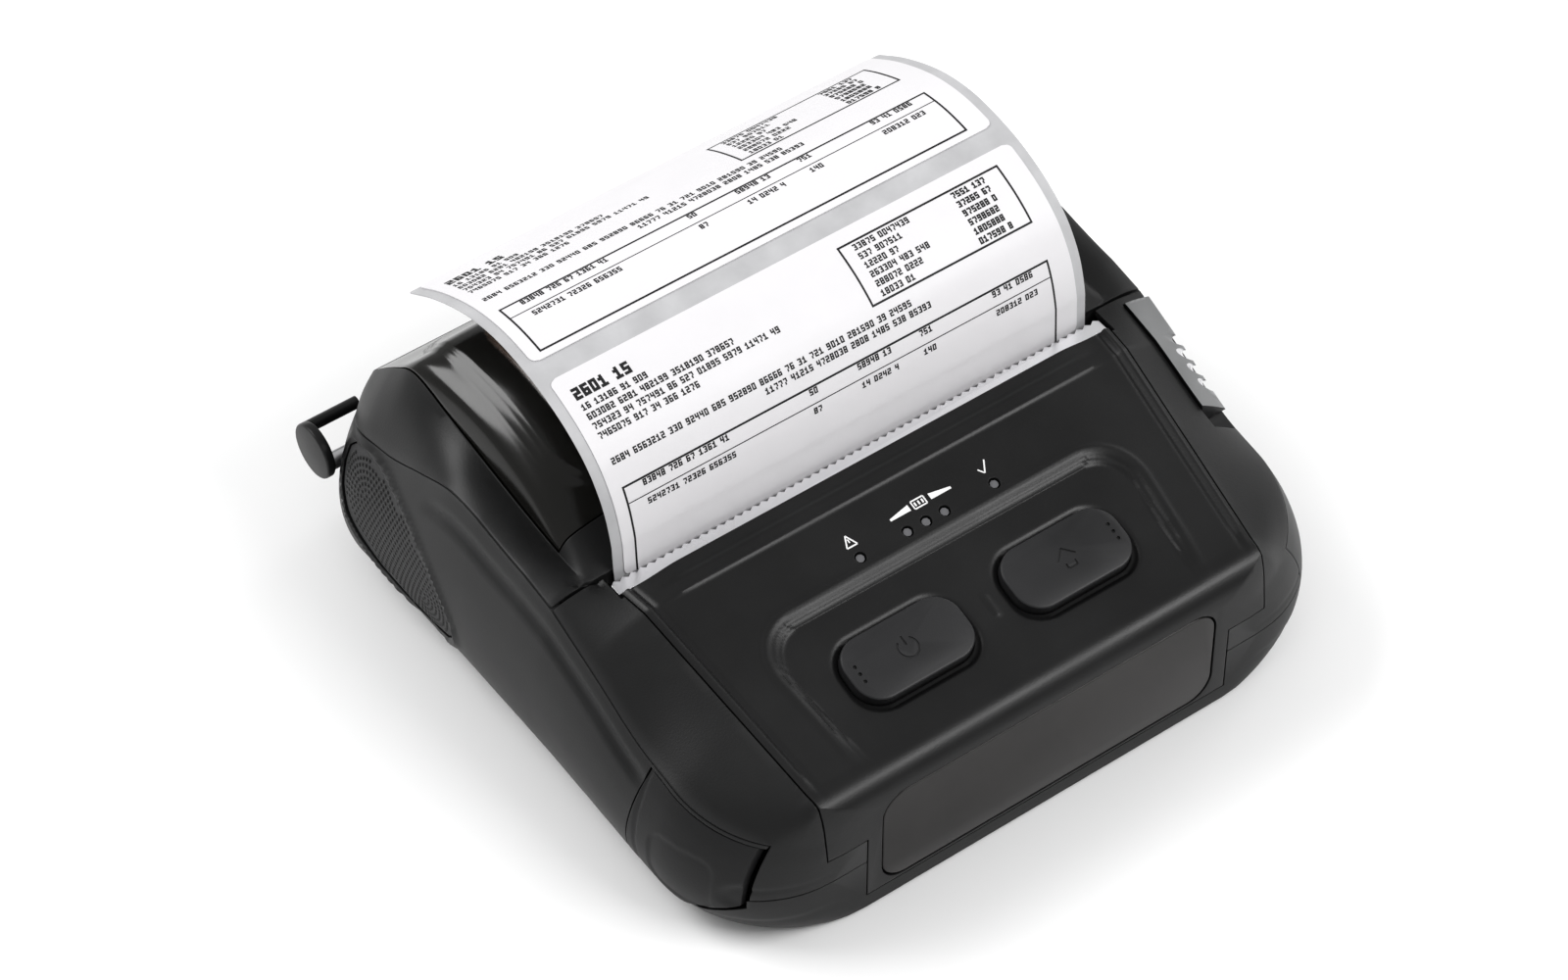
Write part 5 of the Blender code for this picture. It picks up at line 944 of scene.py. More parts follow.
def window_relief(x, y):
    """Height of the window's raised panes over the plain skin."""
    height = 0.0
    for half, middle, long, corner, rise in (
        (LENS_HALF, LENS_CENTRE_Y, LENS_LONG_HALF, LENS_CORNER, LENS_RISE),
        (FRAME_PANE_HALF, FRAME_PANE_CENTRE_Y, FRAME_PANE_LONG_HALF, PANE_CORNER, PANE_RISE),
    ):
        distance = rounded_distance(x, y - middle, half, long, corner)
        for start in (0.0, PANE_SECOND):
            height += rise * ramp(-distance, start, start + PANE_STEP)
    return height


def flat(a, b):
    """No relief anywhere."""
    return 0.0


def section(y, inset, relief, side_relief):
    """The body's outline across the width, at this place and this far inside its skin."""
    if y < SEAM_Y:
        rail = crown = front_height(y, inset)
        sill = min(sill_height(y) - inset, rail)
    else:
        beyond = min(y + inset, REAR_Y) if y > ROLL_Y else y - inset
        rail = min(rail_height(y), rail_height(beyond)) - inset
        crown = min(crown_height(y), crown_height(beyond)) - inset
        sill = min(min(sill_height(y), sill_height(beyond)) - inset, rail)
    floor = BASE_CLEAR + inset
    drawn = corner_inset(y, inset) + inset
    half = [(0.0, floor)]
    for share in SIDE_FINE:
        z = floor + share * (sill - floor)
        x = SILL_HALF + SIDE_BULGE * smooth(SIDE_SHARES, share) - drawn
        half.append((x + (side_relief(y, z) if inset < WALL / 2 else 0.0), z))
    side_x = half[-1][0]
    inner = cover_half(y) if y < SEAM_Y else RAIL_INNER_HALF
    inner = min(inner, SILL_HALF - RAIL_LEAST - corner_inset(y, inset)) - inset
    for i in range(1, RAIL_STEPS):
        share = i / RAIL_STEPS
        swell = RAIL_SWELL * math.sin(math.pi * share)
        half.append((side_x + (inner - side_x) * share + swell, sill + (rail - sill) * share + swell))
    for i in range(TOP_STEPS + 1):
        share = i / TOP_STEPS
        x = inner * (1 - share)
        half.append((x, rail + smooth(SHOULDER, share) * (crown - rail)))
    mirrored = [(-x, z) for x, z in reversed(half[1:-1])]
    start = len(SIDE_FINE) + RAIL_STEPS
    if inset > WALL / 2:
        return [(x, y, z) for x, z in half + mirrored]
    points = []
    for i, (x, z) in enumerate(half + mirrored):
        on_top = start <= i <= len(half) + TOP_STEPS
        points.append((x, y, z + (relief(x, y) if on_top else 0.0)))
    return points


def stations(inset=0.0, spacing=FINE_STEP):
    """Places of the sections: close together round the nose and corners, and evenly elsewhere."""
    ends = (FRONT_Y + inset, REAR_Y - inset)
    places = [SEAM_Y, SEAM_Y - GAP / 2, CREASE_Y]
    for i in range(1, TURN_STEPS):
        turn = 1 - math.cos(math.pi / 2 * i / TURN_STEPS)
        places.append(ends[0] + (NOSE_RADIUS - inset) * turn)
        places.append(ends[1] - (REAR_CORNER - inset) * turn)
    count = round((REAR_Y - FRONT_Y) / spacing)
    places += [FRONT_Y + (REAR_Y - FRONT_Y) * i / count for i in range(count + 1)]
    chosen = [ends[0]]
    for y in sorted(places):
        if ends[0] < y < ends[1] - GAP / 4 and y - chosen[-1] >= GAP / 2:
            chosen.append(y)
    return chosen + [ends[1]]


def body_solid(name, inset, key="case_plastic", relief=flat, side_relief=flat, spacing=FINE_STEP):
    """The whole body as one solid, this far inside its skin."""
    rings = [section(y, inset, relief, side_relief) for y in stations(inset, spacing)]
    return loft(name, rings, key)


def shell(name, outer, inner, key, relief=flat, side_relief=flat, spacing=FINE_STEP):
    """The body between two depths under its skin."""
    obj = body_solid(name, outer, key, relief, side_relief, spacing)
    return cut(obj, body_solid(f"{name}_hollow", inner, key, spacing=spacing * 2))


def upper_outline(shift, back_drop=0.0):
    """Outline in Y and Z of all that lies over the sill line, moved up by the shift."""
    toe_y = RAIL_TOE_Y - shift
    places = [toe_y] + [y for y in stations() if y > toe_y + STATION_STEP]
    line = [(y, sill_height(y) + shift - (back_drop if y > HINGE_Y else 0.0)) for y in places]
    front = FRONT_Y - OVERRUN
    back = REAR_Y + OVERRUN
    start = [(front, HIGH), (front, RAIL_TOE_HEIGHT + shift), (toe_y, RAIL_TOE_HEIGHT + shift)]
    return start + line + [(back, line[-1][1]), (back, HIGH)]


def inner_room(name, spare):
    """The room between the tub's sides, under the seam of the lid, smaller all round by the spare."""
    half = SILL_HALF - WALL - spare
    rear = REAR_Y - REAR_CORNER - spare
    return box(name, (-half, COVER_REAR_Y - WELD, ROOM_LOW + spare), (half, rear, HIGH + WELD))


def cover_plan(spare):
    """Plan of the front cover, grown by the spare."""
    front = FRONT_Y - OVERRUN
    rear = COVER_REAR_Y + spare
    return [
        (-cover_half(front) - spare, front),
        (cover_half(front) + spare, front),
        (cover_half(rear) + spare, rear),
        (-cover_half(rear) - spare, rear),
    ]


def cover_region(name, spare):
    """All the space that the front cover's skin takes, grown by the spare."""
    region = prism(name, cover_plan(spare), "Z", COVER_CORNER_HEIGHT - spare, HIGH)
    skirt_rear = FRONT_Y + NOSE_RADIUS
    skirt = box(
        f"{name}_skirt",
        (-COVER_SKIRT_HALF - spare, FRONT_Y - OVERRUN - WELD, COVER_SKIRT_HEIGHT - spare),
        (COVER_SKIRT_HALF + spare, skirt_rear, COVER_CORNER_HEIGHT + WELD),
    )
    return join(region, skirt)


def slot_region(name):
    """The space over the tear bar and the slot, between the rails."""
    return box(
        name,
        (-COVER_REAR_HALF - GAP, COVER_REAR_Y - WELD, BRACKET_LOW),
        (COVER_REAR_HALF + GAP, SEAM_Y + GAP, HIGH),
    )


def panel_frame(x, y):
    """The frame that lies on the sloping panel, with its third axis straight out of it."""
    tilt = math.atan2(panel_height(SEAM_Y) - panel_height(FRONT_Y), SEAM_Y - FRONT_Y)
    return Matrix.Translation((x, y, panel_height(y))) @ Matrix.Rotation(tilt, 4, "X")


def panel_prism(name, x, y, outline, low, high):
    """The outline drawn out square to the sloping panel, with its origin on the panel."""
    obj = prism(name, outline, "Z", low, high)
    obj.matrix_world = panel_frame(x, y)
    return obj


def sides():
    """Both sides, left first, with their signs."""
    return (("left", -1), ("right", 1))


def x_span(side, inner, outer):
    """The two ends along X of what lies between these half widths, on this side."""
    return (inner, outer) if side > 0 else (-outer, -inner)


def grip_outline(spare):
    """The teardrop of a grip in Y and Z: a round end high at the rear, a slimmer one low in front."""
    outline = []
    for i in range(ROUND):
        angle = math.tau * i / ROUND
        slimming = 1 + math.cos(angle) / COARSE
        along = (GRIP_LONG + spare) * math.cos(angle)
        across = (GRIP_WIDE + spare) * slimming * math.sin(angle)
        outline.append((
            GRIP_Y + along * math.cos(GRIP_TILT) - across * math.sin(GRIP_TILT),
            GRIP_Z + along * math.sin(GRIP_TILT) + across * math.cos(GRIP_TILT),
        ))
    return outline


def flap_outline(spare, front_spare):
    """The flap in Y and Z, grown by the spares: under the sill line, with a raised front corner."""
    top_rear = FLAP_REAR_Y - FLAP_SLANT + spare
    front = FLAP_FRONT_Y - front_spare
    top = []
    for i in range(FLAP_STEPS + 1):
        y = top_rear + (front - top_rear) * i / FLAP_STEPS
        top.append((y, sill_height(y) - WALL / 2 + spare))
    return top + [
        (front, FLAP_FRONT_LOW - spare),
        (FLAP_STRAIGHT_Y - spare, FLAP_LOW - spare),
        (FLAP_REAR_Y + spare, FLAP_LOW - spare),
    ]


def make_tub():
    """The tub: floor, sides and rear, with its posts, bosses and openings."""
    tub = shell("tub", 0.0, WALL, "case_plastic", side_relief=tub_relief, spacing=FINE_STEP)
    floor_top = BASE_CLEAR + WALL
    cut(tub, prism("over_sill", upper_outline(-GAP, CASE_REAR_DROP), "X", -WIDE, WIDE))
    cut(tub, cover_region("cover_room", GAP), slot_region("slot_room"), inner_room("lid_room", 0.0))
    for _, side in sides():
        for inner in (HINGE_ARM_INNER - GAP - HINGE_BOSS_LENGTH, HINGE_ARM_OUTER + GAP):
            low, high = x_span(side, inner, inner + HINGE_BOSS_LENGTH)
            outline = [
                (REAR_Y - WELD, HINGE_Z + HINGE_BOSS_RADIUS),
                (HINGE_Y - HINGE_BOSS_RADIUS, HINGE_Z + HINGE_BOSS_RADIUS),
                (HINGE_Y - HINGE_BOSS_RADIUS, HINGE_Z - HINGE_BOSS_RADIUS),
                (REAR_Y - WELD, HINGE_Z - HINGE_BOSS_RADIUS * 2),
            ]
            join(tub, prism("hinge_boss", outline, "X", low, high))
        low, high = x_span(side, FRAME_INNER, STRAP_BOSS_OUTER)
        join(tub, rod("strap_boss", "X", (STRAP_SPIGOT_Y, STRAP_SPIGOT_Z), STRAP_BOSS_RADIUS, low, high))
    for _, x, y in posts():
        join(tub, rod("post", "Z", (x, y), POST_RADIUS, floor_top - WELD, MAIN_BOARD_Z - GAP, count=ROUND))
    room = flap_outline(GAP, FLAP_FRONT_GAP)
    cut(tub, prism("flap_room", room, "X", -WIDE, -PORT_WALL_X + PORT_WALL_THICK + OVERRUN))
    low, high = x_span(-1, PORT_WALL_X - PORT_WALL_THICK, PORT_WALL_X)
    front = USB_Y - USB_WIDE / 2 - WELD
    join(tub, box("port_wall", (low, front, floor_top - WELD), (high, FLAP_REAR_Y, PORT_WALL_TOP)))
    roof_low = CATCH_LOW + CATCH_THICK + GAP
    roof_half = CATCH_WIDE / 2 + WALL
    roof_rear = BATTERY_REAR_Y + CATCH_LENGTH + CATCH_TRAVEL
    near = (CATCH_CENTRE_X - roof_half, BATTERY_REAR_Y + GAP, floor_top - WELD)
    far = (CATCH_CENTRE_X + roof_half, roof_rear, roof_low + CATCH_ROOF)
    join(tub, box("catch_roof", near, far))
    cut_case_openings(tub)
    smooth_faces(tub)
    place(tub, "case", "case_plastic", "lower_case")


def bore(part, name, axis, centre, radius, low, high, count):
    """A round hole with a gap round what goes into it."""
    cut(part, rod(name, axis, centre, radius + GAP, low, high, count=count))


def cut_case_openings(case):
    """Every hole of the tub: hinge, strap, sockets, battery, catch, feet and screws."""
    floor_top = BASE_CLEAR + WALL
    for name, side in sides():
        low, high = x_span(side, HINGE_ARM_INNER - GAP, HINGE_ARM_OUTER + GAP)
        cut(case, box(
            f"hinge_notch_{name}",
            (low, HINGE_Y - HINGE_ARM_RADIUS - WELD, HINGE_Z - HINGE_NOTCH_DROP),
            (high, REAR_Y + OVERRUN, REAR_EDGE_HEIGHT + WELD),
        ))
        low, high = x_span(side, HINGE_ARM_INNER - OVERRUN * 2, HINGE_ARM_OUTER + OVERRUN * 2)
        bore(case, f"hinge_bore_{name}", "X", (HINGE_Y, HINGE_Z), HINGE_PIN_RADIUS, low, high, COARSE)
        low, high = x_span(side, STRAP_ROD_INNER - GAP, WIDE)
        bore(case, f"strap_rod_room_{name}", "X", strap_rod_place(), STRAP_ROD_RADIUS, low, high, COARSE)
        spigot = (STRAP_SPIGOT_Y, STRAP_SPIGOT_Z)
        bore(case, f"spigot_bore_{name}", "X", spigot, STRAP_SPIGOT_RADIUS, low, high, COARSE)
        low, high = x_span(side, SILL_HALF / 2, WIDE)
        pocket = prism(f"grip_pocket_{name}", grip_outline(GAP), "X", low, high)
        cut(pocket, body_solid(f"grip_floor_{name}", GRIP_SUNK + GRIP_THICK + GAP))
        cut(case, pocket)
    cut_battery_bay(case)
    for label, x, y in feet():
        top = FOOT_THICK + GAP
        bore(case, f"foot_seat_{label}", "Z", (x, y), FOOT_RADIUS, LOW, top, ROUND)
    for label, x, y in posts():
        head_top = BASE_CLEAR + SCREW_SUNK + SCREW_HEAD_THICK + GAP
        bore(case, f"counterbore_{label}", "Z", (x, y), SCREW_HEAD_RADIUS, LOW, head_top, COARSE)
        top = MAIN_BOARD_Z + WELD
        bore(case, f"screw_bore_{label}", "Z", (x, y), SCREW_RADIUS, floor_top, top, COARSE)
    for label, y, wide, low_z in (("jack", JACK_Y, JACK_WIDE, JACK_LOW), ("usb", USB_Y, USB_WIDE, USB_LOW)):
        cut(case, box(
            f"{label}_room",
            (-PORT_WALL_X - WELD, y - wide / 2 - GAP, low_z - GAP),
            (-PORT_WALL_X + PORT_WALL_THICK + WELD, y + wide / 2 + GAP, MAIN_BOARD_Z),
        ))


def cut_battery_bay(case):
    """The battery's way in through the floor, and the slot of its catch."""
    centre = ((BATTERY_LEFT_X + BATTERY_RIGHT_X) / 2, (BATTERY_FRONT_Y + BATTERY_REAR_Y) / 2)
    long = BATTERY_RIGHT_X - BATTERY_LEFT_X + GAP * 2
    wide = BATTERY_REAR_Y - BATTERY_FRONT_Y + GAP * 2
    cut(case, prism("battery_room", rounded(centre, long, wide, BATTERY_CORNER), "Z", LOW, BATTERY_TOP))
    cut(case, box(
        "catch_slot",
        (CATCH_CENTRE_X - CATCH_WIDE / 2 - GAP, BATTERY_REAR_Y - BATTERY_FLANGE, LOW),
        (CATCH_CENTRE_X + CATCH_WIDE / 2 + GAP, BATTERY_REAR_Y + CATCH_LENGTH + CATCH_TRAVEL - WALL,
         CATCH_LOW + CATCH_THICK + GAP),
    ))


def posts():
    """Label and place of each screw post."""
    return (
        ("front_left", POST_LEFT_X, POST_FRONT_Y),
        ("rear_left", POST_LEFT_X, POST_REAR_Y),
        ("front_right", POST_RIGHT_X, POST_FRONT_Y),
        ("rear_right", POST_RIGHT_X, POST_REAR_Y),
    )


def feet():
    """Label and place of each foot."""
    return (
        ("front_left", -FOOT_FRONT_X, FOOT_FRONT_Y),
        ("front_right", FOOT_FRONT_X, FOOT_FRONT_Y),
        ("rear_left", -FOOT_REAR_X, FOOT_REAR_Y),
        ("rear_right", FOOT_REAR_X, FOOT_REAR_Y),
    )


def strap_rod_place():
    """Where the rod of a strap bar stands, in Y and Z."""
    reach = STRAP_CHEEK_RADIUS - STRAP_ROD_RADIUS
    return (STRAP_Y + reach * math.cos(STRAP_ROD_BEARING), STRAP_Z + reach * math.sin(STRAP_ROD_BEARING))


def lever_space(name, front_spare, spare, proud):
    """The space of the lever on the right rail, longer at its front by the spare."""
    rear = SEAM_Y - WALL + spare
    return box(
        name,
        (LEVER_INNER - spare, SEAM_Y - WALL - LEVER_LENGTH - front_spare, SILL_FRONT_HEIGHT),
        (WIDE + proud, rear, HIGH),
    )


def lid_region(name):
    """The space of the whole lid."""
    region = join(prism(name, upper_outline(0.0), "X", -WIDE, WIDE), inner_room(f"{name}_inner", GAP))
    near = (-WIDE - WELD, SEAM_Y + GAP, LOW)
    far = (WIDE + WELD, REAR_Y + OVERRUN * 2, HIGH + WELD)
    return keep(region, box(f"{name}_back", near, far))


def window_space(name, half, front, rear):
    """A block over the window's plan, from well under the lid upwards."""
    return box(name, (-half, front, SILL_CREST_HEIGHT / 2), (half, rear, HIGH))


def holder_outline():
    """A plate under the front bar that goes round the platen's bush, with a toe for the hook."""
    toe_y = PLATEN_Y - TOE_REACH
    toe_top = PLATEN_Z - TOE_TOP_DROP
    arc = [away((PLATEN_Y, PLATEN_Z), math.radians(a), HOLDER_RADIUS) for a in HOLDER_BEARINGS]
    bar_low = crown_height(SEAM_Y) - WALL
    return [
        (PLATEN_Y + HOLDER_RADIUS, PLATEN_Z + HOLDER_RADIUS / 2),
        (WINDOW_FRONT_Y - GAP * 2, bar_low + WELD),
        (SEAM_Y + GAP * 2, bar_low + WELD / 2),
        (SEAM_Y + GAP * 2, toe_top),
        (toe_y, toe_top),
        (toe_y, toe_top - TOE_THICK),
    ] + arc


def hinge_arm_outline():
    """A bar from the lid's rear wall down to a round end about the hinge."""
    arc = [away((HINGE_Y, HINGE_Z), math.radians(a), HINGE_ARM_RADIUS) for a in HINGE_ARM_BEARINGS]
    top = HINGE_Z + HINGE_ARM_RISE
    rear = (HINGE_Y + HINGE_ARM_RADIUS, REAR_EDGE_HEIGHT + WELD)
    return arc + [rear, (HINGE_Y, top), (HINGE_Y - HINGE_ARM_RADIUS, top)]


def pitch_radius(teeth):
    """Half a gear's pitch circle."""
    return GEAR_MODULE * teeth / 2


def away(place, bearing, distance):
    """A point this far from the place."""
    return (place[0] + distance * math.cos(bearing), place[1] + distance * math.sin(bearing))


def key_board_top():
    """Top of the board under the buttons, from the panel."""
    return mat_top() - MAT_THICK - GAP


def mat_top():
    """How far the mat lies from the panel's skin: under the button's flange by its travel."""
    return -WALL - GAP * 2 - BUTTON_FLANGE_THICK - BUTTON_TRAVEL


def tub_relief(y, z):
    """The channel along the sides, from the grip to the front, and the step over the foot line."""
    sill = sill_height(y)
    channel = CHANNEL_DEEP * bump_at(sill - z, channel_drop(y), CHANNEL_HALF)
    fade = ramp(y, CHANNEL_FRONT_Y, CHANNEL_FRONT_Y + CHANNEL_FADE)
    fade *= 1 - ramp(y, CHANNEL_REAR_Y, CHANNEL_REAR_Y + CHANNEL_FADE)
    base = BASE_STEP * (1 - ramp(z, BASE_LINE, BASE_LINE + CHANNEL_HALF / 2))
    ring = grip_distance(y, z)
    lip = GRIP_LIP_RISE * bump_at(ring, GRIP_LIP_PLACE, GRIP_LIP_HALF)
    if z <= GRIP_Z - GRIP_WIDE * 2:
        lip = 0.0
    return lip - channel * fade - base


def channel_drop(y):
    """How far under the sill line the channel runs."""
    share = (y - CHANNEL_FRONT_Y) / (CHANNEL_REAR_Y - CHANNEL_FRONT_Y)
    return CHANNEL_DROP_FRONT + (CHANNEL_DROP_REAR - CHANNEL_DROP_FRONT) * min(max(share, 0.0), 1.0)


def grip_distance(y, z):
    """Distance outside the grip's outline, about."""
    dy, dz = y - GRIP_Y, z - GRIP_Z
    along = dy * math.cos(GRIP_TILT) + dz * math.sin(GRIP_TILT)
    across = dz * math.cos(GRIP_TILT) - dy * math.sin(GRIP_TILT)
    share = math.hypot(along / GRIP_LONG, across / GRIP_WIDE)
    return (share - 1) * math.hypot(along, across) / max(share, GAP)


def make_cover():
    """The sloping top panel with its sunk field, bands and beads, and the posts under it."""
    cover = shell("panel_cover", 0.0, WALL, "cover_plastic", relief=cover_relief, spacing=FINE_STEP / 2)
    keep(cover, cover_region("cover_space", 0.0))
    face = inset_face(GAP)
    cut(cover, prism("inset_pocket", face, "Y", FRONT_Y - OVERRUN, FRONT_Y + INSET_THICK + GAP))
    for _, side in sides():
        x = side * BUTTON_CENTRE_X
        cut(cover, panel_prism("button_hole", x, BUTTON_CENTRE_Y, key_face(GAP), -OVERRUN, OVERRUN))
        for y in (KEY_BOARD_FRONT_Y + KEY_POST_MARGIN, KEY_BOARD_REAR_Y - KEY_POST_MARGIN):
            x = side * (KEY_BOARD_HALF - KEY_POST_MARGIN)
            post = circle((0.0, 0.0), KEY_POST_RADIUS, ROUND)
            join(cover, panel_prism("key_post", x, y, post, key_board_top() + GAP, -WALL * 3 / 4))
    for x in LAMP_XS:
        hole = circle((0.0, 0.0), LAMP_RADIUS + GAP, ROUND)
        cut(cover, panel_prism("lamp_hole", x, LAMP_Y, hole, -OVERRUN, OVERRUN))
    smooth_faces(cover)
    place(cover, "case", "cover_plastic", "front_cover")


def inset_face(gap):
    """The plate's outline in X and Z, this much wider all round."""
    centre = (0.0, (INSET_LOW + INSET_TOP) / 2)
    tall = INSET_TOP - INSET_LOW + gap * 2
    return rounded(centre, (INSET_HALF + gap) * 2, tall, INSET_CORNER, FACE_TURNS)


def key_face(grown, steps=FACE_TURNS):
    """A button's outline, this much longer and wider at each side."""
    long, wide = BUTTON_LONG + grown * 2, BUTTON_WIDE + grown * 2
    return rounded((0.0, 0.0), long, wide, BUTTON_CORNER + grown, steps)


def make_inset():
    """The satin plate in the front face, with a round edge."""
    plate = prism("front_plate", inset_face(0.0), "Y", FRONT_Y, FRONT_Y + INSET_THICK, "inset_plastic")
    smooth_faces(soften(plate, INSET_THICK / 3))
    place(plate, "case", "inset_plastic", "inset_panel")


def make_rails():
    """The two bands beside the cover."""
    for name, side in sides():
        rail = shell(f"rail_{name}", 0.0, WALL, "case_plastic", relief=rail_relief, side_relief=toe_relief)
        keep(rail, prism("rail_height", upper_outline(0.0), "X", -WIDE, WIDE))
        low, high = x_span(side, COVER_SKIRT_HALF + GAP, WIDE)
        keep(rail, box("rail_side", (low, FRONT_Y - OVERRUN, LOW), (high, SEAM_Y - GAP, HIGH)))
        cut(rail, cover_region("rail_cover_room", GAP), slot_region("rail_slot_room"))
        if side > 0:
            cut(rail, lever_space("lever_room", LEVER_TRAVEL + GAP, GAP, OVERRUN))
        smooth_faces(rail)
        place(rail, "case", "case_plastic", f"front_rail_{name}")


def rail_relief(x, y):
    """A shallow notch in the rails on both sides of the seam."""
    inner = cover_half(y) if y < SEAM_Y else RAIL_INNER_HALF
    out = ramp(abs(x), inner - GAP, inner + NOTCH_EDGE)
    return -NOTCH_DEEP * bump_at(y, SEAM_Y, NOTCH_HALF) * out


def toe_relief(y, z):
    """A fine groove round the front corners, over the toe."""
    groove = bump_at(z, RAIL_TOE_HEIGHT + TOE_LINE_RISE, TOE_LINE_HALF)
    fade = 1 - ramp(y, TOE_LINE_REAR_Y, TOE_LINE_REAR_Y + CHANNEL_FADE)
    return -TOE_LINE_DEEP * groove * fade


def make_lever():
    """The grey lever: a band of the rail that stands a little proud, with ribs across it."""
    lever = shell("slide_lever", -LEVER_PROUD * PROUD_SHARE, WALL - GAP, "lever_plastic")
    keep(lever, prism("lever_height", upper_outline(GAP), "X", -WIDE - OVERRUN, WIDE + OVERRUN))
    keep(lever, lever_space("lever_trim", 0.0, 0.0, OVERRUN))
    soften(lever, LEVER_PROUD / 2)
    rear = SEAM_Y - WALL
    for i in range(RIB_COUNT):
        y = rear - RIB_START_SHARE * LEVER_LENGTH - i * RIB_PITCH
        inner, outer = LEVER_INNER + LEVER_WIDE * RIB_INNER_SHARE, SILL_HALF + LEVER_PROUD * 2
        z = sill_height(y) + GROOVE_RADIUS - GROOVE_DEEP
        groove = rod("groove", "X", (y, z), GROOVE_RADIUS, inner, outer, count=FINE)
        slope = (front_height(y) - sill_height(y)) / LEVER_WIDE
        for vertex in groove.data.vertices:
            vertex.co.z += (SILL_HALF - vertex.co.x) * slope
        cut(lever, groove)
    smooth_faces(lever)
    place(lever, "lever", "lever_plastic", "open_lever")


def make_lid():
    """The lid's rails, front bar, rear wall, ledge, holders and hinge arms, and its smoked window."""
    lid = shell("lid_shell", 0.0, WALL + GAP + LEDGE_THICK, "case_plastic", relief=rail_relief)
    keep(lid, lid_region("lid_space"))
    pocket = window_space("window_pocket", WINDOW_HALF + GAP, WINDOW_FRONT_Y - GAP, WINDOW_REAR_Y + GAP)
    cut(pocket, body_solid("window_ledge", WALL + GAP))
    front, rear = WINDOW_FRONT_Y + WINDOW_LEDGE, WINDOW_REAR_Y - WINDOW_LEDGE
    opening = window_space("window_opening", WINDOW_HALF - WINDOW_LEDGE, front, rear)
    cut(lid, pocket, opening)
    platen = (PLATEN_Y, PLATEN_Z)
    cut(lid, rod("platen_room", "X", platen, PLATEN_RADIUS + RUNNING_GAP, -FRAME_INNER, FRAME_INNER))
    tip = pitch_radius(PLATEN_TEETH) + GEAR_MODULE * GEAR_ADDENDUM_SHARE
    low, high = x_span(-1, GEAR_INNER - GAP, GEAR_INNER + GEAR_WIDE + GAP * 2)
    cut(lid, rod("gear_room", "X", platen, tip + RUNNING_GAP, low, high))
    for _, side in sides():
        low, high = x_span(side, HOLDER_INNER, HOLDER_INNER + HOLDER_THICK)
        join(lid, prism("holder", holder_outline(), "X", low, high))
        low, high = x_span(side, HOLDER_INNER - WELD, HOLDER_INNER + HOLDER_THICK + WELD)
        cut(lid, rod("holder_bore", "X", platen, BUSH_RADIUS + GAP, low, high))
        low, high = x_span(side, HINGE_ARM_INNER, HINGE_ARM_OUTER)
        join(lid, prism("hinge_arm", hinge_arm_outline(), "X", low, high))
        low, high = x_span(side, HINGE_ARM_INNER - WELD, HINGE_ARM_OUTER + WELD)
        cut(lid, rod("arm_bore", "X", (HINGE_Y, HINGE_Z), HINGE_PIN_RADIUS + GAP, low, high))
    smooth_faces(lid)
    place(lid, "lid", "case_plastic", "lid_frame")
    spacing = FINE_STEP * 2 / 3
    window = shell("window_pane", 0.0, WALL, "smoked_window", window_relief, spacing=spacing)
    keep(window, window_space("window_trim", WINDOW_HALF, WINDOW_FRONT_Y, WINDOW_REAR_Y))
    smooth_faces(window, PANE_SHARP_ANGLE)
    clear = window.data.attributes.new("clear", "FLOAT", "POINT")
    for vertex, value in zip(window.data.vertices, clear.data):
        x, y = vertex.co.x, vertex.co.y - LENS_CENTRE_Y
        value.value = ramp(-rounded_distance(x, y, LENS_HALF, LENS_LONG_HALF, LENS_CORNER), 0.0, PANE_STEP)
    place(window, "lid", "smoked_window", "lid_window")


def make_strap_rods():
    """A round cheek by each rear corner with a turned edge, the strap's rod and a spigot into the tub."""
    for name, side in sides():
        inner = STRAP_CHEEK_OUTER - STRAP_CHEEK_THICK
        low, high = x_span(side, inner, STRAP_CHEEK_OUTER)
        cheek = (STRAP_Y, STRAP_Z)
        bar = rod(f"strap_rod_{name}", "X", cheek, STRAP_CHEEK_RADIUS, low, high, "cover_plastic", FINE)
        soften(bar, STRAP_CHEEK_THICK / 4)
        low, high = x_span(side, STRAP_ROD_INNER, inner + WELD)
        join(bar, rod("rod", "X", strap_rod_place(), STRAP_ROD_RADIUS, low, high, count=ROUND))
        spigot = (STRAP_SPIGOT_Y, STRAP_SPIGOT_Z)
        join(bar, rod("spigot", "X", spigot, STRAP_SPIGOT_RADIUS, low, high, count=ROUND))
        smooth_faces(bar)
        place(bar, "case", "cover_plastic", f"strap_bar_{name}")


def side_skin(y, z):
    """Half width of the plain skin of the sides at this place."""
    sill = min(sill_height(y), rail_height(y))
    share = min(max((z - BASE_CLEAR) / (sill - BASE_CLEAR), 0.0), 1.0)
    return SILL_HALF + SIDE_BULGE * smooth(SIDE_SHARES, share) - corner_inset(y)


def racetrack(distance):
    """Points in the grip's own long and cross axes, all this far from its spine, at an even pitch."""
    half = GRIP_SPINE_HALF
    straight = round(half * 2 / DOT_PITCH)
    points = []
    for i in range(straight + 1):
        along = -half + half * 2 * i / straight
        points.append((along, distance))
        if distance > 0:
            points.append((along, -distance))
    count = max(round(math.pi * distance / DOT_PITCH), 1)
    for i in range(1, count):
        angle = math.pi * i / count
        for sign in (-1, 1):
            points.append((sign * (half + distance * math.sin(angle)), distance * math.cos(angle)))
    return points


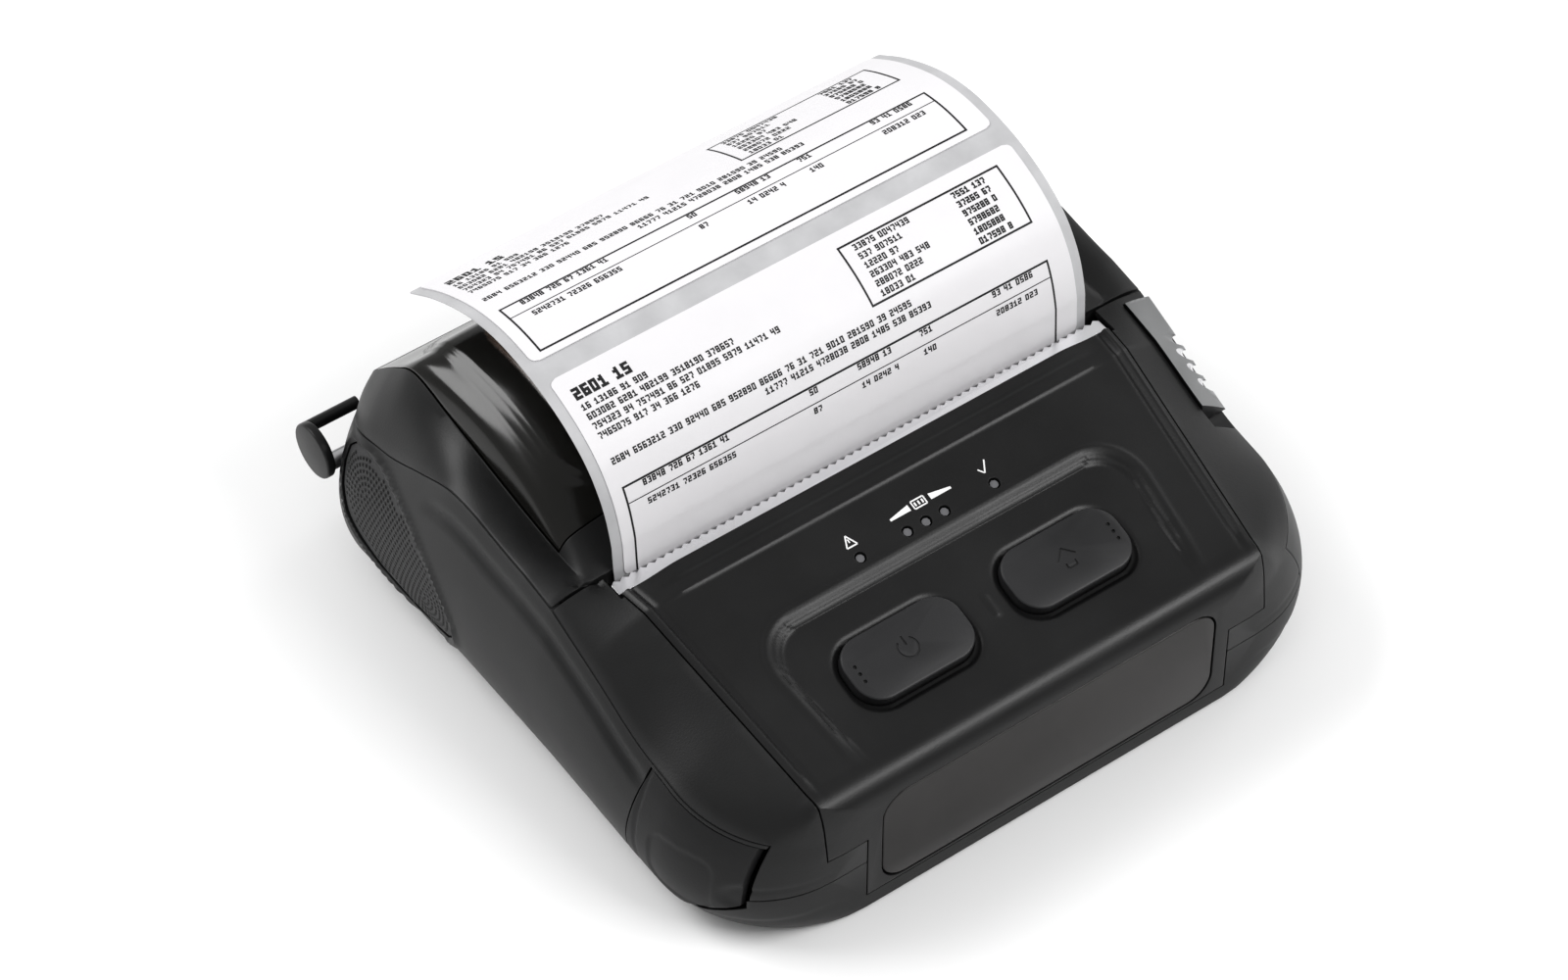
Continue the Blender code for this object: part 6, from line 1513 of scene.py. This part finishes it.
def make_side_grips():
    """The rubber pads, each with rows of small studs that run round its middle line, their dark colour
    painted shade of little holes.
    """
    for name, side in sides():
        pad = shell(f"grip_pad_{name}", GRIP_SUNK, GRIP_SUNK + GRIP_THICK, "grip_rubber")
        low, high = x_span(side, SILL_HALF / 2, WIDE)
        outline = grip_outline(0.0)
        keep(pad, prism("grip_trim", outline, "X", low, high))
        smooth_faces(pad)
        place(pad, "case", "black_rubber", f"side_grip_{name}")
        bm = bmesh.new()
        for row in range(ROW_COUNT):
            for along, across in racetrack(row * ROW_PITCH):
                y = GRIP_Y + along * math.cos(GRIP_TILT) - across * math.sin(GRIP_TILT)
                z = GRIP_Z + along * math.sin(GRIP_TILT) + across * math.cos(GRIP_TILT)
                if grip_distance(y, z) < -DOT_MARGIN:
                    add_stud(bm, side, y, z)
        # The studs' dark finish is painted shade of the grip's little holes.
        studs = mesh_object(f"grip_studs_{name}", bm, "stud_rubber_painted_shade")
        smooth_faces(studs, STUD_SHARP_ANGLE)
        place(studs, "case", "black_rubber")


def add_stud(bm, side, y, z):
    """One low round stud on the pad."""
    skin = side_skin(y, z) - GRIP_SUNK
    rings = []
    for radius, rise in ((DOT_RADIUS, -DOT_RISE), (DOT_RADIUS, DOT_RISE / 2), (DOT_RADIUS / 2, DOT_RISE)):
        ring = circle((y, z), radius, STUD_SIDES)
        rings.append([bm.verts.new((side * (skin + rise), a, b)) for a, b in ring])
    for low_ring, high_ring in zip(rings, rings[1:]):
        for i in range(STUD_SIDES):
            j = (i + 1) % STUD_SIDES
            bm.faces.new((low_ring[i], low_ring[j], high_ring[j], high_ring[i]))
    bm.faces.new(rings[0])
    bm.faces.new(rings[-1])


def make_port_flap():
    """The soft flap over the sockets."""
    spacing = FINE_STEP / 2
    flap = shell("port_flap", 0.0, FLAP_THICK, "flap_rubber", side_relief=flap_relief, spacing=spacing)
    keep(flap, prism("flap_trim", flap_outline(0.0, 0.0), "X", -WIDE, -SILL_HALF / 2))
    smooth_faces(flap)
    place(flap, "flap", "black_rubber", "interface_flap")


def flap_relief(y, z):
    """The fold by the hinge, and a dished field with a finger hollow at the front."""
    fold = FOLD_DEEP * bump_at(y, FLAP_REAR_Y - FOLD_PLACE, FOLD_HALF)
    middle_y = (FLAP_REAR_Y + FLAP_FRONT_Y) / 2 - FOLD_PLACE / 2
    middle_z = (FLAP_LOW + SILL_FRONT_HEIGHT) / 2
    field = rounded_distance(y - middle_y, z - middle_z, FIELD_FLAP_HALF, FIELD_FLAP_TALL, FOLD_PLACE)
    hollow = math.hypot(y - FLAP_FRONT_Y, z - middle_z)
    dish = FOLD_DEEP * (1 - ramp(field, -GAP, GAP))
    return -fold - dish - FOLD_DEEP * 2 * (1 - ramp(hollow, FOLD_PLACE / 2, FOLD_PLACE))


def make_keys():
    """The two buttons: a chamfered cap with a sunk mark and three dimples, over its flange."""
    flange_top = -WALL - GAP
    flange_low = flange_top - BUTTON_FLANGE_THICK
    for name, side, node, mark in (
        ("key_power", -1, "power_button", power_mark()), ("key_feed", 1, "feed_button", feed_mark()),
    ):
        x = side * BUTTON_CENTRE_X
        rings = []
        for height, inset in KEY_PROFILE:
            rings.append([(a, b, height) for a, b in key_face(-inset)])
        low = [(a, b, flange_low + BUTTON_FLANGE_THICK / 2) for a, b, _ in rings[0]]
        cap = loft(name, [low] + rings, "key_plastic")
        for outline in mark:
            cut(cap, prism("mark", outline, "Z", BUTTON_PROUD - MARK_DEEP, BUTTON_PROUD + OVERRUN))
        for i in (-1, 0, 1):
            spot = circle((side * DIMPLE_X, i * DIMPLE_PITCH), DIMPLE_RADIUS, COARSE)
            cut(cap, prism("dimple", spot, "Z", BUTTON_PROUD - MARK_DEEP * 2, BUTTON_PROUD + OVERRUN))
        join(cap, prism("flange", key_face(BUTTON_FLANGE, CORNER_STEPS), "Z", flange_low, flange_top))
        cap.data.transform(panel_frame(x, BUTTON_CENTRE_Y))
        smooth_faces(cap)
        place(cap, "power_key" if side < 0 else "feed_key", "cover_plastic", node)


def arc_band(centre, radius, stroke, start, end):
    """A curved stroke as an outline."""
    angles = [start + (end - start) * i / ARC_STEPS for i in range(ARC_STEPS + 1)]
    outer = [away(centre, a, radius + stroke / 2) for a in angles]
    inner = [away(centre, a, radius - stroke / 2) for a in reversed(angles)]
    return outer + inner


def stroke_line(a, b, stroke):
    """A straight stroke between two points as an outline."""
    a, b = Vector(a), Vector(b)
    along = (b - a).normalized() * stroke / 2
    across = Vector((-along[1], along[0]))
    return [tuple(a + across), tuple(a - across), tuple(b - across), tuple(b + across)]


def power_mark():
    """An open ring with a bar through its gap."""
    start = math.pi / 2 + MARK_GAP_ANGLE
    ring = arc_band((0.0, 0.0), MARK_RADIUS, MARK_STROKE, start, start + math.tau - MARK_GAP_ANGLE * 2)
    bar = stroke_line((0.0, MARK_RADIUS * BAR_LOW_SHARE), (0.0, MARK_RADIUS * BAR_HIGH_SHARE), MARK_STROKE)
    return [ring, bar]


def feed_mark():
    """An arrow: a rhombus outline with an open foot."""
    size = MARK_RADIUS
    corners = [(-size, 0.0), (0.0, size), (size, 0.0)]
    strokes = [stroke_line(a, b, MARK_STROKE) for a, b in zip(corners, corners[1:])]
    foot = [(-size / 2, -size / 2), (-size / 2, -size), (size / 2, -size), (size / 2, -size / 2)]
    return strokes + [stroke_line(a, b, MARK_STROKE) for a, b in zip(foot, foot[1:])]


def flat_mesh(name, outlines, key):
    """Thin flat faces from outlines in three dimensions."""
    bm = bmesh.new()
    for outline in outlines:
        bm.faces.new([bm.verts.new(point) for point in outline])
    mesh = bpy.data.meshes.new(name)
    bm.to_mesh(mesh)
    bm.free()
    return link(name, mesh, key)


def closed_strokes(corners, stroke):
    """Strokes from each corner to the next, and back to the first."""
    return [stroke_line(a, b, stroke) for a, b in zip(corners, corners[1:] + corners[:1])]


def panel_marks():
    """White pictograms over the lamps: a warning triangle, charge wedges round a cell, and a check mark."""
    size = PICTO_SIZE
    left, right = LAMP_XS[0], LAMP_XS[-1]
    middle = (LAMP_XS[1] + LAMP_XS[3]) / 2 + size
    marks = closed_strokes([(left - size, -size), (left + size, -size), (left, size)], PICTO_STROKE)
    marks.append(stroke_line((left, -size / 3), (left, size / 3), PICTO_STROKE))
    for sign in (-1, 1):
        marks.append([(middle + sign * size * a, size * b) for a, b in WEDGE_SHARES][::sign])
    marks += closed_strokes([(middle + size * a, size * b) for a, b in CELL_SHARES], PICTO_STROKE)
    for share in CHARGE_SHARES:
        bar, tall = middle + size * share, size * CHARGE_TALL_SHARE
        marks.append(stroke_line((bar, -tall), (bar, tall), PICTO_STROKE * CHARGE_STROKE_SHARE))
    tick = [(right + size * a, size * b) for a, b in CHECK_SHARES]
    marks += [stroke_line(a, b, PICTO_STROKE) for a, b in zip(tick, tick[1:])]
    row_y = LAMP_Y + PICTO_RISE
    outlines = []
    for mark in marks:
        places = [(x, row_y + y) for x, y in mark]
        outlines.append([(x, y, front_height(y) + cover_relief(x, y) + MARK_RISE) for x, y in places])
    place(flat_mesh("panel_print", outlines, "white_print"), "case", None)


def strip_points():
    """The free strip in Y and Z: straight up out of the slot, then back over the lid."""
    y = PLATEN_Y - PLATEN_RADIUS - GAP - PAPER_THICK / 2
    shares = STRIP_LOW_SHARES + STRIP_TOP_SHARES
    steps = 3
    points = []
    for (a0, _), (a1, _) in zip(shares, shares[1:]):
        for i in range(steps):
            a = a0 + (a1 - a0) * i / steps
            points.append((y + a * STRIP_REACH, STRIP_LOW + smooth(shares, a) * STRIP_RISE))
    return points + [(y + STRIP_REACH, STRIP_LOW + shares[-1][1] * STRIP_RISE)]


def offset_line(points, distance):
    """The line moved square to itself, to its left."""
    moved = []
    for i, (y, z) in enumerate(points):
        before, after = points[max(i - 1, 0)], points[min(i + 1, len(points) - 1)]
        run = Vector((after[0] - before[0], after[1] - before[1])).normalized()
        moved.append((y - run[1] * distance, z + run[0] * distance))
    return moved


def fine_line(points, steps):
    """The line with more points, on a curve through its own."""
    fine = []
    for i in range(len(points) - 1):
        before, after = points[max(i - 1, 0)], points[min(i + 2, len(points) - 1)]
        for k in range(steps):
            t = k / steps
            weights = (
                (-t + 2 * t**2 - t**3) / 2,
                (2 - 5 * t**2 + 3 * t**3) / 2,
                (t + 4 * t**2 - 3 * t**3) / 2,
                (t**3 - t**2) / 2,
            )
            four = (before, points[i], points[i + 1], after)
            fine.append(tuple(sum(w * p[axis] for w, p in zip(weights, four)) for axis in (0, 1)))
    return fine + [points[-1]]


def line_lengths(points):
    """The length of the line up to each of its points."""
    lengths = [0.0]
    for (y0, z0), (y1, z1) in zip(points, points[1:]):
        lengths.append(lengths[-1] + math.hypot(y1 - y0, z1 - z0))
    return lengths


def along_line(points, lengths, distance):
    """The point this far along the line."""
    distance = min(max(distance, 0.0), lengths[-1])
    i = 0
    while i < len(lengths) - 2 and lengths[i + 1] < distance:
        i += 1
    t = (distance - lengths[i]) / (lengths[i + 1] - lengths[i])
    return tuple(points[i][axis] + (points[i + 1][axis] - points[i][axis]) * t for axis in (0, 1))


def paper_sheet(name, line, half, thick, corner, key):
    """A thin bent sheet with round corners, from its middle line in Y and Z."""
    lengths = line_lengths(line)
    total = lengths[-1]
    count = len(line) * 2
    rows = []
    for i in range(count + 1):
        v = total * i / count
        near = min(v, total - v)
        drawn = corner - math.sqrt(max(corner**2 - (corner - near) ** 2, 0.0)) if near < corner else 0.0
        rows.append((along_line(line, lengths, v), half - drawn))
    bm = bmesh.new()
    sides_of = []
    middles = [point for point, _ in rows]
    outer = offset_line(middles, thick / 2)
    inner = offset_line(middles, -thick / 2)
    for (y, z), (_, width) in zip(outer, rows):
        sides_of.append([bm.verts.new((width * s, y, z)) for s in SHEET_SHARES])
    for k, ((y, z), (_, width)) in enumerate(zip(inner, rows)):
        sides_of[k] += [bm.verts.new((width * s, y, z)) for s in reversed(SHEET_SHARES)]
    for low_ring, high_ring in zip(sides_of, sides_of[1:]):
        for i in range(len(low_ring)):
            j = (i + 1) % len(low_ring)
            bm.faces.new((low_ring[i], low_ring[j], high_ring[j], high_ring[i]))
    bm.faces.new(sides_of[0])
    bm.faces.new(reversed(sides_of[-1]))
    sheet = mesh_object(name, bm, key)
    return smooth_faces(sheet, SHEET_SHARP_ANGLE)


def ink_outlines(line, form_of):
    """The marks of a form laid along the label's face, each in pieces that follow its bend."""
    lengths = line_lengths(line)
    total = lengths[-1]
    outlines = []
    for left, right, low, high in form_of(total):
        low_v, high_v = max(total - high, 0.0), min(total - low, total)
        if low_v >= high_v:
            continue
        pieces = max(math.ceil((high_v - low_v) / INK_PIECE), 1)
        for i in range(pieces):
            v0 = low_v + (high_v - low_v) * i / pieces
            v1 = low_v + (high_v - low_v) * (i + 1) / pieces
            (y0, z0), (y1, z1) = along_line(line, lengths, v0), along_line(line, lengths, v1)
            outlines.append([(left, y0, z0), (right, y0, z0), (right, y1, z1), (left, y1, z1)])
    return outlines


def make_strip_and_print():
    """The liner with its two labels, and the print on them."""
    coarse = strip_points()
    line = fine_line(coarse, STRIP_STEPS)
    liner = paper_sheet("strip_liner", line, ROLL_HALF, PAPER_THICK, LINER_CORNER, "liner_paper")
    place(liner, "lid", "paper", "liner_strip")
    last = len(coarse) - 1
    stop = round(last * LABEL_GAP_START_SHARE) * STRIP_STEPS
    start = round(last * LABEL_GAP_END_SHARE) * STRIP_STEPS
    face = offset_line(line, (PAPER_THICK + LABEL_THICK) / 2 + LABEL_LIFT)
    half = ROLL_HALF - LABEL_MARGIN
    start -= round(GAP_TRIM / line_lengths(line)[-1] * (len(line) - 1))
    for name, points, node, form_of in (
        ("label_low", face[LABEL_FIRST : stop + 1], "lower_label", low_form),
        ("label_top", face[start:], "upper_label", top_form),
    ):
        label = paper_sheet(name, points, half, LABEL_THICK, LABEL_CORNER, "label_paper")
        place(label, "lid", "paper", node)
        outlines = ink_outlines(offset_line(points, LABEL_THICK / 2 + INK_RISE), form_of)
        place(flat_mesh(f"{name}_ink", outlines, "ink"), "lid", None)


def digits(text, x, down, tall, heavy):
    """Small plain digits as rectangles: left, right, and how far down the label they begin and end."""
    cell = tall / CELLS_TALL
    marks = []
    for character in text:
        if character.isdigit():
            for row, bits in enumerate(DIGIT_ROWS[int(character)]):
                run = None
                for column in range(4):
                    filled = column < 3 and int(bits) >> (2 - column) & 1
                    if filled and run is None:
                        run = column
                    elif not filled and run is not None:
                        marks.append((
                            x + run * cell, x + column * cell + cell * (heavy - 1),
                            down + row * cell, down + (row + heavy) * cell,
                        ))
                        run = None
        x += cell * (CELLS_APART if character.isdigit() else CELLS_APART - 1)
    return marks


def ruled_box(left, right, top, low, stroke):
    """Four rules round a box."""
    return [
        (left, right, top, top + stroke),
        (left, right, low - stroke, low),
        (left, left + stroke, top, low),
        (right - stroke, right, top, low),
    ]


def random_digits(generator, count):
    """Groups of digits with gaps, as long as this."""
    text = ""
    while len(text) < count:
        group = [str(generator.randrange(10)) for _ in range(generator.randrange(*GROUP_LENGTHS))]
        text += "".join(group) + " "
    return text[:count]


def text_row(generator, left, right, base, tall, heavy):
    """A row of digit groups from left to right, standing on this base line."""
    count = int((right - left) / (tall / CELLS_TALL * CELLS_APART))
    return digits(random_digits(generator, count), left, base - tall, tall, heavy)


def form_marks(seed, down, table_low):
    """A generic ruled form, this far down the label: heading, rows, a small box and a table."""
    generator = random.Random(seed)
    marks = text_row(generator, FORM_LEFT, HEAD_RIGHT, down + HEAD_BASE, HEAD_TALL, HEAD_HEAVY)
    for i, right in enumerate(ROW_RIGHTS):
        base = down + ROW_BASE + i * LINE_PITCH
        marks += text_row(generator, FORM_LEFT, right, base, TEXT_TALL, TEXT_HEAVY)
    for i, (left, right) in enumerate(LONG_ROWS):
        base = down + LONG_BASE + i * LINE_PITCH
        marks += text_row(generator, left, right, base, TEXT_TALL, TEXT_HEAVY)
    marks += ruled_box(BOX_LEFT, BOX_RIGHT, down + BOX_TOP, down + BOX_LOW, RULE)
    for i in range(BOX_ROWS):
        base = down + BOX_BASE + i * LINE_PITCH
        right = BOX_MIDDLE - i % 3 * BOX_MARGIN
        marks += text_row(generator, BOX_LEFT + BOX_MARGIN, right, base, TEXT_TALL, TEXT_HEAVY)
        marks += text_row(generator, BOX_DIGITS_LEFT, BOX_RIGHT - BOX_MARGIN, base, TEXT_TALL, HEAD_HEAVY)
    top = down + TABLE_TOP
    marks += ruled_box(FORM_LEFT, BOX_RIGHT, top, table_low, RULE)
    marks.append((FORM_LEFT, BOX_RIGHT, top + TABLE_HEAD, top + TABLE_HEAD + RULE / 2))
    for left, right in TABLE_COLUMNS:
        marks += text_row(generator, left, right, top + TABLE_HEAD / 2, TEXT_TALL, TEXT_HEAVY)
        marks += text_row(generator, left, right, top + TABLE_HEAD * 3 / 2 + RULE, TEXT_TALL, TEXT_HEAVY)
    return marks


def low_form(total):
    """The lower label's form, whose table runs on into the slot."""
    return form_marks(FORM_SEED, 0.0, total + TABLE_MARGIN)


def top_form(total):
    """The upper label's form, with its table closed over the label's lower edge."""
    table_low = total - TABLE_MARGIN
    return form_marks(FORM_SEED, table_low - TABLE_TALL - TABLE_TOP, table_low)


def new_material(key):
    """A material with its nodes, its links and its main shader."""
    material = bpy.data.materials.new(f"look_{key}")
    material.use_nodes = True
    nodes, links = material.node_tree.nodes, material.node_tree.links
    shader = nodes["Principled BSDF"]
    return material, nodes, links, shader


def noise(nodes, links, coords, scale, detail=FINE_DETAIL):
    """A noise texture in the object's own coordinates."""
    node = nodes.new("ShaderNodeTexNoise")
    node.inputs["Scale"].default_value = scale
    node.inputs["Detail"].default_value = detail
    links.new(coords.outputs["Object"], node.inputs["Vector"])
    return node


def spread(nodes, links, source, low, high):
    """The source's middle range spread between the two values."""
    node = nodes.new("ShaderNodeMapRange")
    node.inputs["From Min"].default_value = NOISE_LOW
    node.inputs["From Max"].default_value = NOISE_HIGH
    node.inputs["To Min"].default_value = low
    node.inputs["To Max"].default_value = high
    links.new(source, node.inputs["Value"])
    return node.outputs["Result"]


def colour_mix(nodes, links, factor, first, second):
    """Two colours mixed by the factor."""
    node = nodes.new("ShaderNodeMix")
    node.data_type = "RGBA"
    node.inputs["A"].default_value = (*first, 1.0)
    node.inputs["B"].default_value = (*second, 1.0)
    links.new(factor, node.inputs["Factor"])
    return node


def bumped(nodes, links, shader, height, strength):
    """Fine relief on the surface."""
    bump = nodes.new("ShaderNodeBump")
    bump.inputs["Strength"].default_value = strength
    bump.inputs["Distance"].default_value = GRAIN_DEEP
    links.new(height.outputs["Fac"], bump.inputs["Height"])
    links.new(bump.outputs["Normal"], shader.inputs["Normal"])
    return bump


def grained(key, colour, rough, grain, strength, edge=EDGE_GLINT, tint=TINT_SHARE, metallic=0.0):
    """A moulded or worked surface: fine grain, uneven gloss, soft edges, and paler sharp edges, partly
    rubbing wear and partly a painted highlight.
    """
    material, nodes, links, shader = new_material(key)
    coords = nodes.new("ShaderNodeTexCoord")
    fine = noise(nodes, links, coords, grain)
    broad = noise(nodes, links, coords, BROAD_SCALE, BROAD_DETAIL)
    darker = [c * (1 - tint) for c in colour]
    lighter = [c * (1 + tint) for c in colour]
    mixed = colour_mix(nodes, links, spread(nodes, links, broad.outputs["Fac"], 0.0, 1.0), darker, lighter)
    geometry = nodes.new("ShaderNodeNewGeometry")
    # Paler colour on sharp edges: partly rubbing wear, partly a painted edge highlight.
    wear_and_highlight_mask = nodes.new("ShaderNodeMapRange")
    wear_and_highlight_mask.inputs["From Min"].default_value = POINTED_LOW
    wear_and_highlight_mask.inputs["From Max"].default_value = POINTED_HIGH
    wear_and_highlight_mask.inputs["To Max"].default_value = WEAR_AND_HIGHLIGHT_MOST
    links.new(geometry.outputs["Pointiness"], wear_and_highlight_mask.inputs["Value"])
    wear_and_highlight_colour = [c * WEAR_AND_HIGHLIGHT_SHARE + WEAR_AND_HIGHLIGHT_ADDED for c in colour]
    wear_and_highlight_mix = colour_mix(nodes, links, wear_and_highlight_mask.outputs["Result"], colour, wear_and_highlight_colour)
    links.new(mixed.outputs["Result"], wear_and_highlight_mix.inputs["A"])
    links.new(wear_and_highlight_mix.outputs["Result"], shader.inputs["Base Color"])
    gloss = spread(nodes, links, broad.outputs["Fac"], rough * GLOSSY_SHARE, rough * DULL_SHARE)
    links.new(gloss, shader.inputs["Roughness"])
    shader.inputs["Metallic"].default_value = metallic
    if not metallic:
        shader.inputs["Specular IOR Level"].default_value = DULL
    bump = bumped(nodes, links, shader, fine, strength)
    if edge:
        bevel = nodes.new("ShaderNodeBevel")
        bevel.samples = BEVEL_SAMPLES
        bevel.inputs["Radius"].default_value = edge
        links.new(bevel.outputs["Normal"], bump.inputs["Normal"])
    return material


def smoked():
    """Smoked plastic: a half clear middle pane with a warm painted glow of the lit roll behind it, and all
    but black round it.
    """
    material, nodes, links, shader = new_material("smoked_window")
    coords = nodes.new("ShaderNodeTexCoord")
    haze = noise(nodes, links, coords, BROAD_SCALE, PAPER_DETAIL)
    links.new(spread(nodes, links, haze.outputs["Fac"], *GLOSS_RANGE), shader.inputs["Roughness"])
    inside = nodes.new("ShaderNodeAttribute")
    inside.attribute_name = "clear"
    # The middle pane's colour is painted light of the lit roll behind; the rest is the smoked black.
    colour = colour_mix(nodes, links, inside.outputs["Fac"], SMOKE_COLOUR, LENS_PAINTED_GLOW)
    links.new(colour.outputs["Result"], shader.inputs["Base Color"])
    clear = nodes.new("ShaderNodeBsdfTransparent")
    clear.inputs["Color"].default_value = (*LENS_TINT, 1.0)
    amount = nodes.new("ShaderNodeMapRange")
    amount.inputs["To Min"].default_value = SMOKE_CLEAR
    amount.inputs["To Max"].default_value = LENS_CLEAR
    links.new(inside.outputs["Fac"], amount.inputs["Value"])
    mix = nodes.new("ShaderNodeMixShader")
    links.new(amount.outputs["Result"], mix.inputs["Fac"])
    links.new(shader.outputs["BSDF"], mix.inputs[1])
    links.new(clear.outputs["BSDF"], mix.inputs[2])
    links.new(mix.outputs["Shader"], nodes["Material Output"].inputs["Surface"])
    return material


def paper(key, colour, mottle):
    """Smooth paper with faint fibres."""
    material, nodes, links, shader = new_material(key)
    coords = nodes.new("ShaderNodeTexCoord")
    fibres = noise(nodes, links, coords, FIBRE_SCALE, PAPER_DETAIL)
    clouds = noise(nodes, links, coords, CLOUD_SCALE, PAPER_DETAIL)
    darker = [c * (1 - mottle) for c in colour]
    mixed = colour_mix(nodes, links, spread(nodes, links, clouds.outputs["Fac"], 0.0, 1.0), darker, colour)
    links.new(mixed.outputs["Result"], shader.inputs["Base Color"])
    shader.inputs["Roughness"].default_value = PAPER_ROUGH
    bumped(nodes, links, shader, fibres, FIBRE_STRENGTH)
    return material


def finish_of(key):
    """The finish of this name, made when it is first asked for."""
    if key not in made:
        if key in PAPERS:
            made[key] = paper(key, *PAPERS[key])
        elif key == "smoked_window":
            made[key] = smoked()
        else:
            made[key] = grained(key, *GRAINED[key])
    return made[key]


def finish_nodes():
    """Gives every CAD node that stays the finish of its slot."""
    for part in frame["record"]["subparts"]:
        node = frame["nodes"][part["node"]]
        for slot in node.material_slots:
            slot.material = finish_of(part["material_slot"])


def make_floor():
    """The floor that takes the shadow."""
    bm = bmesh.new()
    corners = [(a * FLOOR_HALF, b * FLOOR_HALF, 0.0) for a, b in ((-1, -1), (1, -1), (1, 1), (-1, 1))]
    bm.faces.new([bm.verts.new(corner) for corner in corners])
    material, _, _, shader = new_material("floor")
    shader.inputs["Base Color"].default_value = (*FLOOR_COLOUR, 1.0)
    shader.inputs["Roughness"].default_value = FLOOR_ROUGH
    made["floor"] = material
    floor = mesh_object("floor", bm, "floor")


def make_light(name, place_at, target, size, power):
    """A soft rectangular light turned to its target."""
    data = bpy.data.lights.new(name, "AREA")
    data.shape = "RECTANGLE"
    data.size, data.size_y = size
    data.energy = power
    light = bpy.data.objects.new(name, data)
    light.location = place_at
    light.rotation_euler = (Vector(target) - Vector(place_at)).to_track_quat("-Z", "Y").to_euler()
    bpy.context.scene.collection.objects.link(light)


def make_lights():
    """The world's grey, the lights and the picture's contrast."""
    world = bpy.data.worlds.new("studio")
    world.use_nodes = True
    background = world.node_tree.nodes["Background"]
    background.inputs["Color"].default_value = (1.0, 1.0, 1.0, 1.0)
    background.inputs["Strength"].default_value = WORLD_STRENGTH
    bpy.context.scene.world = world
    for name, place_at, size, power in LIGHTS:
        make_light(name, place_at, LIGHT_TARGET, size, power)
    view = bpy.context.scene.view_settings
    view.view_transform = "Standard"
    view.look = "Medium High Contrast"


def make_camera():
    """The camera where the photo was taken from."""
    data = bpy.data.cameras.new("camera")
    data.sensor_width = SENSOR
    data.lens = LENS
    camera = bpy.data.objects.new("camera", data)
    right = Vector(CAMERA_RIGHT).normalized()
    back = Vector(CAMERA_BACK).normalized()
    up = back.cross(right)
    turned = Matrix((right, up, back)).transposed().to_4x4()
    camera.matrix_world = Matrix.Translation(CAMERA_PLACE) @ turned
    bpy.context.scene.collection.objects.link(camera)
    bpy.context.scene.camera = camera


def main():
    """Everything that is seen, piece by piece."""
    make_camera()
    make_floor()
    make_lights()
    make_tub()
    make_cover()
    make_inset()
    make_rails()
    make_lever()
    make_lid()
    make_strap_rods()
    make_side_grips()
    make_port_flap()
    make_keys()
    panel_marks()
    make_strip_and_print()
    finish_nodes()


main()
